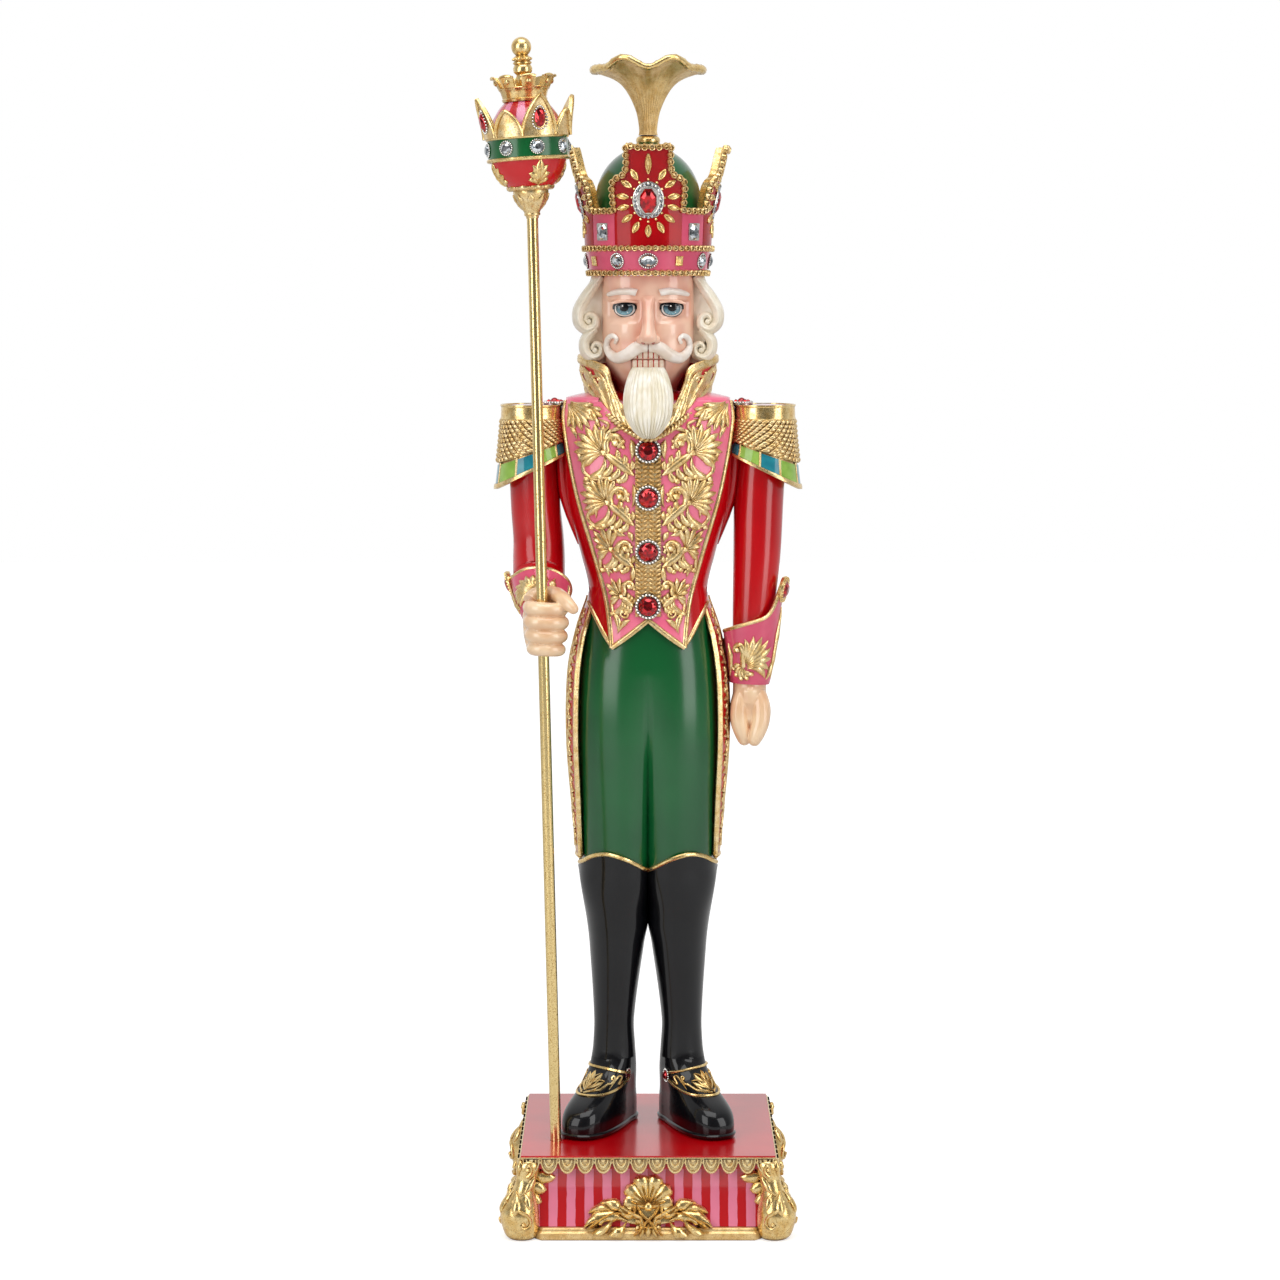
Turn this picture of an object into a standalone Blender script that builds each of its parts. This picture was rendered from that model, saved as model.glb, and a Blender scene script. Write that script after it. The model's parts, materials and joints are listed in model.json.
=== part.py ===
"""Nutcracker king: a painted resin figure with a hinged jaw and a lift-out staff, on a footed base.

Metres, +Z up. The figure faces -Y, the origin is the middle of the base's underside, and left and
right are the figure's own.
"""

import math

import bmesh
import bpy
from mathutils import Vector

# Fits
SEAT = 0.0003
RUNNING = 0.0005

# Base
BASE_HALF = 0.098
RAIL_HEIGHT = 0.0095
RAIL_REACH = 0.009
RAIL_CORNER_CUT = 0.024
BLOCK_HEIGHT = 0.0445
BLOCK_TOP_INSET = 0.006
BLOCK_FOOT_REACH = 0.004
BLOCK_CORNER_CUT = 0.010
SLAB_HEIGHT = 0.0104
TRIM_THICKNESS = 0.0024
TRIM_DROP = 0.0022
TRIM_HEIGHT = 0.0125
SCALLOPS = 14
SCALLOP_DEPTH = 0.0055
SCROLL_RADIUS = 0.0180
SCROLL_SET_IN = 0.0015
CARTOUCHE_WIDTH = 0.096
CARTOUCHE_HEIGHT = 0.046
CARTOUCHE_THICKNESS = 0.007

# Legs
AXIS_Y = 0.012
SHOE_HEIGHT = 0.0536
SHOE_LENGTH = 0.072
SHOE_HALF_WIDTH = 0.018
SHOE_SPLAY = math.radians(27)
ANKLE_X = 0.027
ANKLE_HALF = 0.0160
BOOT_HEIGHT = 0.154
BOOT_TOP_REACH = 0.0036
BOOT_TOP_DEPTH = 0.034
BREECHES_HEIGHT = 0.210
KNEE_HALF = 0.052
HIP_HALF = 0.057

# Torso
TORSO_HEIGHT = 0.160
WAIST_HALF = 0.0465
CHEST_HALF = 0.0675
CHEST_DEPTH = 0.046
BACK_DEPTH = 0.043
CLEFT_WIDTH = 0.011
CLEFT_DEPTH = 0.009
BODY_SQUARENESS = 2.35
VEST_THICKNESS = 0.0020
VEST_POINT_DROP = 0.028
PLACKET_HALF = 0.009
PLACKET_THICKNESS = 0.0014
BUTTON_RADIUS = 0.0102
BUTTON_HEIGHT = 0.0052
BUTTON_DROPS = (0.038, 0.0745, 0.116, 0.157)
TAIL_LENGTH = 0.202
TAIL_THICKNESS = 0.0042
TAIL_STANDOFF = 0.0024
TAIL_FRONT_EDGE = 0.020
COLLAR_HEIGHT = 0.0345
COLLAR_HALF = 0.0470
COLLAR_FLARE = 0.0080
COLLAR_THICKNESS = 0.0024
COLLAR_V_DEPTH = 0.0265

# Head, jaw and hair
HEAD_HEIGHT = 0.096
HEAD_HALF = 0.0365
FACE_DEPTH = 0.039
HEAD_BACK = 0.037
MOUTH_RISE = 0.032
MOUTH_ROOF = 0.0105
MOUTH_LEDGE = 0.0012
NOSE_RISE = 0.0122
NOSE_HALF = 0.0084
NOSE_REACH = 0.0185
HEAD_SQUARENESS = 2.5
JAW_HALF = 0.0128
JAW_HEIGHT = 0.0185
JAW_DEPTH = 0.0225
LIP_THICKNESS = 0.0075
PIVOT_Y = 0.010
PIVOT_DROP = 0.030
PIN_RADIUS = 0.0025
PIN_HALF_LENGTH = 0.028
LEVER_HALF = 0.0070
LEVER_TAIL = 0.084
LEVER_BAR = 0.009
LEVER_SET_BACK = 0.004
LEVER_CLEARANCE = 0.0035
BEARD_HALF = 0.0194
BEARD_LENGTH = 0.054
BEARD_THICKNESS = 0.014
BEARD_DROP = 0.006
BEARD_CLEARANCE = 0.0026
MOUSTACHE_HALF = 0.031
MOUSTACHE_RADIUS = 0.0055
MOUSTACHE_RISE = 0.004
HAIR_BULGE = 0.0165
HAIR_CLEARANCE = 0.0017
HAIR_LAP = 0.004
CURL_RADIUS = 0.0110
CURL_THICKNESS = 0.012

# Crown and finial
CROWN_RADIUS = 0.0455
CROWN_RIM_HEIGHT = 0.0205
CROWN_RIM_FLARE = 0.0035
CROWN_BAND_HEIGHT = 0.0295
CROWN_BAND_FLARE = 0.0012
CROWN_WALL = 0.0030
PANEL_STEP_HEIGHT = 0.0235
PANEL_TIP_HEIGHT = 0.0245
PANEL_HALF_ANGLE = 0.53
PANEL_TIP_HALF_ANGLE = 0.28
PANEL_LEAN = 0.0115
DOME_RADIUS = 0.041
DOME_HEIGHT = 0.0795
JEWEL_HALF_WIDTH = 0.0115
JEWEL_HALF_HEIGHT = 0.0145
JEWEL_THICKNESS = 0.0050
COLLAR_RING_RADIUS = 0.0094
COLLAR_RING_HEIGHT = 0.0075
TRUMPET_HEIGHT = 0.060
TRUMPET_RADIUS = 0.040
TRUMPET_NECK = 0.0068
TRUMPET_LOBES = 6

# Arms
SLEEVE_RADIUS = 0.0195
WRIST_RADIUS = 0.0130
CUFF_FLARE_RADIUS = 0.0225
CUFF_WALL = 0.0024
CUFF_LENGTH = 0.050
CUFF_POINT = 0.034
ARM_LENGTH = 0.206
FIST_HEIGHT = 0.046
FIST_HALF = 0.0172
HANGING_FIST_HEIGHT = 0.0485
THUMB_RADIUS = 0.0052
ELBOW_DROP = 0.136
ELBOW_BACK = 0.004
SHOULDER_OUT = 0.004
WRIST_IN = 0.007
WRIST_FORWARD = 0.010
WRIST_SET_BACK = 0.009
BOARD_HALF = 0.0228
BOARD_DEPTH = 0.027
BOARD_HEIGHT = 0.0117
BOARD_DROP = 0.004
BOARD_EDGE = 0.0015
STUD_RADIUS = 0.0085
STUD_HEIGHT = 0.0060
SKIRT_DROP = 0.040
SKIRT_SLOPE = 0.0145
SKIRT_SPREAD = 0.0058
SKIRT_WALL = 0.0026
EPAULETTE_CLEARANCE = 0.002

# Staff
STAFF_X = -0.0722
STAFF_Y = -0.0507
STAFF_LEAN = math.radians(1.27)
STAFF_HEAD_LEAN = math.radians(3.6)
POLE_RADIUS = 0.0043
POLE_LENGTH = 0.7188
SOCKET_DEPTH = 0.0080
FIST_RISE = 0.406
CUP_HEIGHT = 0.0215
CUP_RADIUS = 0.0185
ORB_RADIUS = 0.0300
ORB_LOW = 0.0285
ORB_HIGH = 0.0350
ORB_BAND_HALF = 0.0080
PETAL_HEIGHT = 0.030
PETAL_LEAN = 0.0055
PETAL_WALL = 0.0020
PETAL_TURN = math.radians(20)
CROWNLET_HEIGHT = 0.0190
CROWNLET_SPREAD = 0.0080
MERLONS = 8
SPINDLE_HEIGHT = 0.0340
BALL_RADIUS = 0.0069

# Levels
Z_BASE = RAIL_HEIGHT + BLOCK_HEIGHT + SLAB_HEIGHT
Z_ANKLE = Z_BASE + SHOE_HEIGHT
Z_KNEE = Z_ANKLE + BOOT_HEIGHT
Z_WAIST = Z_KNEE + BREECHES_HEIGHT
Z_SHOULDER = Z_WAIST + TORSO_HEIGHT
Z_MOUTH = Z_SHOULDER + MOUTH_RISE
Z_CROWN = Z_SHOULDER + HEAD_HEIGHT
Z_BAND = Z_CROWN + CROWN_RIM_HEIGHT
Z_PANEL = Z_BAND + CROWN_BAND_HEIGHT
PIVOT = Vector((0.0, AXIS_Y + PIVOT_Y, Z_SHOULDER - PIVOT_DROP))
FRONT = -math.pi / 2
SIDES = {"right": -1, "left": 1}

for old in list(bpy.data.objects):
    bpy.data.objects.remove(old)
PARTS = bpy.data.collections.new("nutcracker_king")
TOOLS = bpy.data.collections.new("cutters")
for group in (PARTS, TOOLS):
    bpy.context.scene.collection.children.link(group)


def paint(name, colour, roughness, metallic=0.0):
    """A Principled material of one colour."""
    material = bpy.data.materials.new(name)
    material.use_nodes = True
    shader = material.node_tree.nodes["Principled BSDF"]
    shader.inputs["Base Color"].default_value = (*colour, 1.0)
    shader.inputs["Roughness"].default_value = roughness
    shader.inputs["Metallic"].default_value = metallic
    return material


GOLD = paint("antique_gold", (0.63, 0.43, 0.17), 0.32, 0.8)
RED = paint("red_lacquer", (0.56, 0.005, 0.012), 0.12)
PINK = paint("rose_lacquer", (0.72, 0.20, 0.30), 0.15)
GREEN = paint("green_lacquer", (0.01, 0.17, 0.055), 0.12)
BLACK = paint("black_lacquer", (0.008, 0.009, 0.014), 0.08)
FLESH = paint("flesh_lacquer", (0.82, 0.46, 0.33), 0.18)
IVORY = paint("ivory_lacquer", (0.84, 0.79, 0.67), 0.3)
RUBY = paint("ruby_resin", (0.55, 0.0, 0.02), 0.05)
STEEL = paint("steel", (0.6, 0.6, 0.6), 0.3, 1.0)


# Shared shapes

def place(name, mesh, material=None):
    """An object in the parts, or among the cutters where it has no material."""
    piece = bpy.data.objects.new(name, mesh)
    (PARTS if material else TOOLS).objects.link(piece)
    if material:
        mesh.materials.append(material)
    else:
        piece.hide_render = True
        piece.display_type = "WIRE"
    return piece


def along(stations, level):
    """The values at a level, on a smooth curve through stations that each start with their level."""
    levels = [station[0] for station in stations]
    level = min(max(level, levels[0]), levels[-1])
    last = len(stations) - 1
    low = max(k for k in range(last) if levels[k] <= level)

    def slopes(k):
        before, after = max(k - 1, 0), min(k + 1, last)
        span = levels[after] - levels[before]
        return [(b - a) / span for a, b in zip(stations[before], stations[after])]

    span = levels[low + 1] - levels[low]
    t = (level - levels[low]) / span
    start, end = stations[low], stations[low + 1]
    blend = (2 * t**3 - 3 * t**2 + 1, t**3 - 2 * t**2 + t, 3 * t**2 - 2 * t**3, t**3 - t**2)
    return [blend[0] * a + blend[1] * span * da + blend[2] * b + blend[3] * span * db
            for a, da, b, db in zip(start, slopes(low), end, slopes(low + 1))][1:]


def rim(turns, level, half, front, back, centre=(0.0, AXIS_Y), power=2.0):
    """Points at a level on a squared oval with its own front and back depths, at the given turns."""
    points = []
    for turn in turns:
        across, forth = math.cos(turn), math.sin(turn)
        depth = back if forth > 0 else front
        x = half * math.copysign(abs(across) ** (2 / power), across)
        y = depth * math.copysign(abs(forth) ** (2 / power), forth)
        points.append(Vector((centre[0] + x, centre[1] + y, level)))
    return points


def oval(level, half, front, back, centre=(0.0, AXIS_Y), power=2.0, count=24):
    """A whole level ring of that kind."""
    return rim([2 * math.pi * k / count for k in range(count)], level, half, front, back, centre, power)


def around_back(count, lap):
    """Turns from one side to the other round the back, reaching past each side by a lap."""
    return [-lap + (math.pi + 2 * lap) * k / (count - 1) for k in range(count)]


def square_on(centre, direction, radius, count=16, depth=None):
    """A ring round a centre, square to a direction, with a depth of its own if one is given."""
    direction = direction.normalized()
    across = (Vector((1, 0, 0)) - direction * direction.x).normalized()
    forth = direction.cross(across)
    depth = depth or radius
    turns = [2 * math.pi * k / count for k in range(count)]
    return [centre + across * radius * math.cos(t) + forth * depth * math.sin(t) for t in turns]


def chamfered(half, corner_cut, level):
    """A level square ring with its corners cut off."""
    near = half - corner_cut
    corners = ((half, -near), (half, near), (near, half), (-near, half),
               (-half, near), (-half, -near), (-near, -half), (near, -half))
    return [Vector((x, y, level)) for x, y in corners]


def skin(name, rings, material=None, capped=True, looped=False):
    """A surface through rings of equal counts, capped, open at both ends, or closed in a loop."""
    bm = bmesh.new()
    rows = [[bm.verts.new(point) for point in ring] for ring in rings]
    pairs = list(zip(rows, rows[1:]))
    if looped:
        pairs.append((rows[-1], rows[0]))
    for low, high in pairs:
        for k in range(len(low)):
            following = (k + 1) % len(low)
            bm.faces.new((low[k], low[following], high[following], high[k]))
    if capped and not looped:
        bm.faces.new(rows[0][::-1])
        bm.faces.new(rows[-1])
    if capped or looped:
        bmesh.ops.recalc_face_normals(bm, faces=bm.faces)
    mesh = bpy.data.meshes.new(name)
    bm.to_mesh(mesh)
    bm.free()
    mesh.shade_smooth()
    mesh.set_sharp_from_angle(angle=math.radians(40))
    return place(name, mesh, material)


def turned(name, profile, material, steps=20):
    """A solid turned about its local Z, from a profile of radius and height that runs down."""
    mesh = bpy.data.meshes.new(name)
    mesh.from_pydata([(r, 0, z) for r, z in profile], [(k, k + 1) for k in range(len(profile) - 1)], [])
    piece = place(name, mesh, material)
    screw = piece.modifiers.new("turn", "SCREW")
    screw.steps = screw.render_steps = steps
    screw.use_merge_vertices = True
    screw.merge_threshold = 0.00001
    return piece


def meshed(name, curve, material=None):
    """A curve made a closed mesh object."""
    guide = bpy.data.objects.new(name, curve)
    TOOLS.objects.link(guide)
    mesh = bpy.data.meshes.new_from_object(guide.evaluated_get(bpy.context.evaluated_depsgraph_get()))
    bpy.data.objects.remove(guide)
    bm = bmesh.new()
    bm.from_mesh(mesh)
    bmesh.ops.remove_doubles(bm, verts=bm.verts, dist=0.000001)
    bmesh.ops.recalc_face_normals(bm, faces=bm.faces)
    bm.to_mesh(mesh)
    bm.free()
    return place(name, mesh, material)


def plate(name, outline, thickness, material=None):
    """A flat outline in local XY, thickened about that plane."""
    curve = bpy.data.curves.new(name, "CURVE")
    curve.dimensions = "2D"
    curve.fill_mode = "BOTH"
    curve.extrude = thickness / 2
    spline = curve.splines.new("POLY")
    spline.points.add(len(outline) - 1)
    for point, (x, y) in zip(spline.points, outline):
        point.co = (x, y, 0, 1)
    spline.use_cyclic_u = True
    return meshed(name, curve, material)


def tube(name, points, radii, material=None, resolution=2):
    """A rod along points, with its own radius at each."""
    curve = bpy.data.curves.new(name, "CURVE")
    curve.dimensions = "3D"
    curve.bevel_depth = 1.0
    curve.bevel_resolution = resolution
    curve.use_fill_caps = True
    spline = curve.splines.new("POLY")
    spline.points.add(len(points) - 1)
    for point, at, radius in zip(spline.points, points, radii):
        point.co = (*at, 1)
        point.radius = radius
    return meshed(name, curve, material)


def box(name, low, high, material=None):
    """A box between two corners."""
    low, high = Vector(low), Vector(high)
    bm = bmesh.new()
    bmesh.ops.create_cube(bm, size=1.0)
    bmesh.ops.scale(bm, vec=high - low, verts=bm.verts)
    bmesh.ops.translate(bm, vec=(low + high) / 2, verts=bm.verts)
    mesh = bpy.data.meshes.new(name)
    bm.to_mesh(mesh)
    bm.free()
    return place(name, mesh, material)


def rod(name, radius, length, material=None, count=20):
    """A round bar along local Z, centred on its origin."""
    bm = bmesh.new()
    bmesh.ops.create_cone(bm, cap_ends=True, segments=count, radius1=radius, radius2=radius, depth=length)
    mesh = bpy.data.meshes.new(name)
    bm.to_mesh(mesh)
    bm.free()
    mesh.shade_smooth()
    mesh.set_sharp_from_angle(angle=math.radians(40))
    return place(name, mesh, material)


def boolean(piece, operation, others):
    for other in others:
        step = piece.modifiers.new(other.name, "BOOLEAN")
        step.operation = operation
        step.object = other
        step.solver = "EXACT"


def cut(piece, *others):
    boolean(piece, "DIFFERENCE", others)


def join(piece, *others):
    boolean(piece, "UNION", others)


def keep(piece, *others):
    boolean(piece, "INTERSECT", others)


def thicken(piece, wall):
    """Give an open surface its wall, inwards from the surface."""
    step = piece.modifiers.new("wall", "SOLIDIFY")
    step.thickness = wall
    step.offset = -1.0
    step.use_even_offset = True


def soften(piece, width, segments=2):
    step = piece.modifiers.new("edges", "BEVEL")
    step.width = width
    step.segments = segments
    step.limit_method = "ANGLE"
    step.angle_limit = math.radians(40)


def stand_up(piece, at=(0.0, 0.0, 0.0)):
    """Turn a plate's local XY into the figure's XZ."""
    piece.rotation_euler = (math.pi / 2, 0, 0)
    piece.location = at


def crenellate(name, columns, rows, radius_at, height_at, material):
    """An open wall of cells round the axis; a column rises as many rows as height_at gives for it."""
    bm = bmesh.new()
    grid = {}

    def corner(column, row):
        key = (column % len(columns), row)
        if key not in grid:
            turn = columns[key[0]]
            radius = radius_at(rows[row])
            grid[key] = bm.verts.new((radius * math.cos(turn), radius * math.sin(turn), rows[row]))
        return grid[key]

    for column in range(len(columns)):
        following = columns[(column + 1) % len(columns)]
        middle = (columns[column] + following + (0 if following > columns[column] else 2 * math.pi)) / 2
        for row in range(height_at(middle)):
            bm.faces.new((corner(column, row), corner(column + 1, row),
                          corner(column + 1, row + 1), corner(column, row + 1)))
    mesh = bpy.data.meshes.new(name)
    bm.to_mesh(mesh)
    bm.free()
    return place(name, mesh, material)


# Base

BLOCK_LINE = (
    (RAIL_HEIGHT + SEAT, BLOCK_FOOT_REACH),
    (RAIL_HEIGHT + 0.25 * BLOCK_HEIGHT, 0.2 * BLOCK_FOOT_REACH - 0.2 * BLOCK_TOP_INSET),
    (RAIL_HEIGHT + 0.6 * BLOCK_HEIGHT, -0.75 * BLOCK_TOP_INSET),
    (RAIL_HEIGHT + BLOCK_HEIGHT, -BLOCK_TOP_INSET),
)
RAIL_HALF = BASE_HALF + RAIL_REACH


def block_rings(grow):
    return [chamfered(BASE_HALF + reach + grow, BLOCK_CORNER_CUT, level) for level, reach in BLOCK_LINE]


def make_base():
    rail_line = ((0.0, 0.0), (0.55, 0.0), (0.7, 0.0012), (1.0, 0.0036))
    skin("base_plate", [chamfered(RAIL_HALF - inset, RAIL_CORNER_CUT, share * RAIL_HEIGHT)
                        for share, inset in rail_line], GOLD)
    skin("base_block", block_rings(0.0), PINK)
    slab_low = RAIL_HEIGHT + BLOCK_HEIGHT + SEAT
    slab = box("base_slab", (-BASE_HALF, -BASE_HALF, slab_low), (BASE_HALF, BASE_HALF, Z_BASE), RED)
    socket = rod("staff_socket", POLE_RADIUS + RUNNING, 2 * SOCKET_DEPTH)
    socket.parent = STAFF_AXIS
    cut(slab, socket)
    make_trim()

    plinth_foot = chamfered(BASE_HALF + BLOCK_FOOT_REACH + SEAT, BLOCK_CORNER_CUT, 0.5 * RAIL_HEIGHT)
    plinth = skin("plinth_room", [plinth_foot] + block_rings(SEAT))
    rail_room = skin("rail_room", [chamfered(RAIL_HALF + SEAT, RAIL_CORNER_CUT, level)
                                   for level in (-RAIL_HEIGHT, RAIL_HEIGHT + SEAT)])
    for depth_name, depth in (("front", -1), ("back", 1)):
        for side_name, side in SIDES.items():
            make_scroll(f"corner_scroll_{depth_name}_{side_name}", side, depth, plinth, rail_room)
    for name, turn in (("front", 0), ("left", 90), ("back", 180), ("right", 270)):
        make_cartouche(f"cartouche_{name}", math.radians(turn), plinth, rail_room)


def make_trim():
    """A gold frieze round the slab, with a scalloped lower edge."""
    inner = BASE_HALF + SEAT
    outer = inner + TRIM_THICKNESS
    top = Z_BASE - TRIM_DROP
    low = top - TRIM_HEIGHT + SCALLOP_DEPTH
    rings = []
    points = 3
    steps = points * SCALLOPS
    for quarter in range(4):
        run = Vector((math.cos(quarter * math.pi / 2), math.sin(quarter * math.pi / 2), 0))
        out = Vector((run.y, -run.x, 0))
        for k in range(steps):
            share = 2 * k / steps - 1
            hang = SCALLOP_DEPTH * math.sin(math.pi * (k % points) / points)
            edges = ((inner, top), (outer, top), (outer, low - hang), (inner, low - hang))
            rings.append([run * share * reach + out * reach + Vector((0, 0, z)) for reach, z in edges])
    skin("scallop_trim", rings, GOLD, looped=True)


def make_scroll(name, side, depth, *rooms):
    """A bulbous corner foot that narrows to a leaf under the frieze."""
    centre = BASE_HALF - SCROLL_SET_IN
    top = Z_BASE - TRIM_DROP - TRIM_HEIGHT - SEAT
    line = ((0.0, 0.78), (0.12, 0.92), (0.3, 1.0), (0.5, 0.92), (0.68, 0.68), (0.85, 0.56), (1.0, 0.5))
    rings = []
    for share, swell in line:
        radius = SCROLL_RADIUS * swell
        rings.append(oval(share * top, radius, radius, radius, (side * centre, depth * centre), count=14))
    foot = skin(name, rings, GOLD)
    cut(foot, *rooms)


def make_cartouche(name, turn, *rooms):
    """A shell between two leaf wings, standing on the rail against the face of the block."""
    shell_radius = 0.44 * CARTOUCHE_HEIGHT
    heart = 0.55 * CARTOUCHE_HEIGHT
    outline = []
    lobes = 5
    for k in range(4 * lobes + 1):
        angle = math.pi * k / (4 * lobes)
        reach = shell_radius * (0.93 + 0.07 * abs(math.sin(lobes * angle)))
        outline.append((reach * math.cos(angle), heart + reach * math.sin(angle)))
    half = CARTOUCHE_WIDTH / 2
    wing = ((0.36, 0.34), (0.50, 0.46), (0.72, 0.42), (0.80, 0.32), (1.0, 0.30), (0.90, 0.16),
            (0.60, 0.06))
    for across, up in wing:
        outline.insert(0, (across * half, up * CARTOUCHE_HEIGHT))
        outline.append((-across * half, up * CARTOUCHE_HEIGHT))
    lean = math.atan2(BLOCK_FOOT_REACH + BLOCK_TOP_INSET, BLOCK_HEIGHT)
    room = RAIL_HALF - BASE_HALF + BLOCK_TOP_INSET + CARTOUCHE_THICKNESS
    panel = plate(name, outline, room, GOLD)
    standing = RAIL_HALF + CARTOUCHE_THICKNESS - room / 2
    panel.rotation_euler = (math.pi / 2 - lean, 0, turn)
    panel.location = (standing * math.sin(turn), -standing * math.cos(turn), SEAT)
    cut(panel, *rooms)


# Legs

def make_legs():
    for name, side in SIDES.items():
        make_shoe(f"shoe_{name}", side)
        make_boot(f"boot_{name}", side)
    skin("breeches", [body_ring(level, 0.0) for level in BREECHES_LEVELS], GREEN)


def make_shoe(name, side):
    """A round-toed shoe that rises to the ankle."""
    ankle = ANKLE_HALF / SHOE_LENGTH
    line = (
        (0.0, 0.98, 0.36, 0.94), (0.06, 1.0, 0.37, 1.0), (0.22, 1.0, 0.36, 1.0), (0.37, 0.86, 0.35, 0.97),
        (0.55, 0.55, 0.32, 0.93), (0.76, 0.30, 0.28, 0.89), (1.0, ankle, ankle, ANKLE_HALF / SHOE_HALF_WIDTH),
    )
    ahead = Vector((side * math.sin(SHOE_SPLAY), -math.cos(SHOE_SPLAY), 0))
    across = Vector((-ahead.y, ahead.x, 0))
    rings = []
    for share, front, back, wide in line:
        ring = oval(0.0, wide * SHOE_HALF_WIDTH, front * SHOE_LENGTH, back * SHOE_LENGTH, (0, 0), 2.3, 18)
        level = Z_BASE + SEAT + share * (SHOE_HEIGHT - 2 * SEAT)
        heel = Vector((side * ANKLE_X, AXIS_Y, level))
        rings.append([heel + across * point.x - ahead * point.y for point in ring])
    skin(name, rings, BLACK)


def make_boot(name, side):
    """A boot shaft from the ankle to the knee; the pair meets on the middle line near the top."""
    inner_top = SEAT / 2
    inner_low, outer_low = ANKLE_X - ANKLE_HALF, ANKLE_X + ANKLE_HALF
    outer_top = KNEE_HALF + BOOT_TOP_REACH
    line = (
        (0.0, inner_low, outer_low, ANKLE_HALF),
        (0.2, inner_low, outer_low, 1.05 * ANKLE_HALF),
        (0.6, 0.25 * inner_low, 0.84 * outer_top, 0.8 * BOOT_TOP_DEPTH),
        (0.7, inner_top, 0.87 * outer_top, 0.86 * BOOT_TOP_DEPTH),
        (1.0, inner_top, outer_top, BOOT_TOP_DEPTH),
    )
    rings = []
    for k in range(9):
        share = k / 8
        inner, outer, depth = along(line, share)
        inner = max(inner, inner_top)
        centre = (side * (inner + outer) / 2, AXIS_Y)
        level = Z_ANKLE + share * BOOT_HEIGHT
        rings.append(oval(level, (outer - inner) / 2, depth, depth, centre, count=18))
    skin(name, rings, BLACK)


# Torso

LEG_LINE = (
    (0.0, KNEE_HALF, 0.83, 0.84, 1.0),
    (0.23, 0.5 * (KNEE_HALF + HIP_HALF), 0.91, 0.93, 0.67),
    (0.50, HIP_HALF, 0.98, 1.02, 0.28),
    (0.75, 0.965 * HIP_HALF, 0.95, 1.02, 0.0),
    (0.92, 1.065 * WAIST_HALF, 0.87, 0.91, 0.0),
)
CHEST_LINE = (
    (0.06, WAIST_HALF, 0.80, 0.84, 0.0),
    (0.24, 0.78 * CHEST_HALF, 0.87, 0.86, 0.0),
    (0.50, 0.94 * CHEST_HALF, 0.98, 0.95, 0.0),
    (0.74, CHEST_HALF, 1.0, 1.0, 0.0),
    (0.90, CHEST_HALF, 0.91, 0.93, 0.0),
    (1.0, 0.95 * CHEST_HALF, 0.74, 0.77, 0.0),
)


def body_stations(line, foot, height):
    """Levels, half widths, depths and clefts from a line of shares."""
    return [(foot + share * height, half, front * CHEST_DEPTH, back * BACK_DEPTH, cleft * CLEFT_DEPTH)
            for share, half, front, back, cleft in line]


BODY_SECTIONS = (body_stations(LEG_LINE, Z_KNEE, BREECHES_HEIGHT)
                 + body_stations(CHEST_LINE, Z_WAIST, TORSO_HEIGHT))


def body_ring(level, grow):
    """The body's outline at a level, grown outwards, drawn in between the thighs."""
    half, front, back, cleft = along(BODY_SECTIONS, level)
    ring = oval(level, half + grow, front + grow, back + grow, power=BODY_SQUARENESS, count=24)
    for point in ring:
        groove = max(cleft, 0.0) * math.exp(-(point.x / CLEFT_WIDTH) ** 2)
        point.y -= math.copysign(groove, point.y - AXIS_Y)
    return ring


BREECHES_LEVELS = [Z_KNEE + SEAT + (BREECHES_HEIGHT - 2 * SEAT) * k / 8 for k in range(9)]
COAT_LEVELS = [Z_WAIST + SEAT + (TORSO_HEIGHT - SEAT) * k / 9 for k in range(10)]


def front_at(level, grow):
    """The place of the body's front middle at a level, on the flats between its rings."""
    levels = BREECHES_LEVELS + COAT_LEVELS
    low = max(k for k in range(len(levels) - 1) if levels[k] <= level)
    share = (level - levels[low]) / (levels[low + 1] - levels[low])
    fronts = [along(BODY_SECTIONS, levels[k])[1] for k in (low, low + 1)]
    return Vector((0.0, AXIS_Y - fronts[0] * (1 - share) - fronts[1] * share - grow, level))


def body_room(name, grow, low):
    """The body grown outwards, from its last ring below a level to above the shoulders, as a cutter."""
    levels = BREECHES_LEVELS + COAT_LEVELS
    first = max(k for k in range(len(levels)) if levels[k] < low)
    rings = [body_ring(level, grow) for level in levels[first:]]
    lift = Vector((0, 0, 0.5 * COLLAR_HEIGHT))
    rings.append([point + lift for point in rings[-1]])
    return skin(name, rings)


def chest_room(name, grow):
    """The coat grown outwards and up by a seat's gap, as a cutter."""
    rings = [body_ring(level, grow) for level in COAT_LEVELS]
    rings.append([point + Vector((0, 0, SEAT)) for point in rings[-1]])
    return skin(name, rings)


def make_torso():
    coat = skin("coat", [body_ring(level, 0.0) for level in COAT_LEVELS], RED)
    cut(coat, JAW_SLOT, PIN_BORE)
    make_waistcoat()
    for k, drop in enumerate(BUTTON_DROPS):
        make_button(f"button_{k + 1}", Z_SHOULDER - drop)
    make_tails()
    make_collar()


VEST_LINING = 2 * SEAT
VEST_SHELL = VEST_LINING + VEST_THICKNESS
PLACKET_SHELL = VEST_SHELL + SEAT + PLACKET_THICKNESS


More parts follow.
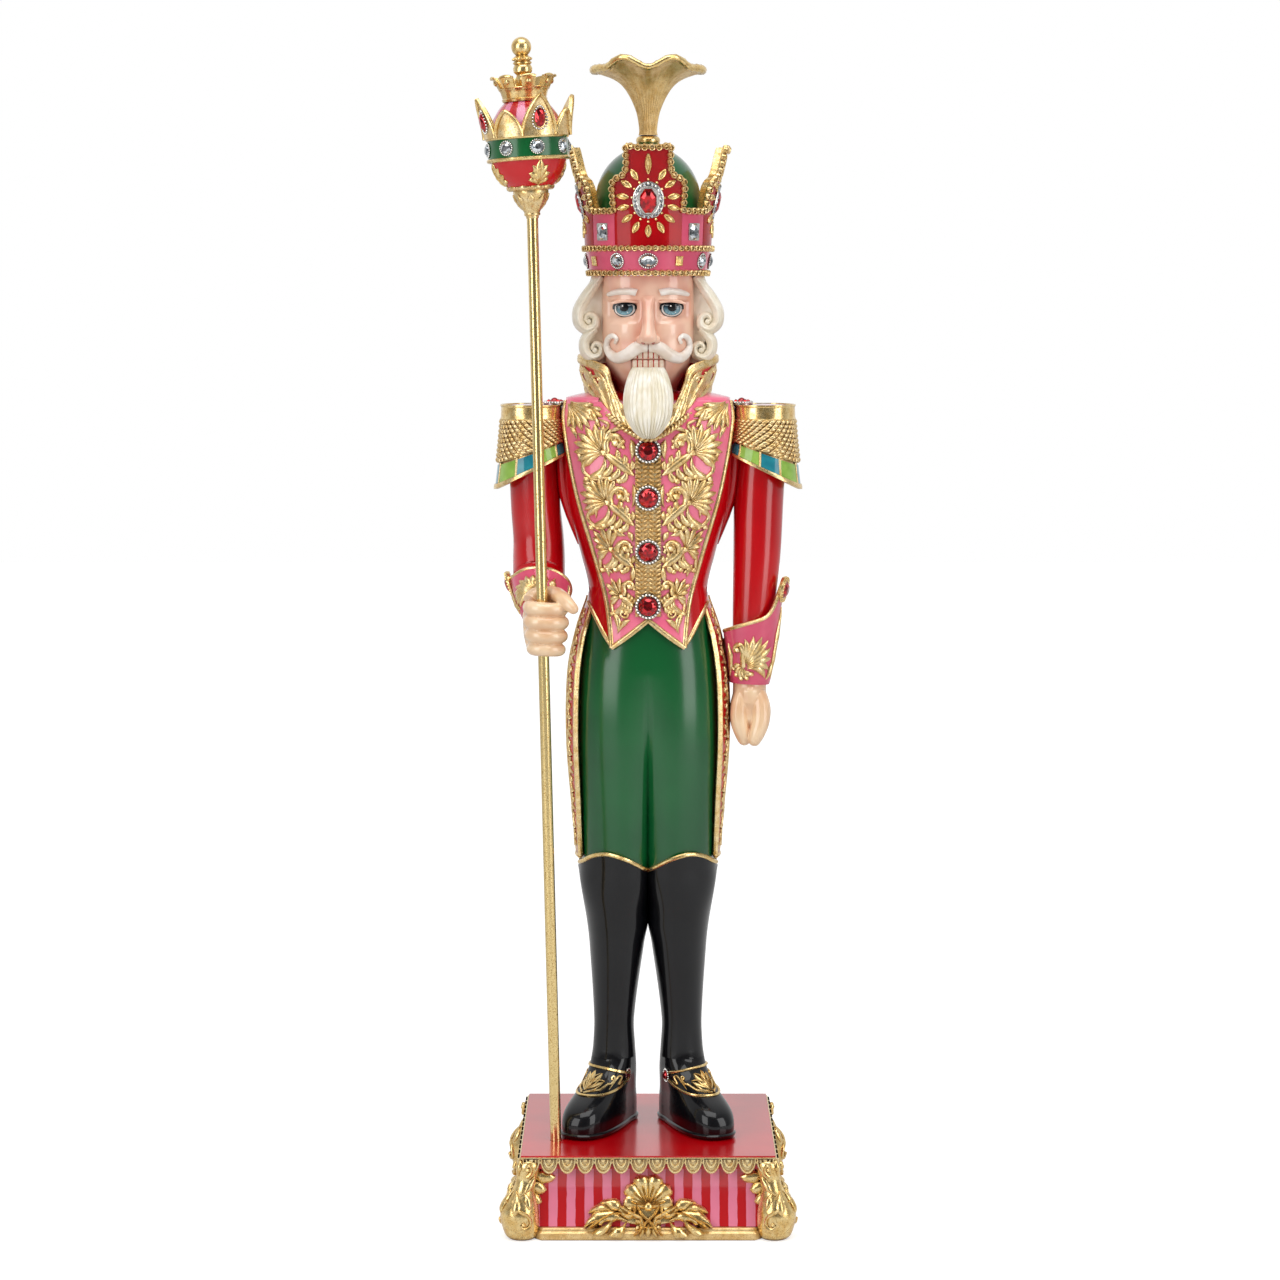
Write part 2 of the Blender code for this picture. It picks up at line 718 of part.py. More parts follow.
def make_waistcoat():
    """The rose waistcoat over the coat's front, and the braid down its middle."""
    low = Z_WAIST - VEST_POINT_DROP
    high = Z_SHOULDER - SEAT
    rise = high - low
    v_point = Z_SHOULDER - COLLAR_V_DEPTH
    centre_low = low + 0.098 * rise
    half_outline = (
        (0.0, centre_low), (0.42 * CHEST_HALF, low), (0.50 * CHEST_HALF, low + 0.18 * rise),
        (0.62 * CHEST_HALF, low + 0.36 * rise), (0.82 * CHEST_HALF, low + 0.62 * rise),
        (0.94 * CHEST_HALF, low + 0.85 * rise), (0.955 * CHEST_HALF, high),
        (COLLAR_HALF - COLLAR_THICKNESS, high), (0.64 * COLLAR_HALF, high - 0.45 * COLLAR_V_DEPTH),
        (0.0, v_point),
    )
    outline = list(half_outline) + [(-x, z) for x, z in half_outline[-2:0:-1]]
    front = plate("waistcoat_outline", outline, 2 * CHEST_DEPTH)
    stand_up(front, (0, AXIS_Y - 1.26 * CHEST_DEPTH, 0))
    vest = body_room("waistcoat", VEST_SHELL, low)
    dress(vest, PINK)
    keep(vest, front)
    cut(vest, body_room("waistcoat_lining", VEST_LINING, low - VEST_POINT_DROP))

    strip = box("placket_outline", (-PLACKET_HALF, AXIS_Y - 2 * CHEST_DEPTH, centre_low + SEAT),
                (PLACKET_HALF, AXIS_Y, v_point - PLACKET_THICKNESS))
    placket = body_room("placket", PLACKET_SHELL, low)
    dress(placket, GOLD)
    keep(placket, strip)
    cut(placket, body_room("placket_lining", VEST_SHELL + SEAT, low - VEST_POINT_DROP))


def dress(piece, material):
    """Make a cutter a part."""
    TOOLS.objects.unlink(piece)
    PARTS.objects.link(piece)
    piece.data.materials.append(material)
    piece.hide_render = False
    piece.display_type = "TEXTURED"


def make_button(name, level):
    """A domed stone in a round setting, square to the braid under it."""
    r, h = BUTTON_RADIUS, BUTTON_HEIGHT
    profile = ((0, h), (0.38 * r, 0.96 * h), (0.66 * r, 0.72 * h), (0.72 * r, 0.5 * h),
               (0.86 * r, 0.58 * h), (r, 0.34 * h), (r, 0.0), (0, 0))
    rise = front_at(level + 0.5 * r, 0.0) - front_at(level - 0.5 * r, 0.0)
    out = Vector((0, -rise.z, rise.y)).normalized()
    here = front_at(level, PLACKET_SHELL)
    across = [level + r * k / 4 for k in range(-4, 5)]
    proud = max(out.dot(front_at(spot, PLACKET_SHELL) - here) for spot in across)
    stud = turned(name, profile, RUBY, 12)
    stud.location = here + out * (proud + SEAT)
    stud.rotation_euler = (math.atan2(-out.y, out.z), 0, 0)


def make_tails():
    """The coat's skirt, round the sides and back of the breeches."""
    rings = []
    rows = 7
    for k in range(rows):
        share = k / (rows - 1)
        level = Z_WAIST - TAIL_LENGTH * (1 - share)
        half, front, back, _ = along(BODY_SECTIONS, level)
        ease = min(1.0, 0.25 + 1.3 * share)
        lap = SEAT + TAIL_STANDOFF * ease * min(1.0, 4 * (1 - share) + 0.1)
        wall = TAIL_THICKNESS * (0.5 + 0.5 * ease)
        reach = math.asin(min(0.9, (0.35 + 0.65 * share) * TAIL_FRONT_EDGE / (front + lap)))
        turns = around_back(17, reach)
        outer, inner = [rim(turns, level, half + grow, front + grow, back + grow, power=BODY_SQUARENESS)
                        for grow in (lap + wall, lap)]
        rings.append(outer + inner[::-1])
    skin("coat_tails", rings, RED)


def make_collar():
    """A standing collar, open in a V at the front and flared at the sides."""
    v_point = Z_SHOULDER - COLLAR_V_DEPTH
    low = v_point - 0.3 * COLLAR_V_DEPTH
    top = Z_SHOULDER + COLLAR_HEIGHT
    stations = (
        (low, 0.94 * COLLAR_HALF, 1.135 * CHEST_DEPTH, 0.72 * BACK_DEPTH),
        (Z_SHOULDER, COLLAR_HALF, 1.01 * CHEST_DEPTH, 0.79 * BACK_DEPTH),
        (top, COLLAR_HALF + COLLAR_FLARE, 0.79 * CHEST_DEPTH, 0.93 * BACK_DEPTH),
    )
    rings = []
    for k in range(6):
        level = low + (top - low) * k / 5
        rings.append(oval(level, *along(stations, level), power=2.1, count=22))
    band = skin("collar", rings, RED, capped=False)
    thicken(band, COLLAR_THICKNESS)

    point_x, point_z = 0.70 * COLLAR_HALF, Z_SHOULDER + 0.69 * COLLAR_HEIGHT
    wide = COLLAR_HALF + 2 * COLLAR_FLARE
    over, under = top + COLLAR_HEIGHT, low - COLLAR_HEIGHT
    side_base = Z_SHOULDER - 10 * SEAT
    opening = plate("collar_opening", (
        (0, v_point + 3 * SEAT), (point_x, point_z), (wide, top), (wide, over),
        (-wide, over), (-wide, top), (-point_x, point_z)), 2 * CHEST_DEPTH)
    base = plate("collar_base", (
        (0, v_point - 2 * SEAT), (COLLAR_HALF, side_base), (wide, side_base), (wide, under),
        (-wide, under), (-wide, side_base), (-COLLAR_HALF, side_base)), 2 * CHEST_DEPTH)
    # The cutters end just behind the collar's widest points, not level with them.
    stand_up(opening, (0, AXIS_Y - CHEST_DEPTH + 6 * SEAT, 0))
    stand_up(base, (0, AXIS_Y - CHEST_DEPTH + 4 * SEAT, 0))
    cut(band, opening, base, chest_room("collar_chest_room", PLACKET_SHELL + SEAT))


# Head and jaw

HEAD_SECTIONS = (
    (Z_SHOULDER, 0.62 * HEAD_HALF, 0.58 * FACE_DEPTH, 0.62 * HEAD_BACK),
    (Z_SHOULDER + 0.09 * HEAD_HEIGHT, 0.63 * HEAD_HALF, 0.62 * FACE_DEPTH, 0.64 * HEAD_BACK),
    (Z_SHOULDER + 0.17 * HEAD_HEIGHT, 0.74 * HEAD_HALF, 0.82 * FACE_DEPTH, 0.72 * HEAD_BACK),
    (Z_SHOULDER + 0.26 * HEAD_HEIGHT, 0.88 * HEAD_HALF, 0.94 * FACE_DEPTH, 0.84 * HEAD_BACK),
    (Z_SHOULDER + 0.36 * HEAD_HEIGHT, 0.96 * HEAD_HALF, 0.99 * FACE_DEPTH, 0.93 * HEAD_BACK),
    (Z_SHOULDER + 0.55 * HEAD_HEIGHT, HEAD_HALF, FACE_DEPTH, HEAD_BACK),
    (Z_SHOULDER + 0.78 * HEAD_HEIGHT, HEAD_HALF, 0.97 * FACE_DEPTH, HEAD_BACK),
    (Z_CROWN, HEAD_HALF, 0.94 * FACE_DEPTH, HEAD_BACK),
)
JAW_FRONT = AXIS_Y - FACE_DEPTH + RUNNING
JAW_BACK = JAW_FRONT + JAW_DEPTH
JAW_TOP = Z_MOUTH - SEAT
CHIN = JAW_TOP - JAW_HEIGHT


def head_ring(level, grow):
    half, front, back = along(HEAD_SECTIONS, level)
    return oval(level, half + grow, front + grow, back + grow, power=HEAD_SQUARENESS, count=22)


HEAD_LEVELS = [Z_SHOULDER + SEAT + (HEAD_HEIGHT - 2 * SEAT) * k / 11 for k in range(12)]


def head_room(name):
    """The head grown by a seat's gap and carried up past its top, as a cutter."""
    rings = [head_ring(level, SEAT) for level in HEAD_LEVELS]
    rings.append([point + Vector((0, 0, CROWN_RIM_HEIGHT)) for point in rings[-1]])
    return skin(name, rings)


def make_head():
    head = skin("head", [head_ring(level, 0.0) for level in HEAD_LEVELS], FLESH)
    nose_root = (0, AXIS_Y - 0.85 * FACE_DEPTH)
    nose_foot = Z_MOUTH + NOSE_RISE
    nose_top = Z_SHOULDER + 0.76 * HEAD_HEIGHT
    nose_line = ((0.0, 0.60, 0.54), (0.067, 0.93, 0.89), (0.20, 1.0, 1.0), (0.40, 0.74, 0.81),
                 (0.667, 0.60, 0.57), (1.0, 0.48, 0.38))
    nose = skin("nose", [
        oval(nose_foot + share * (nose_top - nose_foot), wide * NOSE_HALF, reach * NOSE_REACH,
             0.5 * NOSE_HALF, nose_root, count=12)
        for share, wide, reach in nose_line])
    join(head, nose)
    side = JAW_HALF + RUNNING
    ledge = side - MOUTH_LEDGE
    mouth = box("mouth_room", (-side, JAW_FRONT - FACE_DEPTH, CHIN - HEAD_HEIGHT),
                (side, JAW_BACK + RUNNING, Z_MOUTH))
    roof = box("mouth_roof", (-ledge, JAW_FRONT + LIP_THICKNESS, CHIN),
               (ledge, JAW_BACK - MOUTH_LEDGE, Z_MOUTH + MOUTH_ROOF))
    cut(head, mouth, roof, JAW_SLOT)
    make_jaw()
    make_moustache()
    make_hair()


LEVER_TOP = CHIN - SEAT - PIVOT.z
LEVER_FRONT = JAW_FRONT + LEVER_SET_BACK - PIVOT.y
LEVER_BACK = AXIS_Y + BACK_DEPTH + LEVER_CLEARANCE - PIVOT.y
LEVER_BOSS = 3.6 * PIN_RADIUS


def lever_outline():
    """The jaw's lever about its pivot: up to the jaw, back through the coat and down the back."""
    top, front, back, bar, boss = LEVER_TOP, LEVER_FRONT, LEVER_BACK, LEVER_BAR, LEVER_BOSS
    return (
        (front, top), (front + 2.2 * bar, top), (front + 3.3 * bar, 0.78 * top), (-0.2 * bar, 0.34 * top),
        (0.67 * bar, boss), (back - 0.45 * bar, 0.75 * bar), (back + 0.7 * bar, 0.2 * bar),
        (back + bar, -1.5 * bar), (back + bar, -LEVER_TAIL), (back + 0.5 * bar, -LEVER_TAIL - 0.6 * bar),
        (back, -LEVER_TAIL), (back, -1.4 * bar), (back - 0.67 * bar, -0.7 * bar), (0.45 * bar, -boss),
        (-0.67 * bar, -0.8 * boss), (-2.2 * bar, 0.2 * top), (front, 0.78 * top),
    )


def slot_outline():
    """The room that the lever sweeps as the jaw drops."""
    top, front, bar, boss = LEVER_TOP, LEVER_FRONT, LEVER_BAR, LEVER_BOSS
    ahead, behind = front - FACE_DEPTH, LEVER_BACK + BACK_DEPTH
    over = top + 1.3 * bar
    return (
        (ahead, 0.48 * top), (front - 0.9 * bar, 0.48 * top), (-2.45 * bar, 0.04 * top), (-bar, -1.25 * boss),
        (0.67 * bar, -1.35 * boss), (behind, -1.1 * boss), (behind, 1.75 * bar), (bar, 1.75 * bar),
        (0.22 * bar, 0.52 * top), (-0.55 * bar, 0.8 * top), (-0.55 * bar, over), (ahead, over),
    )


def upright(piece):
    """Turn a plate's local XY into the figure's YZ at the jaw's pivot."""
    piece.rotation_euler = (math.pi / 2, 0, math.pi / 2)
    piece.location = PIVOT


def make_jaw():
    hinge = bpy.data.objects.new("jaw_hinge", None)
    hinge.location = PIVOT
    PARTS.objects.link(hinge)

    jaw = box("jaw", (-JAW_HALF, JAW_FRONT, CHIN), (JAW_HALF, JAW_BACK, JAW_TOP), FLESH)
    soften(jaw, 0.0015)
    lever = plate("jaw_lever", lever_outline(), 2 * LEVER_HALF, IVORY)
    upright(lever)
    cut(lever, PIN_BORE)
    pin = rod("jaw_pin", PIN_RADIUS, 2 * PIN_HALF_LENGTH, STEEL, 16)
    pin.rotation_euler = (0, math.pi / 2, 0)
    pin.location = PIVOT

    sweep = CHEST_DEPTH + PLACKET_SHELL + BUTTON_HEIGHT + BEARD_CLEARANCE - FACE_DEPTH + RUNNING
    line = (
        (0.0, 0.16, 0.30, 1.0), (0.10, 0.44, 0.60, 0.95), (0.28, 0.80, 0.90, 0.80), (0.45, 1.0, 1.0, 0.575),
        (0.62, 0.98, 0.96, 0.36), (0.80, 0.80, 0.80, 0.155), (0.93, 0.66, 0.62, 0.05), (1.0, 0.56, 0.44, 0.02),
    )
    foot = JAW_TOP - BEARD_DROP - BEARD_LENGTH
    front_turns = [math.pi + math.pi * k / 10 for k in range(11)]
    rings = []
    for share, wide, thick, clear in line:
        back = (0, JAW_FRONT - max(SEAT, clear * sweep))
        rings.append(rim(front_turns, foot + share * BEARD_LENGTH, wide * BEARD_HALF, thick * BEARD_THICKNESS,
                         0.0, back, 2.2))
    beard = skin("beard", rings, IVORY)
    for piece in (jaw, lever, beard):
        piece.parent = hinge
        piece.matrix_parent_inverse.translation = -PIVOT


def make_moustache():
    """A handlebar moustache with curled tips, over the upper lip."""
    w, r = MOUSTACHE_HALF, MOUSTACHE_RADIUS
    half_path = ((0.10, 0.08, 0.85), (0.38, 0.06, 1.0), (0.66, -0.02, 0.95), (0.88, 0.08, 0.75),
                 (1.0, 0.30, 0.6), (0.97, 0.50, 0.5), (0.86, 0.55, 0.42))
    points, radii = [], []
    for across, rise, swell in half_path:
        level = Z_MOUTH + MOUSTACHE_RISE + rise * w
        half, front, _ = along(HEAD_SECTIONS, level)
        x = across * w
        bow = max(0.80, (1 - min(0.98, x / half) ** HEAD_SQUARENESS) ** (1 / HEAD_SQUARENESS))
        points.append((x, AXIS_Y - front * bow - 0.45 * r, level))
        radii.append(swell * r)
    points = [(-x, y, z) for x, y, z in reversed(points)] + points
    piece = tube("moustache", points, radii[::-1] + radii, IVORY, 1)
    cut(piece, head_room("moustache_face_room"))


def make_hair():
    """A wig round the sides and back, with two rolled curls at each side of the face."""
    turns = around_back(15, 0.28)
    foot = Z_SHOULDER + COLLAR_HEIGHT + HAIR_CLEARANCE
    length = Z_CROWN - SEAT - foot
    bulge_line = ((0.0, 0.30), (0.2, 0.55), (0.4, 0.85), (0.6, 1.0), (0.8, 0.72), (1.0, 0.40))
    rings = []
    for share, bulge in bulge_line:
        level = foot + length * share
        half, front, back = along(HEAD_SECTIONS, level)
        outer, inner = [rim(turns, level, half + grow, front + grow, back + grow, power=HEAD_SQUARENESS)
                        for grow in (SEAT + bulge * HAIR_BULGE, -HAIR_LAP)]
        rings.append(outer + inner[::-1])
    wig = skin("hair", rings, IVORY)
    curls = (("upper", 0.95, 0.36, 1.0), ("lower", 0.27, 0.045, 0.95))
    for name, side in SIDES.items():
        for place_name, out, share, size in curls:
            curl = rod(f"curl_{place_name}_{name}", size * CURL_RADIUS, CURL_THICKNESS, None, 12)
            curl.rotation_euler = (math.pi / 2, 0, 0)
            curl.location = (side * (HEAD_HALF + out * CURL_RADIUS), AXIS_Y - 0.49 * FACE_DEPTH,
                             foot + length * share)
            join(wig, curl)
    cut(wig, head_room("wig_head_room"))


# Crown

def crown_radius(level):
    """The crown wall's outer radius at a level."""
    low = CROWN_RADIUS + CROWN_RIM_FLARE
    rise = max(0.0, level - Z_PANEL) / (PANEL_STEP_HEIGHT + PANEL_TIP_HEIGHT)
    return low + CROWN_BAND_FLARE * min(1.0, (level - Z_BAND) / CROWN_BAND_HEIGHT) + PANEL_LEAN * rise


def make_crown():
    rim_low, rim_top = Z_CROWN + SEAT, Z_BAND
    r, flare = CROWN_RADIUS, CROWN_RIM_FLARE
    rim_middle = 0.5 * (rim_low + rim_top)
    rim_profile = ((0, rim_top), (r + flare, rim_top), (r + 0.6 * flare, rim_middle),
                   (r, rim_low), (0, rim_low))
    centred(turned("crown_rim", rim_profile, PINK, 32))
    tip, step = PANEL_TIP_HALF_ANGLE, PANEL_HALF_ANGLE
    columns = []
    for quarter in range(4):
        middle = FRONT + quarter * math.pi / 2
        gap = (math.pi / 4 - step) / 1.5
        shoulder = 0.5 * (step + tip)
        offsets = (-step, -shoulder, -tip, -tip / 3, tip / 3, tip, shoulder, step, step + gap)
        columns += [middle + offset for offset in offsets]

    def rows_at(turn):
        off = abs((turn - FRONT + math.pi / 4) % (math.pi / 2) - math.pi / 4)
        return 4 if off < tip else 3 if off < step else 2

    low = Z_BAND + SEAT
    levels = (low, low + 0.5 * CROWN_BAND_HEIGHT, Z_PANEL, Z_PANEL + PANEL_STEP_HEIGHT,
              Z_PANEL + PANEL_STEP_HEIGHT + PANEL_TIP_HEIGHT)
    wall = crenellate("crown_wall", columns, levels, crown_radius, rows_at, RED)
    centred(wall)
    thicken(wall, CROWN_WALL)

    foot = Z_BAND + SEAT
    spring = foot + 0.46 * DOME_HEIGHT
    crest = foot + DOME_HEIGHT
    seat_radius = 0.8 * COLLAR_RING_RADIUS
    profile = [(0, crest), (seat_radius, crest)]
    for k in range(1, 8):
        turn = math.pi / 2 * k / 8
        reach = seat_radius + (DOME_RADIUS - seat_radius) * math.sin(turn)
        profile.append((reach, spring + (crest - spring) * math.cos(turn)))
    profile += [(DOME_RADIUS, spring), (DOME_RADIUS, foot), (0, foot)]
    centred(turned("crown_dome", profile, GREEN, 24))
    make_jewel()
    make_finial(crest + SEAT)


def centred(piece):
    """Stand a turned piece on the figure's axis."""
    piece.location = (0, AXIS_Y, 0)


def make_jewel():
    """The oval stone and its setting on the front panel."""
    level = Z_PANEL + 0.3 * PANEL_STEP_HEIGHT
    turns = [2 * math.pi * k / 18 for k in range(18)]
    outline = [(JEWEL_HALF_WIDTH * math.cos(turn), JEWEL_HALF_HEIGHT * math.sin(turn)) for turn in turns]
    stone = plate("crown_jewel", outline, 2 * JEWEL_THICKNESS, RUBY)
    lean = 0.5 * math.atan2(PANEL_LEAN, PANEL_STEP_HEIGHT + PANEL_TIP_HEIGHT)
    stone.rotation_euler = (math.pi / 2 + lean, 0, 0)
    stone.location = (0, AXIS_Y - crown_radius(level), level)
    soften(stone, 0.4 * JEWEL_THICKNESS)
    low, high = Z_BAND, Z_PANEL + PANEL_STEP_HEIGHT + PANEL_TIP_HEIGHT
    rings = []
    for k in range(9):
        level = low + (high - low) * k / 8
        radius = crown_radius(level) + SEAT
        rings.append(oval(level, radius, radius, radius, count=72))
    cut(stone, skin("jewel_crown_room", rings))


def make_finial(foot):
    """A beaded ring and a trumpet with a lobed lip on top of the dome."""
    r, h = COLLAR_RING_RADIUS, COLLAR_RING_HEIGHT
    ring_profile = ((0, h), (0.78 * r, h), (r, 0.7 * h), (r, 0.3 * h), (0.78 * r, 0), (0, 0))
    ring = turned("finial_ring", ring_profile, GOLD, 16)
    ring.location = (0, AXIS_Y, foot)

    neck, lip, height = TRUMPET_NECK, TRUMPET_RADIUS, TRUMPET_HEIGHT
    bottom = foot + h + SEAT
    line = ((0.0, neck, 0.0, 0.0), (0.28, 1.25 * neck, 0.0, 0.0), (0.52, 1.85 * neck, 0.0, 0.0),
            (0.72, 0.60 * lip, 0.25, 0.0), (0.82, 0.93 * lip, 0.8, 0.3), (0.86, lip, 1.0, 1.0),
            (0.92, 0.93 * lip, 0.9, 1.0), (0.86, 0.70 * lip, 0.5, 0.6), (0.74, 0.32 * lip, 0.0, 0.0))
    count = 4 * TRUMPET_LOBES
    rings = []
    for share, radius, scallop, lift in line:
        ring_points = []
        for k in range(count):
            turn = 2 * math.pi * k / count
            lobe = abs(math.cos(TRUMPET_LOBES * (turn - FRONT - math.pi / TRUMPET_LOBES) / 2))
            reach = radius * (1 - 0.07 * scallop * (1 - lobe))
            level = bottom + share * height + 0.05 * lift * height * (lobe - 0.4)
            ring_points.append(Vector((reach * math.cos(turn), AXIS_Y + reach * math.sin(turn), level)))
        rings.append(ring_points)
    skin("trumpet_finial", rings, GOLD)


# Arms

BOARD_X = CHEST_HALF + EPAULETTE_CLEARANCE + BOARD_HALF
BOARD_TOP = Z_SHOULDER - BOARD_DROP
BOARD_LOW = BOARD_TOP - BOARD_HEIGHT
ARM_TOP = BOARD_LOW - SEAT
ARM_X = CHEST_HALF + SLEEVE_RADIUS
FIST = Vector((STAFF_X - math.tan(STAFF_LEAN) * FIST_RISE, STAFF_Y, Z_BASE + FIST_RISE))
ELBOW = Vector((2 * RUNNING - ARM_X, AXIS_Y + ELBOW_BACK, Z_SHOULDER - ELBOW_DROP))
FOREARM = (FIST - ELBOW).normalized()
WRIST = FIST - FOREARM * (FIST_HALF + WRIST_SET_BACK)
HANGING_WRIST = Vector((ARM_X - WRIST_IN, AXIS_Y - WRIST_FORWARD, ARM_TOP - ARM_LENGTH))


def right_arm(grow):
    """Rings down the bent arm, from the shoulder to the wrist."""
    r = SLEEVE_RADIUS
    down = Vector((0, 0, -1))
    bend = (down + FOREARM).normalized()
    shoulder = Vector((-ARM_X - SHOULDER_OUT, AXIS_Y, ARM_TOP))
    stations = (
        (shoulder, down, r),
        (shoulder.lerp(ELBOW, 0.35), down, r),
        (ELBOW - down * 1.55 * r, down, 1.02 * r),
        (ELBOW - down * 0.62 * r, (3 * down + bend).normalized(), 1.04 * r),
        (ELBOW + bend * 0.15 * r, bend, r),
        (ELBOW + FOREARM * 0.87 * r, (bend + 3 * FOREARM).normalized(), 0.92 * r),
        (ELBOW.lerp(WRIST, 0.62), FOREARM, 0.82 * r),
        (WRIST, FOREARM, WRIST_RADIUS),
    )
    return [square_on(centre, direction, radius + grow) for centre, direction, radius in stations]


def left_arm(grow):
    """Rings down the straight arm, from the shoulder to the wrist."""
    r = SLEEVE_RADIUS
    line = (
        (0.0, SHOULDER_OUT, 0.0, r),
        (0.13, 0.5 * SHOULDER_OUT, 0.0, r),
        (0.3, 0.0, 0.2, r),
        (0.52, -0.21 * WRIST_IN, 0.5, 0.95 * r),
        (0.76, -0.64 * WRIST_IN, 0.8, 0.82 * r),
        (1.0, -WRIST_IN, 1.0, WRIST_RADIUS),
    )
    down = Vector((0, 0, -1))
    rings = []
    for share, out, ahead, radius in line:
        centre = Vector((ARM_X + out, AXIS_Y - ahead * WRIST_FORWARD, ARM_TOP - share * ARM_LENGTH))
        rings.append(square_on(centre, down, radius + grow))
    return rings


def make_arms():
    skin("sleeve_right", right_arm(0.0), RED)
    skin("sleeve_left", left_arm(0.0), RED)
    right_room = skin("right_sleeve_room", right_arm(SEAT))
    left_room = skin("left_sleeve_room", left_arm(SEAT))
    make_cuff("cuff_left", HANGING_WRIST, Vector((0.05, 0.03, 1)), Vector((1, -0.25, 0)), left_room)
    make_cuff("cuff_right", WRIST, -FOREARM, Vector((-1, 0, 0.1)), right_room)
    make_hanging_fist()
    make_holding_fist()
    chest = chest_room("epaulette_chest_room", VEST_SHELL + SEAT)
    make_epaulette("right", -1, chest, right_room)
    make_epaulette("left", 1, chest, left_room)


def make_cuff(name, wrist, back, tip, sleeve_room):
    """A flared cuff from the wrist up the forearm, drawn up to a point on its outer side."""
    back = back.normalized()
    count = 16
    flare = CUFF_FLARE_RADIUS - WRIST_RADIUS - CUFF_WALL
    rings = []
    for k in range(4):
        share = k / 3
        radius = WRIST_RADIUS + SEAT + CUFF_WALL + flare * share ** 0.8
        ring = square_on(wrist + back * CUFF_LENGTH * 0.86 * share, back, radius, count)
        centre = sum(ring, Vector()) / count
        for j, point in enumerate(ring):
            toward = max(0.0, (point - centre).normalized().dot(tip.normalized()))
            ring[j] = point + back * CUFF_POINT * share ** 2 * toward ** 6
        rings.append(ring)
    cuff = skin(name, rings, PINK, capped=False)
    thicken(cuff, CUFF_WALL)
    cut(cuff, sleeve_room)


def make_hanging_fist():
    """The left hand, closed and hanging below its cuff."""
    h, r, wrist = HANGING_FIST_HEIGHT, WRIST_RADIUS, HANGING_WRIST
    line = (
        (0.0, 0.84, 0.80, 0.0), (0.12, 0.80, 0.78, 0.0), (0.28, 0.98, 0.98, 0.08), (0.45, 1.14, 1.16, 0.23),
        (0.62, 1.2, 1.22, 0.31), (0.80, 1.12, 1.14, 0.31), (0.93, 0.90, 0.94, 0.23), (1.0, 0.60, 0.64, 0.15),
    )
    rings = []
    for share, wide, deep, ahead in line:
        centre = (wrist.x - 0.5 * ahead * r, wrist.y - ahead * r)
        rings.append(oval(wrist.z - SEAT - share * h, wide * r, deep * r, deep * r, centre, 2.3, 16))
    hand = skin("hand_left", rings, FLESH)
    start = wrist + Vector((-0.54 * r, -0.88 * r, -0.30 * h))
    end = wrist + Vector((0.08 * r, -1.54 * r, -0.78 * h))
    join(hand, thumb("thumb_left", start, end))


def thumb(name, start, end):
    r = THUMB_RADIUS
    shares = ((-0.08, 0.45), (0.05, 0.9), (0.4, 1.05), (0.75, 1.0), (0.95, 0.8), (1.05, 0.4))
    line = end - start
    return skin(name, [square_on(start + line * share, line, swell * r, 12) for share, swell in shares])


def make_holding_fist():
    """The right hand round the staff, with four fingers and the thumb laid over them."""
    fingers = 4
    rings = []
    steps = 2 * fingers
    for k in range(steps + 1):
        share = k / steps
        level = FIST.z + (share - 0.5) * FIST_HEIGHT
        knuckle = 0.90 + 0.10 * abs(math.sin(math.pi * share * fingers))
        end = 0.72 if k in (0, steps) else 1.0
        x = FIST.x - math.tan(STAFF_LEAN) * (level - FIST.z) + 0.24 * FIST_HALF
        half = FIST_HALF * knuckle * end
        rings.append(oval(level, half, 1.02 * half, 0.98 * FIST_HALF * end, (x, FIST.y), 2.4, 16))
    hand = skin("hand_right", rings, FLESH)
    palm = skin("palm", [square_on(WRIST + FOREARM * SEAT, FOREARM, 0.97 * WRIST_RADIUS, 14),
                         square_on(FIST - FOREARM * 0.4 * FIST_HALF, FOREARM, WRIST_RADIUS, 14)])
    top = FIST + Vector((0, 0, 0.5 * FIST_HEIGHT))
    start = top + Vector((-0.23, -0.76, -0.12)) * FIST_HALF
    end = top + Vector((1.42, -0.87, -0.49)) * FIST_HALF
    join(hand, palm, thumb("thumb_right", start, end))
    grip = rod("staff_grip_room", POLE_RADIUS + RUNNING, 3 * FIST_HEIGHT)
    grip.parent = STAFF_AXIS
    grip.location = (0, 0, FIST_RISE / math.cos(STAFF_LEAN))
    cut(hand, grip)


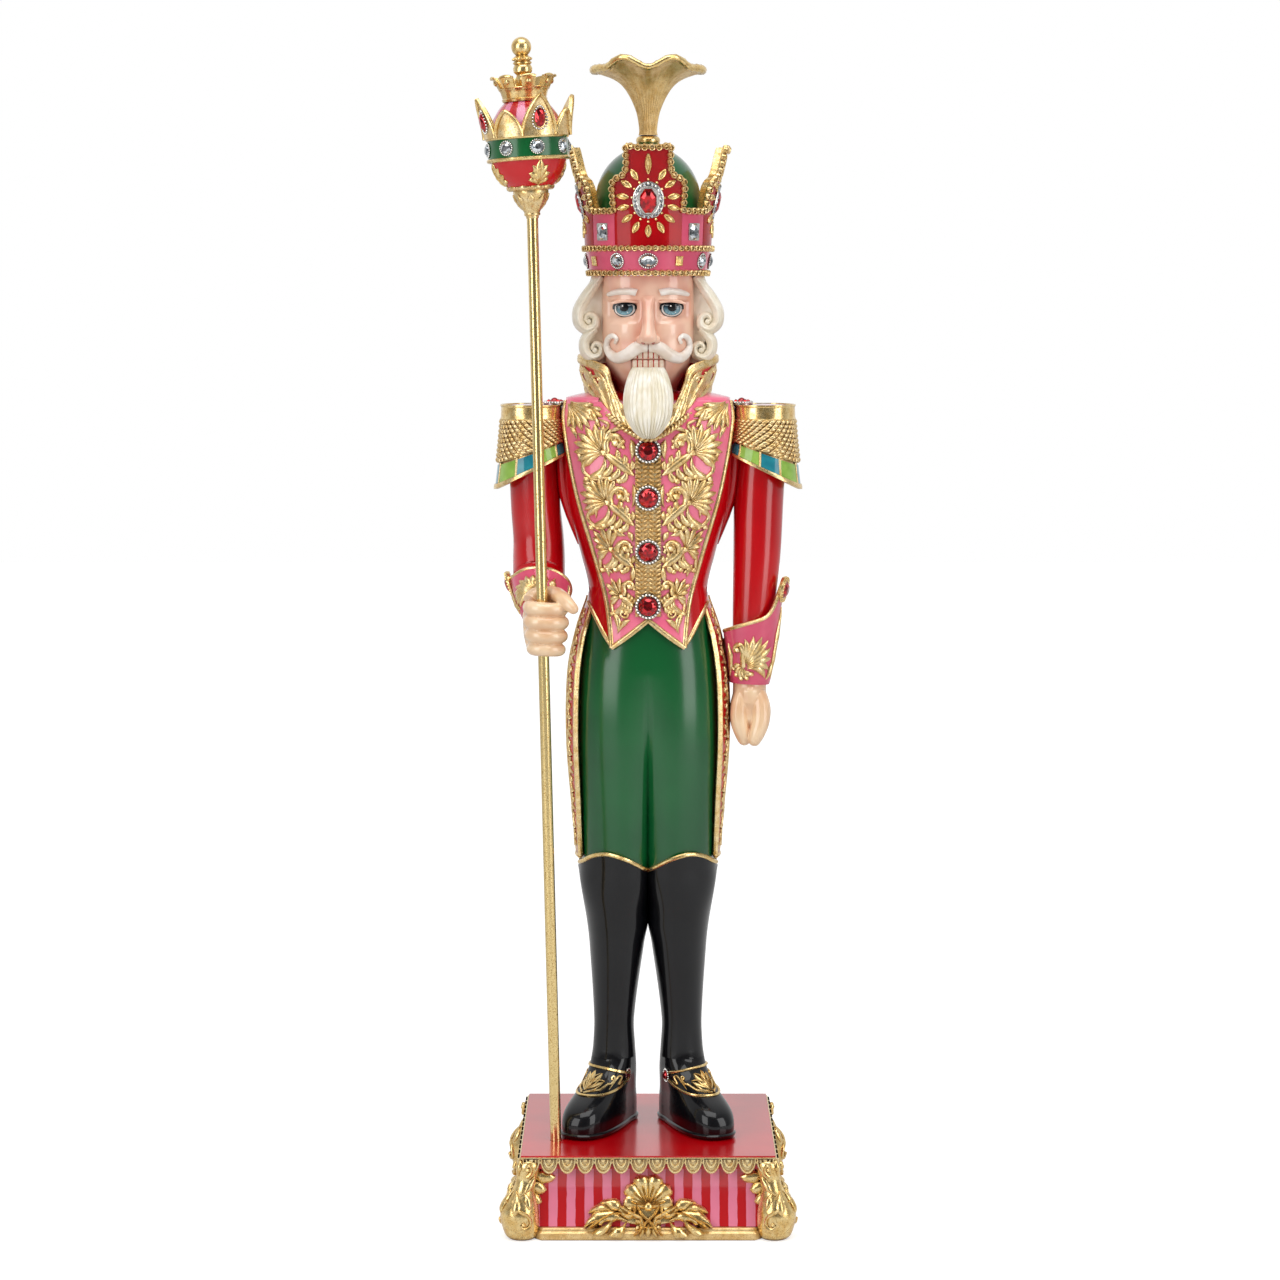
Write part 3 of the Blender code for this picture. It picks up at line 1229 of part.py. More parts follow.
def make_epaulette(name, side, chest_room, sleeve_room):
    """A shoulder board with a stud, over a flared skirt of fringe."""
    x = side * BOARD_X
    board_line = ((BOARD_LOW, 0.0), (BOARD_TOP - BOARD_EDGE, 0.0), (BOARD_TOP, BOARD_EDGE))
    skin(f"epaulette_board_{name}", [
        oval(level, BOARD_HALF - inset, BOARD_DEPTH - inset, BOARD_DEPTH - inset, (x, AXIS_Y), count=24)
        for level, inset in board_line], RED)
    r, h = STUD_RADIUS, STUD_HEIGHT
    stud_profile = ((0, h), (0.53 * r, 0.87 * h), (0.82 * r, 0.47 * h), (r, 0.33 * h), (r, 0), (0, 0))
    stud = turned(f"shoulder_stud_{name}", stud_profile, RUBY, 14)
    stud.location = (x - side * (BOARD_HALF - 1.08 * r), AXIS_Y - 0.7 * r, BOARD_TOP + SEAT)

    rings = []
    for k in range(4):
        share = 1 - k / 3
        grow = SKIRT_SPREAD * share ** 1.2 - 2 * SEAT
        ring = oval(ARM_TOP, BOARD_HALF + grow, BOARD_DEPTH + grow, BOARD_DEPTH + grow, (x, AXIS_Y), count=24)
        for point in ring:
            outward = side * (point.x - x) / (BOARD_HALF + grow)
            point.z -= share * (SKIRT_DROP + SKIRT_SLOPE * outward)
        rings.append(ring)
    skirt = skin(f"epaulette_fringe_{name}", rings, GOLD, capped=False)
    thicken(skirt, SKIRT_WALL)
    cut(skirt, chest_room, sleeve_room)


# Staff

def axis(name, at, lean, parent=None):
    frame = bpy.data.objects.new(name, None)
    frame.location = at
    frame.rotation_euler = (0, -lean, 0)
    frame.parent = parent
    PARTS.objects.link(frame)
    return frame


STAFF_AXIS = axis("staff_axis", (STAFF_X, STAFF_Y, Z_BASE), STAFF_LEAN)


def make_staff():
    sunk = SOCKET_DEPTH - SEAT
    pole = rod("staff_pole", POLE_RADIUS, POLE_LENGTH + sunk, GOLD)
    pole.parent = STAFF_AXIS
    pole.location = (0, 0, (POLE_LENGTH - sunk) / 2)
    head = axis("staff_head_axis", (0, 0, POLE_LENGTH), STAFF_HEAD_LEAN - STAFF_LEAN, STAFF_AXIS)

    r, h = CUP_RADIUS, CUP_HEIGHT
    cup_profile = ((0, h), (0.9 * r, h), (r, 0.93 * h), (0.88 * r, 0.8 * h), (0.5 * r, 0.38 * h),
                   (0.3 * r, 0), (0, 0))
    cup = turned("staff_cup", cup_profile, GOLD, 18)
    cup.location.z = 2 * SEAT
    waist = 2 * SEAT + CUP_HEIGHT + SEAT + ORB_LOW
    orb = turned("staff_orb", orb_profile(), RED, 18)
    orb.location.z = waist

    petals = petal_ring()
    petals.location.z = waist + ORB_BAND_HALF + SEAT
    crownlet_foot = waist + ORB_HIGH + SEAT
    crownlet = make_crownlet()
    crownlet.location.z = crownlet_foot
    finial = turned("staff_finial", spindle_profile(), GOLD, 12)
    finial.location.z = crownlet_foot
    for piece in (cup, orb, petals, crownlet, finial):
        piece.parent = head


def orb_radius(height):
    """The egg's radius at a height from its widest level."""
    pole = 1.17 * ORB_HIGH if height > 0 else 1.23 * ORB_LOW
    return ORB_RADIUS * math.sqrt(1 - (height / pole) ** 2)


BAND_RADIUS = ORB_RADIUS + 2 * SEAT


def orb_profile():
    profile = [(0, ORB_HIGH)]
    for k in range(6):
        height = ORB_HIGH - (ORB_HIGH - ORB_BAND_HALF) * k / 5
        profile.append((orb_radius(height), height))
    profile += [(BAND_RADIUS, ORB_BAND_HALF), (BAND_RADIUS, -ORB_BAND_HALF)]
    for k in range(5):
        height = -ORB_BAND_HALF - (ORB_LOW - ORB_BAND_HALF) * k / 4
        profile.append((orb_radius(height), height))
    profile.append((0, -ORB_LOW))
    return profile


def petal_ring():
    """Four tall pointed petals with four short round ones between, round the top of the orb's band."""
    count = 32
    inner = BAND_RADIUS + PETAL_WALL
    rings = []
    for k in range(4):
        share = k / 3
        ring = []
        for j in range(count):
            turn = 2 * math.pi * j / count
            phase = (turn - FRONT - PETAL_TURN) % (math.pi / 2)
            off = min(phase, math.pi / 2 - phase)
            tall = max(0.0, 1 - (off / 0.50) ** 1.4)
            short = max(0.0, 1 - ((math.pi / 4 - off) / 0.36) ** 2) ** 0.5
            height = PETAL_HEIGHT * max(0.22, tall, 0.62 * short)
            rise = share * height
            radius = inner + PETAL_LEAN * (rise / PETAL_HEIGHT) ** 2
            ring.append(Vector((radius * math.cos(turn), radius * math.sin(turn), rise)))
        rings.append(ring)
    petals = skin("staff_petals", rings, GOLD, capped=False)
    thicken(petals, PETAL_WALL)
    return petals


def make_crownlet():
    """A small crown with square merlons round its lip."""
    foot = orb_radius(ORB_HIGH)
    split = 3
    step = 2 * math.pi / (MERLONS * split)
    columns = [FRONT + step * (k - 1) for k in range(MERLONS * split)]

    def rows_at(turn):
        phase = round((turn - columns[0]) / step - 0.5) % split
        return 2 if phase == 2 else 3

    rows = (0.0, 0.45 * CROWNLET_HEIGHT, 0.70 * CROWNLET_HEIGHT, CROWNLET_HEIGHT)

    def radius_at(rise):
        return foot + CROWNLET_SPREAD * math.sqrt(rise / CROWNLET_HEIGHT)

    wall = crenellate("staff_crownlet", columns, rows, radius_at, rows_at, GOLD)
    thicken(wall, PETAL_WALL)
    return wall


def spindle_profile():
    base = orb_radius(ORB_HIGH) - PETAL_WALL - 5 * SEAT
    h, ball = SPINDLE_HEIGHT, BALL_RADIUS
    middle = h + 0.9 * ball
    profile = [(0, middle + ball)]
    for k in range(1, 7):
        turn = math.pi * k / 7.4
        profile.append((ball * math.sin(turn), middle + ball * math.cos(turn)))
    profile += [(0.40 * ball, h), (0.75 * ball, 0.90 * h), (0.42 * ball, 0.82 * h), (0.62 * ball, 0.66 * h),
                (0.98 * ball, 0.50 * h), (0.60 * ball, 0.34 * h), (0.72 * ball, 0.18 * h),
                (base, 0.10 * h), (base, 0.0), (0, 0.0)]
    return profile


JAW_SLOT = plate("jaw_slot", slot_outline(), 2 * (LEVER_HALF + RUNNING))
upright(JAW_SLOT)
PIN_BORE = rod("pin_bore", PIN_RADIUS + RUNNING, 2 * (PIN_HALF_LENGTH + RUNNING), None, 16)
PIN_BORE.rotation_euler = (0, math.pi / 2, 0)
PIN_BORE.location = PIVOT

make_base()
make_legs()
make_torso()
make_head()
make_crown()
make_arms()
make_staff()
bpy.context.view_layer.update()
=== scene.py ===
"""Looks of a painted king nutcracker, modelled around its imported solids.

Lengths are in millimetres, and a finished piece is scaled to metres. The figure faces -Y, and its right
hand, with the staff, is at -X.
"""
import json
import math

import bmesh
import bpy
from mathutils import Matrix, Vector

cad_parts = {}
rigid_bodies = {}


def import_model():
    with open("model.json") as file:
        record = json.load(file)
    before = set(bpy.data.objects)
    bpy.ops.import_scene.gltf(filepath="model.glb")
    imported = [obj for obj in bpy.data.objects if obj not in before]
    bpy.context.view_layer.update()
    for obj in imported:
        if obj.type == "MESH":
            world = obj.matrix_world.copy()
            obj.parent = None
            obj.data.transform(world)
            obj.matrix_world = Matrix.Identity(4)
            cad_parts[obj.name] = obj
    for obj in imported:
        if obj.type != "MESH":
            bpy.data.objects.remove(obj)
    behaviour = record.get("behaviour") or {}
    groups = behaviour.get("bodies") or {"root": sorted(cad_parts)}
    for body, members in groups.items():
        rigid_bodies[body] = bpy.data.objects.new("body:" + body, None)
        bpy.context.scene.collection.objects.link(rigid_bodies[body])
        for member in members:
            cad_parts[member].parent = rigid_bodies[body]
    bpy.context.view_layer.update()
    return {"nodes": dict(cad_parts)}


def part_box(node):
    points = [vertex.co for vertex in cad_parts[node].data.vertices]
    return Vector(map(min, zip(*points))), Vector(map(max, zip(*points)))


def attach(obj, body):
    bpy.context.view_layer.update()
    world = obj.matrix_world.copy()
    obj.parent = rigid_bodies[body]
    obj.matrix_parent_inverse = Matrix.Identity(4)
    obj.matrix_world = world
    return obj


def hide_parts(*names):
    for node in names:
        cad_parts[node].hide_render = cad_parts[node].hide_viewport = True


for old in list(bpy.data.objects):
    bpy.data.objects.remove(old)
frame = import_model()
MM = 0.001
SIDES = {"right": -1, "left": 1}
FRONT = -math.pi / 2


# Levels of the figure, read from the frame

def span(node):
    """A node's lowest and highest corners, in millimetres."""
    return tuple(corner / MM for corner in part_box(node))


SEAT = 0.3
Z_BASE = span("base_slab")[1].z
Z_ANKLE, Z_KNEE = (corner.z for corner in span("boot_left"))
Z_WAIST = span("coat")[0].z - SEAT
Z_SHOULDER = span("coat")[1].z
Z_CROWN = span("crown_rim")[0].z - SEAT
Z_BAND = span("crown_rim")[1].z
AXIS_Y = sum(corner.y for corner in span("crown_rim")) / 2
HEAD_HEIGHT = Z_CROWN - Z_SHOULDER


# Curves and surfaces

def mix(a, b, share):
    return a + (b - a) * share


def evenly(low, high, count):
    """Numbers from low to high in equal steps."""
    return [mix(low, high, k / count) for k in range(count + 1)]


def smooth(share):
    share = min(1.0, max(0.0, share))
    return share * share * (3 - 2 * share)


def along(stations, level):
    """The values at a level, on a smooth curve through stations that each start with their level."""
    levels = [station[0] for station in stations]
    level = min(max(level, levels[0]), levels[-1])
    last = len(stations) - 1
    low = max(k for k in range(last) if levels[k] <= level)

    def slopes(k):
        before, after = max(k - 1, 0), min(k + 1, last)
        reach = levels[after] - levels[before]
        return [(b - a) / reach for a, b in zip(stations[before], stations[after])]

    reach = levels[low + 1] - levels[low]
    t = (level - levels[low]) / reach
    blend = (2 * t**3 - 3 * t**2 + 1, t**3 - 2 * t**2 + t, 3 * t**2 - 2 * t**3, t**3 - t**2)
    return [blend[0] * a + blend[1] * reach * da + blend[2] * b + blend[3] * reach * db
            for a, da, b, db in zip(stations[low], slopes(low), stations[low + 1], slopes(low + 1))][1:]


def spline(points, count=6):
    """Points on a smooth curve through the given ones, which may carry further values."""
    line = []
    last = len(points) - 1
    for k in range(last):
        a, b, c, d = (points[min(max(k + step, 0), last)] for step in (-1, 0, 1, 2))
        for step in range(count):
            t = step / count
            line.append(tuple(
                q + 0.5 * t * (r - p + t * (2 * p - 5 * q + 4 * r - s + t * (3 * q - p - 3 * r + s)))
                for p, q, r, s in zip(a, b, c, d)))
    return line + [tuple(points[-1])]


def oval_point(turn, level, half, front, back, power, centre=(0.0, AXIS_Y)):
    """A point on a squared oval with its own front and back depths."""
    across, forth = math.cos(turn), math.sin(turn)
    depth = front if forth < 0 else back
    return Vector((centre[0] + half * math.copysign(abs(across) ** (2 / power), across),
                   centre[1] + depth * math.copysign(abs(forth) ** (2 / power), forth), level))


def turns(count, start=0.0, sweep=2 * math.pi):
    return [start + sweep * k / count for k in range(count)]


def skin_of(place, step=0.05):
    """A surface from a function of two numbers: gives each point with its outward normal."""
    def spot(u, v):
        across = place(u + step, v) - place(u - step, v)
        up = place(u, v + step) - place(u, v - step)
        return place(u, v), across.cross(up).normalized()
    return spot


def plane_of(origin, across, up):
    """A flat surface through a point, with its own across and up directions."""
    origin, across, up = Vector(origin), Vector(across).normalized(), Vector(up).normalized()
    normal = across.cross(up)
    return lambda u, v: (origin + across * u + up * v, normal)


def square_to(normal, up=(0, 0, 1)):
    """The across and up directions that lie square to a normal."""
    across = Vector(up).cross(normal).normalized()
    return across, normal.cross(across)


def spot_on(surface, v):
    """A spot on a surface's middle line, with its normal and its across and up directions."""
    spot, normal = surface(0, v)
    up = (surface(0, v + 1)[0] - spot).normalized()
    return spot, normal, up.cross(normal).normalized(), up


def oval_about(spot, across, up, half, tall, count):
    """Points on an oval about a spot, in the plane of two directions."""
    return [spot + across * (half * math.cos(turn)) + up * (tall * math.sin(turn)) for turn in turns(count)]


def outward(surface, side):
    """A surface whose normals are turned about where its side is -1."""
    def spot(u, v):
        point, normal = surface(u, v)
        return point, normal * side
    return spot


def mirrored(surface):
    """The same surface on the other side of the figure's middle plane."""
    def spot(u, v):
        point, normal = surface(u, v)
        return Vector((-point.x, point.y, point.z)), Vector((-normal.x, normal.y, normal.z))
    return spot


def ball_shape(divisions):
    shape = bmesh.new()
    bmesh.ops.create_icosphere(shape, subdivisions=divisions, radius=1.0)
    points = [vert.co.copy() for vert in shape.verts]
    faces = [[vert.index for vert in face.verts] for face in shape.faces]
    shape.free()
    return points, faces


BALL, FINE_BALL = ball_shape(1), ball_shape(2)
STROKE_TURNS = [math.radians(angle) for angle in (-38, 12, 50, 90, 130, 168, 218)]


class Form:
    """The points and faces of one piece while it is being made."""

    def __init__(self):
        self.points, self.faces = [], []

    def add(self, points, faces):
        start = len(self.points)
        self.points += points
        self.faces += [[start + k for k in face] for face in faces]

    def loft(self, rings, closed=True, capped=True, looped=False):
        """A skin through rings of points; closed rings, capped ends and a looped run are options."""
        count, rows = len(rings[0]), len(rings)
        faces = []
        for row in range(rows if looped else rows - 1):
            here, there = row * count, (row + 1) % rows * count
            for k in range(count if closed else count - 1):
                after = (k + 1) % count
                faces.append((here + k, here + after, there + after, there + k))
        if capped and not looped:
            faces += [tuple(range(count))[::-1], tuple(range((rows - 1) * count, rows * count))]
        self.add([point for ring in rings for point in ring], faces)
        return self

    def shell(self, place, us, vs, outer, inner):
        """A closed shell between two lifts of a surface place(u, v, lift)."""
        rows, count = len(vs), len(us)
        points = [Vector(place(u, v, lift)) for lift in (outer, inner) for v in vs for u in us]
        back = rows * count
        faces = []
        for row in range(rows - 1):
            for k in range(count - 1):
                quad = (row * count + k, row * count + k + 1, (row + 1) * count + k + 1,
                        (row + 1) * count + k)
                faces += [quad, tuple(back + corner for corner in reversed(quad))]
        border = ([k for k in range(count)] + [row * count + count - 1 for row in range(1, rows)]
                  + [(rows - 1) * count + k for k in range(count - 2, -1, -1)]
                  + [row * count for row in range(rows - 2, 0, -1)])
        for k, corner in enumerate(border):
            after = border[(k + 1) % len(border)]
            faces.append((corner, back + corner, back + after, after))
        self.add(points, faces)
        return self

    def tube(self, path, radii, sides=10, thick=1.0, up=(0, 0, 1), looped=False):
        """A rod along a path with a radius at each point; thick stretches it along up."""
        path = [Vector(point) for point in path]
        last = len(path) - 1
        if isinstance(radii, (int, float)):
            radii = [radii] * len(path)
        rings, guide = [], Vector(up)
        for k, (point, radius) in enumerate(zip(path, radii)):
            before, after = (k - 1, (k + 1) % (last + 1)) if looped else (max(k - 1, 0), min(k + 1, last))
            ahead = (path[after] - path[before]).normalized()
            side = ahead.cross(guide)
            side = side.normalized() if side.length > 1e-4 else ahead.orthogonal().normalized()
            rise = side.cross(ahead)
            guide = guide if thick != 1.0 else rise
            rings.append([point + radius * (side * math.cos(turn) + thick * rise * math.sin(turn))
                          for turn in turns(sides)])
        return self.loft(rings, looped=looped)

    def ridge(self, surface, path, height):
        """A rounded stroke laid on a surface; each path point is u, v and half width."""
        spots = [surface(u, v) for u, v, _ in path]
        widest = max(half for _, _, half in path)
        last = len(path) - 1
        rings = []
        for k, ((point, normal), (_, _, half)) in enumerate(zip(spots, path)):
            ahead = spots[min(k + 1, last)][0] - spots[max(k - 1, 0)][0]
            side = ahead.cross(normal).normalized()
            rise = height * math.sqrt(max(half / widest, 0.05))
            rings.append([point + side * (half * math.cos(turn)) + normal * (rise * math.sin(turn))
                          for turn in STROKE_TURNS])
        return self.loft(rings)

    def stroke(self, surface, points, half, height, count=5, taper=True):
        """An evenly wide stroke through points of a surface, drawn to fine ends where it tapers."""
        line = spline([tuple(point[:2]) for point in points], count)
        last = len(line) - 1
        ends = 0.3 if taper else 0.9
        path = [(u, v, half * (ends + (1 - ends) * min(1, 4 * k / last, 4 * (last - k) / last)))
                for k, (u, v) in enumerate(line)]
        return self.ridge(surface, path, height)

    def leaf(self, surface, base, tip, half, height, bend=0.0, lobes=0, steps=9, fullest=0.6):
        """A pointed leaf from base to tip, bowed to its left by a share of its length, with lobed edges."""
        (u, v), (u_tip, v_tip) = base, tip
        path = []
        for k in range(steps + 1):
            t = k / steps
            bow = bend * 4 * t * (1 - t)
            swell = (math.sin(math.pi * min(1, t / fullest) / 2) if t < fullest
                     else math.cos(math.pi / 2 * (t - fullest) / (1 - fullest)) ** 0.8)
            notch = 1 - 0.32 * abs(math.sin(math.pi * lobes * t)) if lobes else 1
            path.append((mix(u, u_tip, t) - bow * (v_tip - v), mix(v, v_tip, t) + bow * (u_tip - u),
                         max(half * swell * notch, 0.1 * half)))
        return self.ridge(surface, path, height)

    def leaves(self, surface, hand, rows, **shape):
        """Leaves from rows of base, tip, half width, height, bend and lobes, mirrored where hand is -1."""
        for (u, v), (u_tip, v_tip), half, height, bend, lobes in rows:
            self.leaf(surface, (hand * u, v), (hand * u_tip, v_tip), half, height, hand * bend,
                      lobes, **shape)

    def volute(self, surface, centre, radius, start, sweep, half, height, inner=0.2, lead=()):
        """A spiral stroke that winds in to a round eye, after an optional lead-in."""
        steps = max(10, int(abs(sweep) * 4))
        path = [(u, v, half) for u, v in lead]
        for k in range(steps + 1):
            t = k / steps
            reach = radius * mix(1, inner, t ** 0.8)
            turn = start + sweep * t
            path.append((centre[0] + reach * math.cos(turn), centre[1] + reach * math.sin(turn),
                         half * mix(1, 0.75, t)))
        self.ridge(surface, path, height)
        point, normal = surface(*centre)
        return self.bead(point + normal * 0.3 * height, 1.25 * half)

    def bead(self, centre, radius, shape=BALL):
        points, faces = shape
        centre = Vector(centre)
        self.add([centre + point * radius for point in points], faces)
        return self

    def ring_of_beads(self, spot, across, up, half, tall, radius, count):
        """Beads on an oval about a spot, in the plane of two directions."""
        for point in oval_about(spot, across, up, half, tall, count):
            self.bead(point, radius)
        return self

    def gem(self, spot, across, up, half, tall, height, sides=10, square=1.0):
        """A cut stone: a flat table above rings of facets."""
        normal = across.cross(up)
        rings = []
        for share, rise, shift in ((1.0, -0.25, 0), (1.0, 0.18, 0), (0.80, 0.62, 0.5), (0.50, 1.0, 0)):
            ring = []
            for k in range(sides):
                turn = 2 * math.pi * (k + 0.5 + (shift if square == 1.0 else 0)) / sides
                x, y = math.cos(turn), math.sin(turn)
                if square != 1.0:
                    reach = max(abs(x), abs(y))
                    x, y = x * mix(1, 1 / reach, square - 1), y * mix(1, 1 / reach, square - 1)
                ring.append(spot + across * (half * share * x) + up * (tall * share * y)
                            + normal * (rise * height))
            rings.append(ring)
        return self.loft(rings)

    def piece(self, name, finish, body="figure", nodes=(), slot=None, crease=40):
        """Make the mesh, let it ride on its body, and hide the solids that it stands for."""
        mesh = bpy.data.meshes.new(name)
        mesh.from_pydata([point * MM for point in self.points], [], self.faces)
        shape = bmesh.new()
        shape.from_mesh(mesh)
        bmesh.ops.recalc_face_normals(shape, faces=shape.faces)
        shape.to_mesh(mesh)
        shape.free()
        if crease:
            mesh.shade_smooth()
            mesh.set_sharp_from_angle(angle=math.radians(crease))
        mesh.materials.append(finish)
        made = bpy.data.objects.new(name, mesh)
        bpy.context.scene.collection.objects.link(made)
        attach(made, body)
        if nodes:
            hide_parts(*nodes)
        return made


def turned(profile, centre=(0.0, AXIS_Y), count=48):
    """Rings of a turned shape from radius and level pairs."""
    return [[Vector((centre[0] + radius * math.cos(turn), centre[1] + radius * math.sin(turn), level))
             for turn in turns(count)] for radius, level in profile]


def remade(piece, cell, rounds=4):
    """Fuse the overlapping forms of a piece into one smooth skin."""
    remesh = piece.modifiers.new("fuse", "REMESH")
    remesh.mode = "VOXEL"
    remesh.voxel_size = cell * MM
    soften = piece.modifiers.new("soften", "SMOOTH")
    soften.iterations = rounds
    settle(piece)
    piece.data.shade_smooth()
    return piece


def carved(piece, low, high):
    """Cut a box out of a piece."""
    bpy.ops.mesh.primitive_cube_add(size=1.0)
    low, high = Vector(low) * MM, Vector(high) * MM
    size = (high - low).to_4d()
    return cut_away(piece, bpy.context.object, Matrix.Translation((low + high) / 2) @ Matrix.Diagonal(size))


def bored(piece, middle, axis, radius, length):
    """Drill a round hole through a piece."""
    bpy.ops.mesh.primitive_cylinder_add(vertices=32, radius=radius * MM, depth=length * MM)
    turn = axis.to_track_quat("Z", "Y").to_matrix().to_4x4()
    return cut_away(piece, bpy.context.object, Matrix.Translation(middle * MM) @ turn)


def cut_away(piece, cutter, place):
    cutter.data.transform(place)
    cut = piece.modifiers.new("cut", "BOOLEAN")
    cut.operation = "DIFFERENCE"
    cut.object = cutter
    settle(piece)
    bpy.data.objects.remove(cutter)
    piece.data.set_sharp_from_angle(angle=math.radians(40))
    return piece


def show_solid(node, finish):
    """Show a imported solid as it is, in a finish."""
    solid = frame["nodes"][node]
    solid.data.materials.clear()
    solid.data.materials.append(finish)


def settle(piece):
    """Apply a piece's modifiers to its mesh."""
    bpy.context.view_layer.update()
    shaped = bpy.data.meshes.new_from_object(piece.evaluated_get(bpy.context.evaluated_depsgraph_get()))
    piece.modifiers.clear()
    piece.data = shaped


# Finishes

def srgb(red, green, blue):
    """A colour as a screen shows it, 0 to 255, made linear."""
    return tuple((c / 255 / 12.92 if c < 11 else ((c / 255 + 0.055) / 1.055) ** 2.4)
                 for c in (red, green, blue)) + (1.0,)


class Finish:
    """A procedural material while its nodes are wired up."""

    def __init__(self, name, **values):
        self.material = bpy.data.materials.new(name)
        self.material.use_nodes = True
        self.tree = self.material.node_tree
        self.shader = self.tree.nodes["Principled BSDF"]
        for key, value in values.items():
            self.shader.inputs[key.replace("_", " ").title().replace("Ior", "IOR")].default_value = value
        self.place = self.add("ShaderNodeTexCoord").outputs["Object"]

    def add(self, kind, inputs=(), **settings):
        node = self.tree.nodes.new(kind)
        for key, value in settings.items():
            setattr(node, key, value)
        for key, value in dict(inputs).items():
            self.plug(node.inputs[key], value)
        return node

    def plug(self, socket, value):
        if isinstance(value, bpy.types.NodeSocket):
            self.tree.links.new(value, socket)
        else:
            socket.default_value = value

    def noise(self, size, detail=3.0, stretch=(1, 1, 1)):
        """Cloudy grey with features of a size in millimetres."""
        scaled = self.add("ShaderNodeMapping", {"Vector": self.place, "Scale": stretch})
        return self.add("ShaderNodeTexNoise", {"Vector": scaled.outputs[0], "Scale": 1 / (size * MM),
                                               "Detail": detail}).outputs["Fac"]

    def math(self, operation, a, b=0.5, c=0.5):
        return self.add("ShaderNodeMath", {0: a, 1: b, 2: c}, operation=operation).outputs[0]

    def fade(self, value, low, high, start=0.0, end=1.0):
        return self.add("ShaderNodeMapRange", {"Value": value, "From Min": low, "From Max": high,
                                               "To Min": start, "To Max": end}).outputs[0]

    def blend(self, share, first, second, kind="MIX"):
        return self.add("ShaderNodeMixRGB", {"Fac": share, "Color1": first, "Color2": second},
                        blend_type=kind).outputs[0]

    def bump(self, height, strength, distance):
        """Relief from a grey value, its depth in millimetres."""
        node = self.add("ShaderNodeBump",
                        {"Height": height, "Strength": strength, "Distance": distance * MM})
        self.plug(self.shader.inputs["Normal"], node.outputs[0])

    def hollow(self, reach, samples=4):
        """Grey that darkens in hollows narrower than a reach in millimetres, and next to other parts: the
        mask for painted shade.
        """
        return self.add("ShaderNodeAmbientOcclusion", {"Distance": reach * MM},
                        samples=samples).outputs["AO"]

    def paint(self, colour):
        self.plug(self.shader.inputs["Base Color"], colour)

    def gloss(self, roughness):
        self.plug(self.shader.inputs["Roughness"], roughness)


def gold_leaf(name, pale, deep, shade, rough=(0.24, 0.42), grain=1.2, relief=0.16, metal=0.92):
    """Rubbed gold paint: pale on the high places, brown with painted shade in hollows and next to other
    parts.
    """
    finish = Finish(name, metallic=metal, coat_weight=0.25, coat_roughness=0.15)
    cloud = finish.noise(5.0, 4.0)
    fine = finish.noise(grain, 3.0)
    rubbed = finish.blend(finish.fade(cloud, 0.36, 0.66), srgb(*deep), srgb(*pale))
    rubbed = finish.blend(finish.fade(fine, 0.52, 0.68, 0.0, 0.45), rubbed, srgb(*shade))
    # Painted shade: ambient occlusion blends in the brown shade colour in hollows and next to other parts
    hollow_shade = finish.fade(finish.hollow(3.0), 0.18, 0.80)
    finish.paint(finish.blend(hollow_shade, srgb(*shade), rubbed))
    finish.gloss(finish.fade(fine, 0.35, 0.65, *rough))
    finish.bump(fine, 0.55, relief)
    return finish.material


def lacquer(name, colour, shade, rough=0.30, coat=0.03, cloud=26.0, peel=0.05, weight=1.0):
    """Glossy paint under clear varnish, a little uneven in depth."""
    finish = Finish(name, coat_weight=weight, coat_roughness=coat, roughness=rough, specular_ior_level=0.12)
    depth = finish.fade(finish.noise(cloud, 2.0), 0.3, 0.72)
    finish.paint(finish.blend(depth, srgb(*shade), srgb(*colour)))
    finish.bump(finish.noise(6.0, 1.0), 0.25, peel)
    return finish.material


def stripe_colour(finish, coordinate, pitch, first, second):
    """Two hand-painted colours that change over along a coordinate."""
    wobble = finish.math("MULTIPLY_ADD", finish.noise(9.0, 1.0), 1.1 * MM, coordinate)
    share = finish.math("FRACT", finish.math("DIVIDE", wobble, pitch * MM))
    edge = finish.math("ABSOLUTE", finish.math("SUBTRACT", share, 0.25))
    return finish.blend(finish.fade(edge, 0.24, 0.26), srgb(*first), srgb(*second))


STRIPE_PITCH = 13.86


def base_stripes():
    """Red and pink upright stripes, counted along whichever way a face runs."""
    finish = Finish("striped_lacquer", coat_weight=1.0, coat_roughness=0.05, roughness=0.32)
    x, y, _ = finish.add("ShaderNodeSeparateXYZ", {0: finish.place}).outputs
    facing = finish.add("ShaderNodeSeparateXYZ",
                        {0: finish.add("ShaderNodeTexCoord").outputs["Normal"]}).outputs
    sideways = finish.math("GREATER_THAN", finish.math("ABSOLUTE", facing[0]),
                           finish.math("ABSOLUTE", facing[1]))
    run = finish.add("ShaderNodeMix", {0: sideways, 2: x, 3: y}).outputs[0]
    finish.paint(stripe_colour(finish, run, STRIPE_PITCH, (196, 4, 16), (238, 132, 160)))
    finish.bump(finish.noise(7.0, 1.0), 0.25, 0.06)
    return finish.material


def orb_stripes():
    """Stripes that run up a dome, counted round its axis."""
    finish = Finish("striped_dome", coat_weight=1.0, coat_roughness=0.04, roughness=0.30)
    x, y, z = finish.add("ShaderNodeSeparateXYZ", {0: finish.place}).outputs
    across = finish.math("SUBTRACT", x, finish.math("MULTIPLY_ADD", z, STAFF_HEAD_SLOPE, STAFF_HEAD_START))
    forth = finish.math("SUBTRACT", y, STAFF_Y * MM)
    turn = finish.math("MULTIPLY", finish.math("ARCTAN2", across, forth), MM * STRIPE_PITCH * 5.5 / math.pi)
    finish.paint(stripe_colour(finish, turn, STRIPE_PITCH, (196, 8, 26), (232, 132, 168)))
    return finish.material


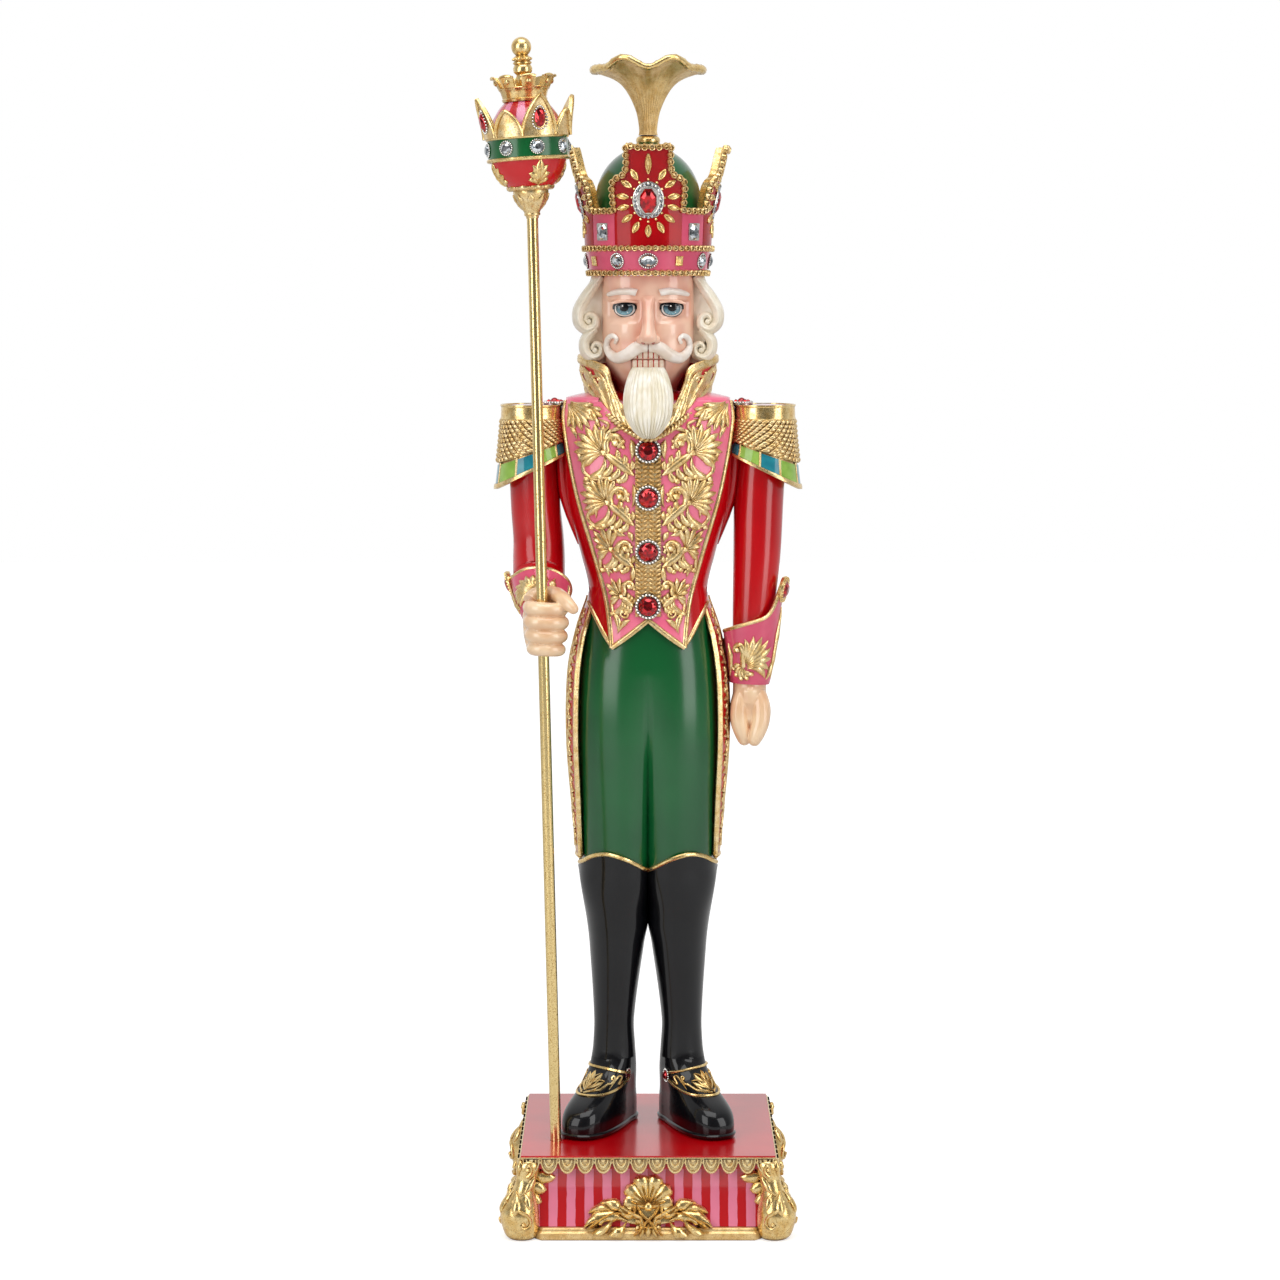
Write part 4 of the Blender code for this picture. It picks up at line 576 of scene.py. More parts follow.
def stone(name, colour, dark, metal=0.85):
    """A foiled cut stone: each facet mirrors another part of the room."""
    finish = Finish(name, metallic=metal, roughness=0.06, coat_weight=1.0, coat_roughness=0.02)
    finish.paint(finish.blend(finish.fade(finish.noise(3.0, 1.0), 0.42, 0.60), srgb(*dark), srgb(*colour)))
    return finish.material


def carved_paint(name, colour, shade, stretch, size=2.2, rough=0.32, relief=0.25, shade_reach=3.5):
    """Pale paint over carving, with painted shade in a brown tone in the hollows and next to other parts."""
    finish = Finish(name, roughness=rough, coat_weight=0.45, coat_roughness=0.12)
    grain = finish.noise(size, 2.0, stretch)
    tone = finish.blend(finish.fade(grain, 0.35, 0.7), srgb(*shade), srgb(*colour))
    # Painted shade: the shade colour where ambient occlusion finds hollows or other parts within the shade
    # reach
    finish.paint(finish.blend(finish.fade(finish.hollow(shade_reach), 0.25, 0.85), srgb(*shade), tone))
    finish.bump(grain, 0.5, relief)
    return finish.material


def skin_paint(name, colour, blush_and_shade):
    """Glossy flesh paint with soft darker patches, and painted shade in the blush colour in hollows and next
    to other parts.
    """
    finish = Finish(name, roughness=0.30, coat_weight=0.9, coat_roughness=0.04)
    tone = finish.blend(finish.fade(finish.noise(17.0, 1.0), 0.40, 0.72), srgb(*colour), srgb(*blush_and_shade))
    # Painted shade: ambient occlusion blends in the blush colour in hollows and next to other parts
    finish.paint(finish.blend(finish.fade(finish.hollow(4.0), 0.2, 0.85), srgb(*blush_and_shade), tone))
    finish.bump(finish.noise(5.0, 1.0), 0.2, 0.04)
    return finish.material


def iris_paint(level):
    """Blue-green iris, lighter towards its lower rim, with dark rays from the pupil."""
    finish = Finish("iris", roughness=0.2, coat_weight=1.0, coat_roughness=0.02)
    rays = finish.noise(0.9, 2.0, (1, 1, 0.35))
    _, _, z = finish.add("ShaderNodeSeparateXYZ", {0: finish.place}).outputs
    tone = finish.blend(finish.fade(z, (level - 6) * MM, (level + 1.5) * MM), srgb(142, 198, 214),
                        srgb(12, 30, 42))
    finish.paint(finish.blend(finish.fade(rays, 0.45, 0.65, 0.0, 0.6), tone, srgb(30, 68, 88)))
    return finish.material


def speckled_gold():
    """The staff's gold, dulled by fine dark specks."""
    finish = Finish("pole_gold", metallic=0.95, roughness=0.24)
    specks = finish.fade(finish.noise(0.9, 4.0), 0.52, 0.64)
    finish.paint(finish.blend(specks, srgb(238, 212, 150), srgb(186, 150, 84)))
    finish.gloss(finish.fade(specks, 0.0, 1.0, 0.14, 0.34))
    finish.bump(specks, 0.2, 0.04)
    return finish.material


# The staff's axis, needed by its striped dome
STAFF_X, STAFF_Y = -72.2, -50.7
STAFF_LEAN, STAFF_HEAD_LEAN = math.radians(1.27), math.radians(3.6)
POLE_LENGTH = 718.8
STAFF_FOOT = Vector((STAFF_X, STAFF_Y, Z_BASE))
STAFF_UP = Vector((-math.sin(STAFF_LEAN), 0, math.cos(STAFF_LEAN)))
HEAD_FOOT = STAFF_FOOT + STAFF_UP * POLE_LENGTH
HEAD_UP = Vector((-math.sin(STAFF_HEAD_LEAN), 0, math.cos(STAFF_HEAD_LEAN)))
STAFF_HEAD_SLOPE = HEAD_UP.x / HEAD_UP.z
STAFF_HEAD_START = (HEAD_FOOT.x - STAFF_HEAD_SLOPE * HEAD_FOOT.z) * MM

GOLD = gold_leaf("antique_gold", (246, 222, 170), (226, 190, 124), (138, 94, 44))
BRIGHT_GOLD = gold_leaf("bright_gold", (248, 222, 160), (230, 192, 120), (142, 98, 44), (0.16, 0.34),
                        1.6, 0.08)
DUSTED_GOLD = gold_leaf("dusted_gold", (250, 220, 158), (228, 188, 118), (146, 98, 48), (0.30, 0.50),
                        0.8, 0.3, 0.66)
PALE_GOLD = gold_leaf("pale_gold", (255, 238, 184), (248, 216, 150), (140, 92, 42), (0.20, 0.38), 1.2,
                      0.16, 0.62)
POLE_GOLD = speckled_gold()
RED = lacquer("red_lacquer", (212, 4, 16), (186, 0, 12), coat=0.14, cloud=60.0)
DEEP_RED = lacquer("crown_red_lacquer", (184, 4, 14), (158, 0, 10), weight=0.35)
ROSE = lacquer("rose_lacquer", (228, 94, 124), (212, 72, 106), cloud=24.0)
PINK = lacquer("pink_lacquer", (250, 134, 160), (240, 108, 142), cloud=24.0)
GREEN = lacquer("green_lacquer", (10, 98, 46), (4, 80, 38), coat=0.18, cloud=70.0)
BLACK = lacquer("black_lacquer", (12, 13, 17), (7, 7, 10), weight=0.6)
TEAL = lacquer("teal_tile", (40, 144, 158), (24, 112, 132), cloud=9.0)
LIME = lacquer("lime_tile", (160, 200, 92), (132, 176, 66), cloud=9.0)
STRIPES = base_stripes()
ORB_STRIPES = orb_stripes()
FLESH = skin_paint("flesh", (248, 204, 178), (232, 168, 142))
HAND_FLESH = skin_paint("hand_flesh", (250, 216, 176), (232, 182, 138))
CREAM = carved_paint("cream_hair", (250, 244, 230), (232, 220, 196), (1, 1, 1), 14.0, relief=0.05)
MOUSTACHE_PAINT = carved_paint("moustache_paint", (250, 243, 236), (226, 208, 190), (1, 1, 1), 12.0,
                               relief=0.04)
IVORY = carved_paint("ivory_beard", (250, 246, 236), (226, 216, 190), (1, 1, 0.05), 6.0, 0.34, 0.02, 1.6)
TOOTH = carved_paint("tooth_paint", (248, 236, 220), (226, 196, 170), (1, 1, 1), 4.0, 0.25, 0.05)
RUBY = stone("ruby", (220, 8, 24), (142, 2, 14))
CRYSTAL = stone("crystal", (238, 242, 246), (120, 128, 134), 0.95)
SILVER = gold_leaf("bead_silver", (236, 234, 228), (190, 188, 182), (64, 62, 60), (0.18, 0.32), 1.0, 0.05)
# Dark flesh colour for painted shadow in the nostrils
NOSTRIL_SHADE = skin_paint("nostril_shadow", (168, 92, 76), (138, 66, 54))
EYE_WHITE = skin_paint("eye_white", (246, 242, 236), (216, 206, 200))
STEEL = gold_leaf("pin_steel", (196, 198, 202), (150, 152, 158), (70, 70, 74), (0.25, 0.4), 1.0, 0.05)
IRIS_LEVEL = 713.0
IRIS = iris_paint(IRIS_LEVEL)


# Base

RAIL_HALF = span("base_plate")[1].x
SLAB_HALF = span("base_slab")[1].x
RAIL_CUT = 24.0
BLOCK_CUT = 10.0
BLOCK_LINE = ((9.8, 102.0), (20.6, 97.6), (36.2, 93.5), (54.0, 92.0))
SHIELD_LINE = ((3.0, 107.4), (9.0, 107.0), (16.0, 101.5), (24.0, 97.3), (36.2, 93.5), (54.0, 92.0))
SCALLOPS = 14
SCALLOP_PITCH = 2 * (SLAB_HALF - 1.0) / SCALLOPS
SCALLOP_LOW, SCALLOP_TOP = (corner.z for corner in span("scallop_trim"))
QUARTERS = [Matrix.Rotation(quarter * math.pi / 2, 3, "Z") for quarter in range(4)]


def square_ring(level, half, cut):
    """A square outline with its corners cut off."""
    near = half - cut
    return [Vector((x, y, level)) for x, y in (
        (half, -near), (half, near), (near, half), (-near, half), (-half, near), (-half, -near),
        (-near, -half), (near, -half))]


def face_of(quarter, line):
    """One face of the base as a surface of place along it and level."""
    def place(u, v):
        return quarter @ Vector((u, -along(line, v)[0], v))
    return skin_of(place)


def make_base():
    rail_line = ((0.0, 1.0), (0.8, 0.0), (5.6, 0.0), (6.4, 0.9), (7.0, 1.4), (8.6, 1.6),
                 (9.2, 2.2), (9.5, 3.2))
    rail = Form().loft([square_ring(level, RAIL_HALF - inset, RAIL_CUT) for level, inset in rail_line])
    rail.piece("base_rail", DUSTED_GOLD, nodes=["base_plate"], slot="gold", crease=25)
    levels = evenly(BLOCK_LINE[0][0], BLOCK_LINE[-1][0], 16)
    block = Form().loft([square_ring(level, along(BLOCK_LINE, level)[0], BLOCK_CUT) for level in levels])
    block.piece("striped_block", STRIPES, nodes=["base_block"], slot="red", crease=30)
    show_solid("base_slab", RED)
    make_scallops()
    faces = ("front", "right", "back", "left")
    corners = ("front_left", "back_left", "back_right", "front_right")
    for quarter, face, corner in zip(QUARTERS, faces, corners):
        make_cartouche(quarter, "cartouche_" + face)
        make_foot(quarter, "corner_scroll_" + corner)


def make_scallops():
    """A frieze of ribbed shells hung from a gold line round the slab."""
    frieze = Form()
    profile = ((1.0, -0.4), (1.0, 1.6), (0.93, 2.6), (0.84, 2.6), (0.78, 0.6), (0.64, 0.6), (0.58, 2.2),
               (0.46, 2.2), (0.40, 0.6), (0.28, 0.6), (0.22, 2.0), (0.06, 2.4))
    half, drop = 0.5 * SCALLOP_PITCH, SCALLOP_TOP - SCALLOP_LOW
    for quarter in QUARTERS:
        for k in range(SCALLOPS):
            middle = (k + 0.5 - SCALLOPS / 2) * SCALLOP_PITCH
            place = middle + SCALLOP_PITCH / 2
            frieze.bead(quarter @ Vector((place, -SLAB_HALF - 0.6, SCALLOP_TOP - 2.6)), 1.7)
            frieze.loft([[quarter @ Vector((middle - half * size * math.cos(turn), -SLAB_HALF - lift,
                                            SCALLOP_TOP - drop * size * math.sin(turn)))
                          for turn in evenly(0, math.pi, 11)] for size, lift in profile])
        corners = [quarter @ Vector((x, -SLAB_HALF - 0.4, SCALLOP_TOP + 0.1))
                   for x in (-SLAB_HALF, SLAB_HALF)]
        frieze.tube(corners, 0.9, 8)
    frieze.piece("scallop_frieze", PALE_GOLD, nodes=["scallop_trim"], slot="gold")


FOOT_LINE = ((0.2, 137.7, 10.2), (2.5, 137.6, 12.8), (8.0, 138.3, 14.4), (14.0, 139.6, 15.0),
             (19.0, 140.0, 15.0), (25.0, 139.6, 14.0), (30.0, 138.7, 12.2), (34.0, 137.5, 10.4),
             (38.0, 135.9, 8.8), (42.0, 134.1, 8.2), (46.0, 132.9, 8.2), (51.0, 131.6, 9.2),
             (57.0, 130.6, 9.8), (60.5, 129.8, 8.2), (62.6, 129.2, 5.2))
FOOT_GIRTH = 15.0


def make_foot(quarter, node):
    """A scrolled corner foot: a rolled bulb below a hollow neck, with leaves spread on to both faces."""
    foot = Form()
    diagonal = math.radians(-45)

    def place(u, v):
        reach, radius = along(FOOT_LINE, v)
        middle = Vector((reach * math.cos(diagonal), reach * math.sin(diagonal), v))
        turn = diagonal + u / FOOT_GIRTH
        return quarter @ (middle + Vector((radius * math.cos(turn), radius * math.sin(turn), 0)))

    around = turns(32, 0.0, FOOT_GIRTH * 2 * math.pi)
    foot.loft([[place(u, level) for u in around] for level in evenly(FOOT_LINE[0][0], FOOT_LINE[-1][0], 30)])
    bulb = skin_of(place)
    for hand in (-1, 1):
        foot.volute(bulb, (hand * 15.0, 14.5), 8.4, math.pi / 2, hand * -4.4, 1.5, 1.9, 0.2,
                    [(hand * 4.0, 31.0), (hand * 9.5, 25.5)])
        foot.leaves(bulb, hand, (
            ((2.5, 38), (8, 21), 3.6, 2.2, 0.15, 0), ((13, 37), (20, 25), 3.6, 2.0, 0.2, 2)), fullest=0.7)
        foot.leaf(bulb, (hand * 10, 35), (hand * 22, 49), 3.6, 2.6, hand * -0.12, 2, fullest=0.72)
        foot.volute(bulb, (hand * 12.0, 54.5), 5.6, -math.pi / 2, hand * 5.2, 1.7, 2.3, 0.25)
    foot.leaf(bulb, (0, 49.0), (0, 61.0), 3.6, 2.2, 0.0, 2, fullest=0.7)
    for face, hand in ((quarter, 1), (quarter @ QUARTERS[1], -1)):
        front = face_of(face, BLOCK_LINE)
        foot.leaves(front, hand, (
            ((93, 51), (71.5, 46.5), 6.4, 3.4, 0.10, 2), ((93, 46), (78.5, 36.5), 6.8, 3.8, 0.14, 2),
            ((94, 39), (82, 27.5), 6.4, 4.0, 0.16, 2), ((96, 31), (86, 18.5), 5.8, 4.0, 0.18, 2)),
            fullest=0.74)
        foot.stroke(front, [(hand * 95, 24), (hand * 90.5, 36), (hand * 87, 45), (hand * 80, 45.5)],
                    1.5, 3.4)
        foot.leaf(front, (hand * 93, 36), (hand * 89, 55), 3.4, 3.0, hand * -0.12, 2)
    foot.piece(node.replace("corner_scroll", "corner_foot"), BRIGHT_GOLD, nodes=[node], slot="gold")


def make_cartouche(quarter, node):
    """A shell over two scrolls, with crossed stems and acanthus wings."""
    shield = Form()
    front = face_of(quarter, SHIELD_LINE)
    shield.ridge(front, [(-21, 17, 4), (-12, 19, 8), (0, 20, 11), (12, 19, 8), (21, 17, 4)], 2.6)
    heart = 23.5
    for angle, length in ((-74, 20), (-45, 23.5), (-15, 25.5), (15, 25.5), (45, 23.5), (74, 20)):
        across, up = length * math.sin(math.radians(angle)), length * math.cos(math.radians(angle))
        shield.leaf(front, (0, heart - 1), (across, heart + up), 6.6, 5.6, 0.0, 0, 12, 0.86)
        shield.leaf(front, (0, heart + 0.5), (0.8 * across, heart + 0.8 * up), 1.6, 6.9, 0.0, 0, 8, 0.7)
    shield.bead(front(0, 24)[0], 4.6, FINE_BALL)
    for hand in (-1, 1):
        shield.volute(front, (hand * 14.0, 22.5), 8.0, math.pi * (0.5 - hand * 0.45), hand * -5.2, 2.5, 5.4,
                      0.25, [(hand * 3.0, 9.0), (hand * 5.5, 15.0)])
        shield.volute(front, (hand * 8.0, 9.5), 4.4, -hand * 0.4 + math.pi * 0.5, hand * 4.4, 1.8, 4.6)
        shield.stroke(front, [(hand * -11, 4.5), (hand * -3, 11), (hand * 5, 18), (hand * 11, 29)], 1.7, 6.2)
        shield.leaves(front, hand, (
            ((16, 14), (49, 10.5), 7.2, 5.0, 0.16, 3), ((17, 17), (37, 27.0), 6.4, 5.0, 0.14, 2),
            ((17, 13), (31, 4.4), 5.6, 4.2, -0.12, 2), ((27, 15), (43, 5.6), 4.6, 3.8, -0.10, 1),
            ((25, 18), (46, 19.5), 5.0, 4.8, 0.2, 2)))
        shield.stroke(front, [(hand * 15, 18), (hand * 27, 18.5), (hand * 40, 12), (hand * 47, 9)], 1.1, 6.0)
        shield.leaf(front, (0, 13), (hand * 6.5, 2.6), 3.2, 4.4, hand * 0.1, 2)
    shield.leaf(front, (0, 15), (0, 2.4), 3.6, 5.2, 0.0, 2)
    shield.piece(node.replace("cartouche", "shell_cartouche"), BRIGHT_GOLD, nodes=[node], slot="gold")


# Body outline, shared by the boots, breeches and coat

BODY_POWER = 2.35
CLEFT_WIDTH, CLEFT_DEPTH = 24.0, 15.0
CHEST_DEPTH, BACK_DEPTH = 46.0, 43.0
KNEE_HALF, HIP_HALF, WAIST_HALF, CHEST_HALF = 52.0, 57.0, 46.5, 67.5


def body_stations(line, foot, height):
    return [(foot + share * height, half, front * CHEST_DEPTH, back * BACK_DEPTH, cleft * CLEFT_DEPTH)
            for share, half, front, back, cleft in line]


BODY = body_stations((
    (0.0, KNEE_HALF, 0.83, 0.84, 1.0), (0.23, 0.5 * (KNEE_HALF + HIP_HALF), 0.91, 0.93, 0.90),
    (0.50, HIP_HALF, 0.98, 1.02, 0.42), (0.75, 0.965 * HIP_HALF, 0.95, 1.02, 0.0),
    (0.92, 1.065 * WAIST_HALF, 0.87, 0.91, 0.0)), Z_KNEE, Z_WAIST - Z_KNEE) + body_stations((
        (0.06, WAIST_HALF, 0.80, 0.84, 0.0), (0.24, 0.78 * CHEST_HALF, 0.87, 0.86, 0.0),
        (0.50, 0.94 * CHEST_HALF, 0.98, 0.95, 0.0), (0.74, CHEST_HALF, 1.0, 1.0, 0.0),
        (0.90, CHEST_HALF, 0.91, 0.93, 0.0), (1.0, 0.95 * CHEST_HALF, 0.74, 0.77, 0.0)),
        Z_WAIST, Z_SHOULDER - Z_WAIST)


def cleft_at(x, depth):
    """How far the crease between the thighs sinks in."""
    broad = max(0.0, 1 - abs(x) / CLEFT_WIDTH) ** 1.8
    fine = max(0.0, 1 - abs(x) / 4.0)
    return max(depth, 0.0) * (0.85 * broad + 0.22 * fine)


def seam_turns(count):
    """Turns round the body, closest at the middle of its front and back."""
    return [turn + 0.42 * math.sin(2 * turn) for turn in turns(count)]


def body_point(turn, level, grow=0.0):
    half, front, back, cleft = along(BODY, level)
    point = oval_point(turn, level, half + grow, front + grow, back + grow, BODY_POWER)
    point.y -= math.copysign(cleft_at(point.x, cleft), point.y - AXIS_Y)
    return point


def body_face(x, level, grow=0.0, facing=-1):
    """The body's front, or back, at a place across it and a level."""
    half, front, back, cleft = along(BODY, level)
    share = min(abs(x) / (half + grow), 0.9995)
    depth = (front if facing < 0 else back) + grow
    bow = depth * (1 - share ** BODY_POWER) ** (1 / BODY_POWER)
    return Vector((x, AXIS_Y + facing * (bow - cleft_at(x, cleft)), level))


# Legs

SHOE_LENGTH, SHOE_HALF, SHOE_SPLAY = 72.0, 18.0, math.radians(27)
ANKLE_X = 27.0
SHOE_HEIGHT = Z_ANKLE - Z_BASE
SHOE_LINE = ((0.0, 0.97, 0.295, 0.95), (0.05, 1.0, 0.305, 1.0), (0.16, 1.01, 0.30, 1.03),
             (0.27, 0.995, 0.295, 1.04), (0.37, 0.945, 0.29, 1.03), (0.46, 0.845, 0.285, 1.01),
             (0.57, 0.665, 0.275, 0.99), (0.70, 0.465, 0.26, 0.96), (0.82, 0.345, 0.245, 0.935),
             (0.92, 0.275, 0.234, 0.92), (1.0, 0.236, 0.23, 0.915))
HEEL_WIDTH, OUTER_TOE_WIDTH, INNER_TOE_WIDTH = 0.84, 1.24, 1.5
STRAP_GIRTH, STRAP_END = 26.0, -36.0
BOOT_TOP_HALF, BOOT_TOP_DEPTH = 55.6, 34.0
BOOT_LINE = ((0.0, 9.6, 45.0, 17.6), (0.05, 10.2, 43.9, 16.8), (0.2, 11.0, 43.0, 16.8),
             (0.6, 2.75, 46.7, 27.2), (0.7, -0.2, 48.4, 29.2), (0.86, -0.4, 52.2, 32.2),
             (1.0, -0.4, BOOT_TOP_HALF, BOOT_TOP_DEPTH))
HEM_LINE = ((0.0, 272.0), (8.0, 277.6), (16.5, 282.4), (26.0, 285.6), (34.5, 286.6), (44.0, 284.0),
            (51.0, 279.0), (57.0, 274.0))
HEM_GROW, PIPING_REACH = 2.9, 54.2


def hem(x):
    return along(HEM_LINE, abs(x))[0]


def shoe_point(side, turn, share, grow=0.0):
    front, back, wide = along(SHOE_LINE, share)
    ring = oval_point(turn, 0.0, wide * SHOE_HALF + grow, front * SHOE_LENGTH + grow,
                      back * SHOE_LENGTH + grow, 2.5, (0.0, 0.0))
    heel_width = mix(HEEL_WIDTH, 1.0, smooth((share - 0.45) / 0.45))
    toe_width = OUTER_TOE_WIDTH if ring.x > 0 else INNER_TOE_WIDTH
    ring.x *= mix(heel_width, toe_width, max(0.0, -ring.y) / SHOE_LENGTH)
    ahead = Vector((side * math.sin(SHOE_SPLAY), -math.cos(SHOE_SPLAY), 0))
    across = Vector((math.cos(SHOE_SPLAY), side * math.sin(SHOE_SPLAY), 0)) * side
    heel = Vector((side * ANKLE_X, AXIS_Y, Z_BASE + SEAT + share * SHOE_HEIGHT))
    return heel + across * ring.x - ahead * ring.y


def make_shoe(name, side):
    """A black shoe with a stitched welt, and a strap edged and worked in gold."""
    shoe = Form()
    line = [(0.0, 1.0), (0.02, 1.7), (0.065, 1.7), (0.08, 0.9), (0.09, 0.0)] + [
        (share / 40, 0.0) for share in range(4, 42)]
    shoe.loft([[shoe_point(side, turn, min(share, 1.0), grow) for turn in turns(64)]
               for share, grow in line])
    shoe.piece(name, BLACK, nodes=[name], slot="black", crease=50)

    trim = Form()

    def place(u, v):
        return shoe_point(side, FRONT + u / STRAP_GIRTH, v / SHOE_HEIGHT, 0.2)
    surface = skin_of(place)
    upper = [(36, 47), (24, 47.5), (12, 47.5), (0, 47), (-14, 45.5), (-28, 43.5), (STRAP_END, 42)]
    lower = [(36, 35), (22, 32.0), (8, 30.5), (-6, 30.5), (-18, 31.5), (-28, 34), (STRAP_END, 38)]
    for line in (upper, lower):
        trim.stroke(surface, line, 1.15, 1.5, 6, False)
    for tip in ((4, 45), (-2.5, 43.5), (10.5, 43.5), (-7.5, 38.5), (15.5, 38.5)):
        for half, height, bend in ((1.7, 1.2, 0.0), (0.55, 1.9, 0.2), (0.55, 1.9, -0.2)):
            trim.leaf(surface, (4, 33), tip, half, height, bend)
    trim.volute(surface, (-14.5, 40), 3.6, -1.0, -5.2, 0.9, 1.3, 0.3, [(3, 31.5), (-7, 33.5)])
    trim.volute(surface, (22.5, 41), 3.6, -2.2, 5.2, 0.9, 1.3, 0.3, [(5, 31.5), (15, 34)])
    trim.stroke(surface, [(-16, 33.5), (-20, 41), (-25, 40.5), (-24, 36), (-29, 37.5)], 0.9, 1.2)
    trim.stroke(surface, [(24, 35), (28, 42), (32, 41), (31, 37)], 0.9, 1.2)
    trim.piece(name + "_strap_gold", BRIGHT_GOLD, slot="gold")

    spot, normal = surface(STRAP_END, 40.0)
    across, up = square_to(normal)
    Form().ring_of_beads(spot + normal * 0.8, across, up, 4.4, 4.9, 1.0, 16).piece(
        name + "_strap_beads", SILVER, slot="steel")
    Form().gem(spot + normal * 0.6, across, up, 3.6, 4.1, 2.4, 8).piece(
        name + "_strap_gem", RUBY, slot="ruby", crease=0)


def boot_rings(side):
    """Rings up a boot; near the top they take the body's outline, and then rise to the arched hem."""
    rings = []
    for share in evenly(0, 1, 40):
        inner, outer, depth = along(BOOT_LINE, share)
        inner = max(inner, -0.4)
        middle, half = (inner + outer) / 2, (outer - inner) / 2
        level = mix(Z_ANKLE, Z_KNEE, share)
        ring = []
        for turn in turns(48):
            point = oval_point(turn, level, half, depth, depth, 2.0 + 0.35 * smooth((share - 0.6) / 0.4),
                               (side * middle, AXIS_Y))
            facing = -1 if point.y < AXIS_Y else 1
            snug = body_face(point.x, Z_KNEE, HEM_GROW, facing)
            point.y = mix(point.y, snug.y, smooth((share - 0.72) / 0.28) * min(1, abs(point.y - AXIS_Y) / 6))
            ring.append(point)
        rings.append(ring)
    top = rings[-1]
    for rise, grow in ((0.3, HEM_GROW), (0.65, HEM_GROW), (1.0, HEM_GROW), (1.0, -2.0), (-1.0, -4.0)):
        ring = []
        for point in top:
            level = Z_KNEE + rise * max(hem(point.x) - Z_KNEE, 0.3)
            facing = -1 if point.y < AXIS_Y else 1
            x = min(abs(point.x), along(BODY, level)[0] + grow) * side
            ring.append(body_face(x, level, grow, facing))
        rings.append(ring)
    return rings


def make_legs():
    for name, side in SIDES.items():
        make_shoe("shoe_" + name, side)
        Form().loft(boot_rings(side)).piece("boot_" + name, BLACK, nodes=["boot_" + name],
                                            slot="black", crease=60)
    piping = Form()
    for facing in (-1, 1):
        reach = evenly(-PIPING_REACH, PIPING_REACH, 100)
        piping.tube([body_face(x, hem(x), HEM_GROW, facing) for x in reach], 1.7, 8)
    piping.piece("hem_piping", BRIGHT_GOLD, slot="gold")
    levels = evenly(Z_KNEE - 2, Z_WAIST + 8, 60)
    breeches = Form().loft([[body_point(turn, level, -1.4 * smooth((level - Z_WAIST + 8) / 8))
                             for turn in seam_turns(160)] for level in levels])
    breeches.piece("breeches", GREEN, nodes=["breeches"], slot="green", crease=60)


# Coat and waistcoat

VEST_LINING, VEST_SHELL, PLACKET_SHELL = 0.6, 2.6, 4.3
VEST_TOP, VEST_POINT, VEST_MIDDLE = 641.0, 449.5, 471.5
VEST_EDGE = ((449.5, 28.5), (486.0, 33.0), (520.0, 42.0), (569.0, 56.0), (613.0, 64.5), (640.0, 67.5))
PLACKET_HALF, PLACKET_TOP = 10.2, 606.0
BUTTON_LEVELS = (604.0, 567.5, 525.5, 482.5)
COAT_HEM = ((28.5, 449.5), (50.0, 489.0))
LEVER_SLOT_HALF = 7.5
TAIL_TOP, TAIL_FOOT, TAIL_GIRTH = 490.0, 281.0, 62.0
TAIL_LINE = ((281.0, 4.0, 0.30), (330.0, 5.4, 0.41), (367.0, 6.4, 0.46), (430.0, 7.4, 0.48),
             (460.0, 6.0, 0.44), (476.0, 3.4, 0.38), (485.0, 1.4, 0.34), (490.0, 0.7, 0.33))
TAIL_THICKNESS = 3.2
COLLAR_LINE = ((607.5, 44.2, 52.2, 31.0), (642.0, 47.0, 46.5, 34.0), (676.5, 55.0, 36.3, 40.0))
COLLAR_POWER, COLLAR_THICKNESS = 2.1, 2.4
COLLAR_GIRTH, COLLAR_RISE = 60.0, 36.0
COLLAR_COLUMNS = ((0.0, 0.0, 612.5, 0.0, 614.6), (0.2, 0.12, 614.0, 0.20, 618.0),
                  (0.4, 0.30, 618.0, 0.42, 631.0), (0.55, 0.45, 622.5, 0.545, 645.0),
                  (0.68, 0.58, 627.0, 0.612, 656.5), (0.76, 0.68, 631.0, 0.635, 666.0),
                  (0.88, 0.86, 637.5, 0.82, 671.0), (1.0, 1.0, 641.0, 1.0, 675.0),
                  (2.0, 1.0, 641.0, 1.0, 676.5))


def vest_edge(level):
    return min(along(VEST_EDGE, level)[0], 0.972 * (along(BODY, level)[0] + VEST_SHELL))


def vest_surface(u, v):
    return body_face(u, v, VEST_SHELL)


def rope(form, path, radius, pitch):
    """Two strands twisted round each other along a path."""
    path = [Vector(point) for point in path]
    last, run = len(path) - 1, 0.0
    strands = [[], []]
    for k, point in enumerate(path):
        run += (point - path[max(k - 1, 0)]).length
        ahead = (path[min(k + 1, last)] - path[max(k - 1, 0)]).normalized()
        side = ahead.cross(Vector((0, -1, 0.02))).normalized()
        rise = side.cross(ahead)
        for strand, line in enumerate(strands):
            turn = 2 * math.pi * run / pitch + math.pi * strand
            line.append(point + 0.52 * radius * (side * math.cos(turn) + rise * math.sin(turn)))
    for line in strands:
        form.tube(line, 0.62 * radius, 7)


def lever_slot(piece, near, far, low, high, room=0.0):
    """Cut the jaw lever's slot through a piece, between two depths and two levels."""
    half = LEVER_SLOT_HALF + room
    carved(piece, (-half, near, low), (half, far, high))


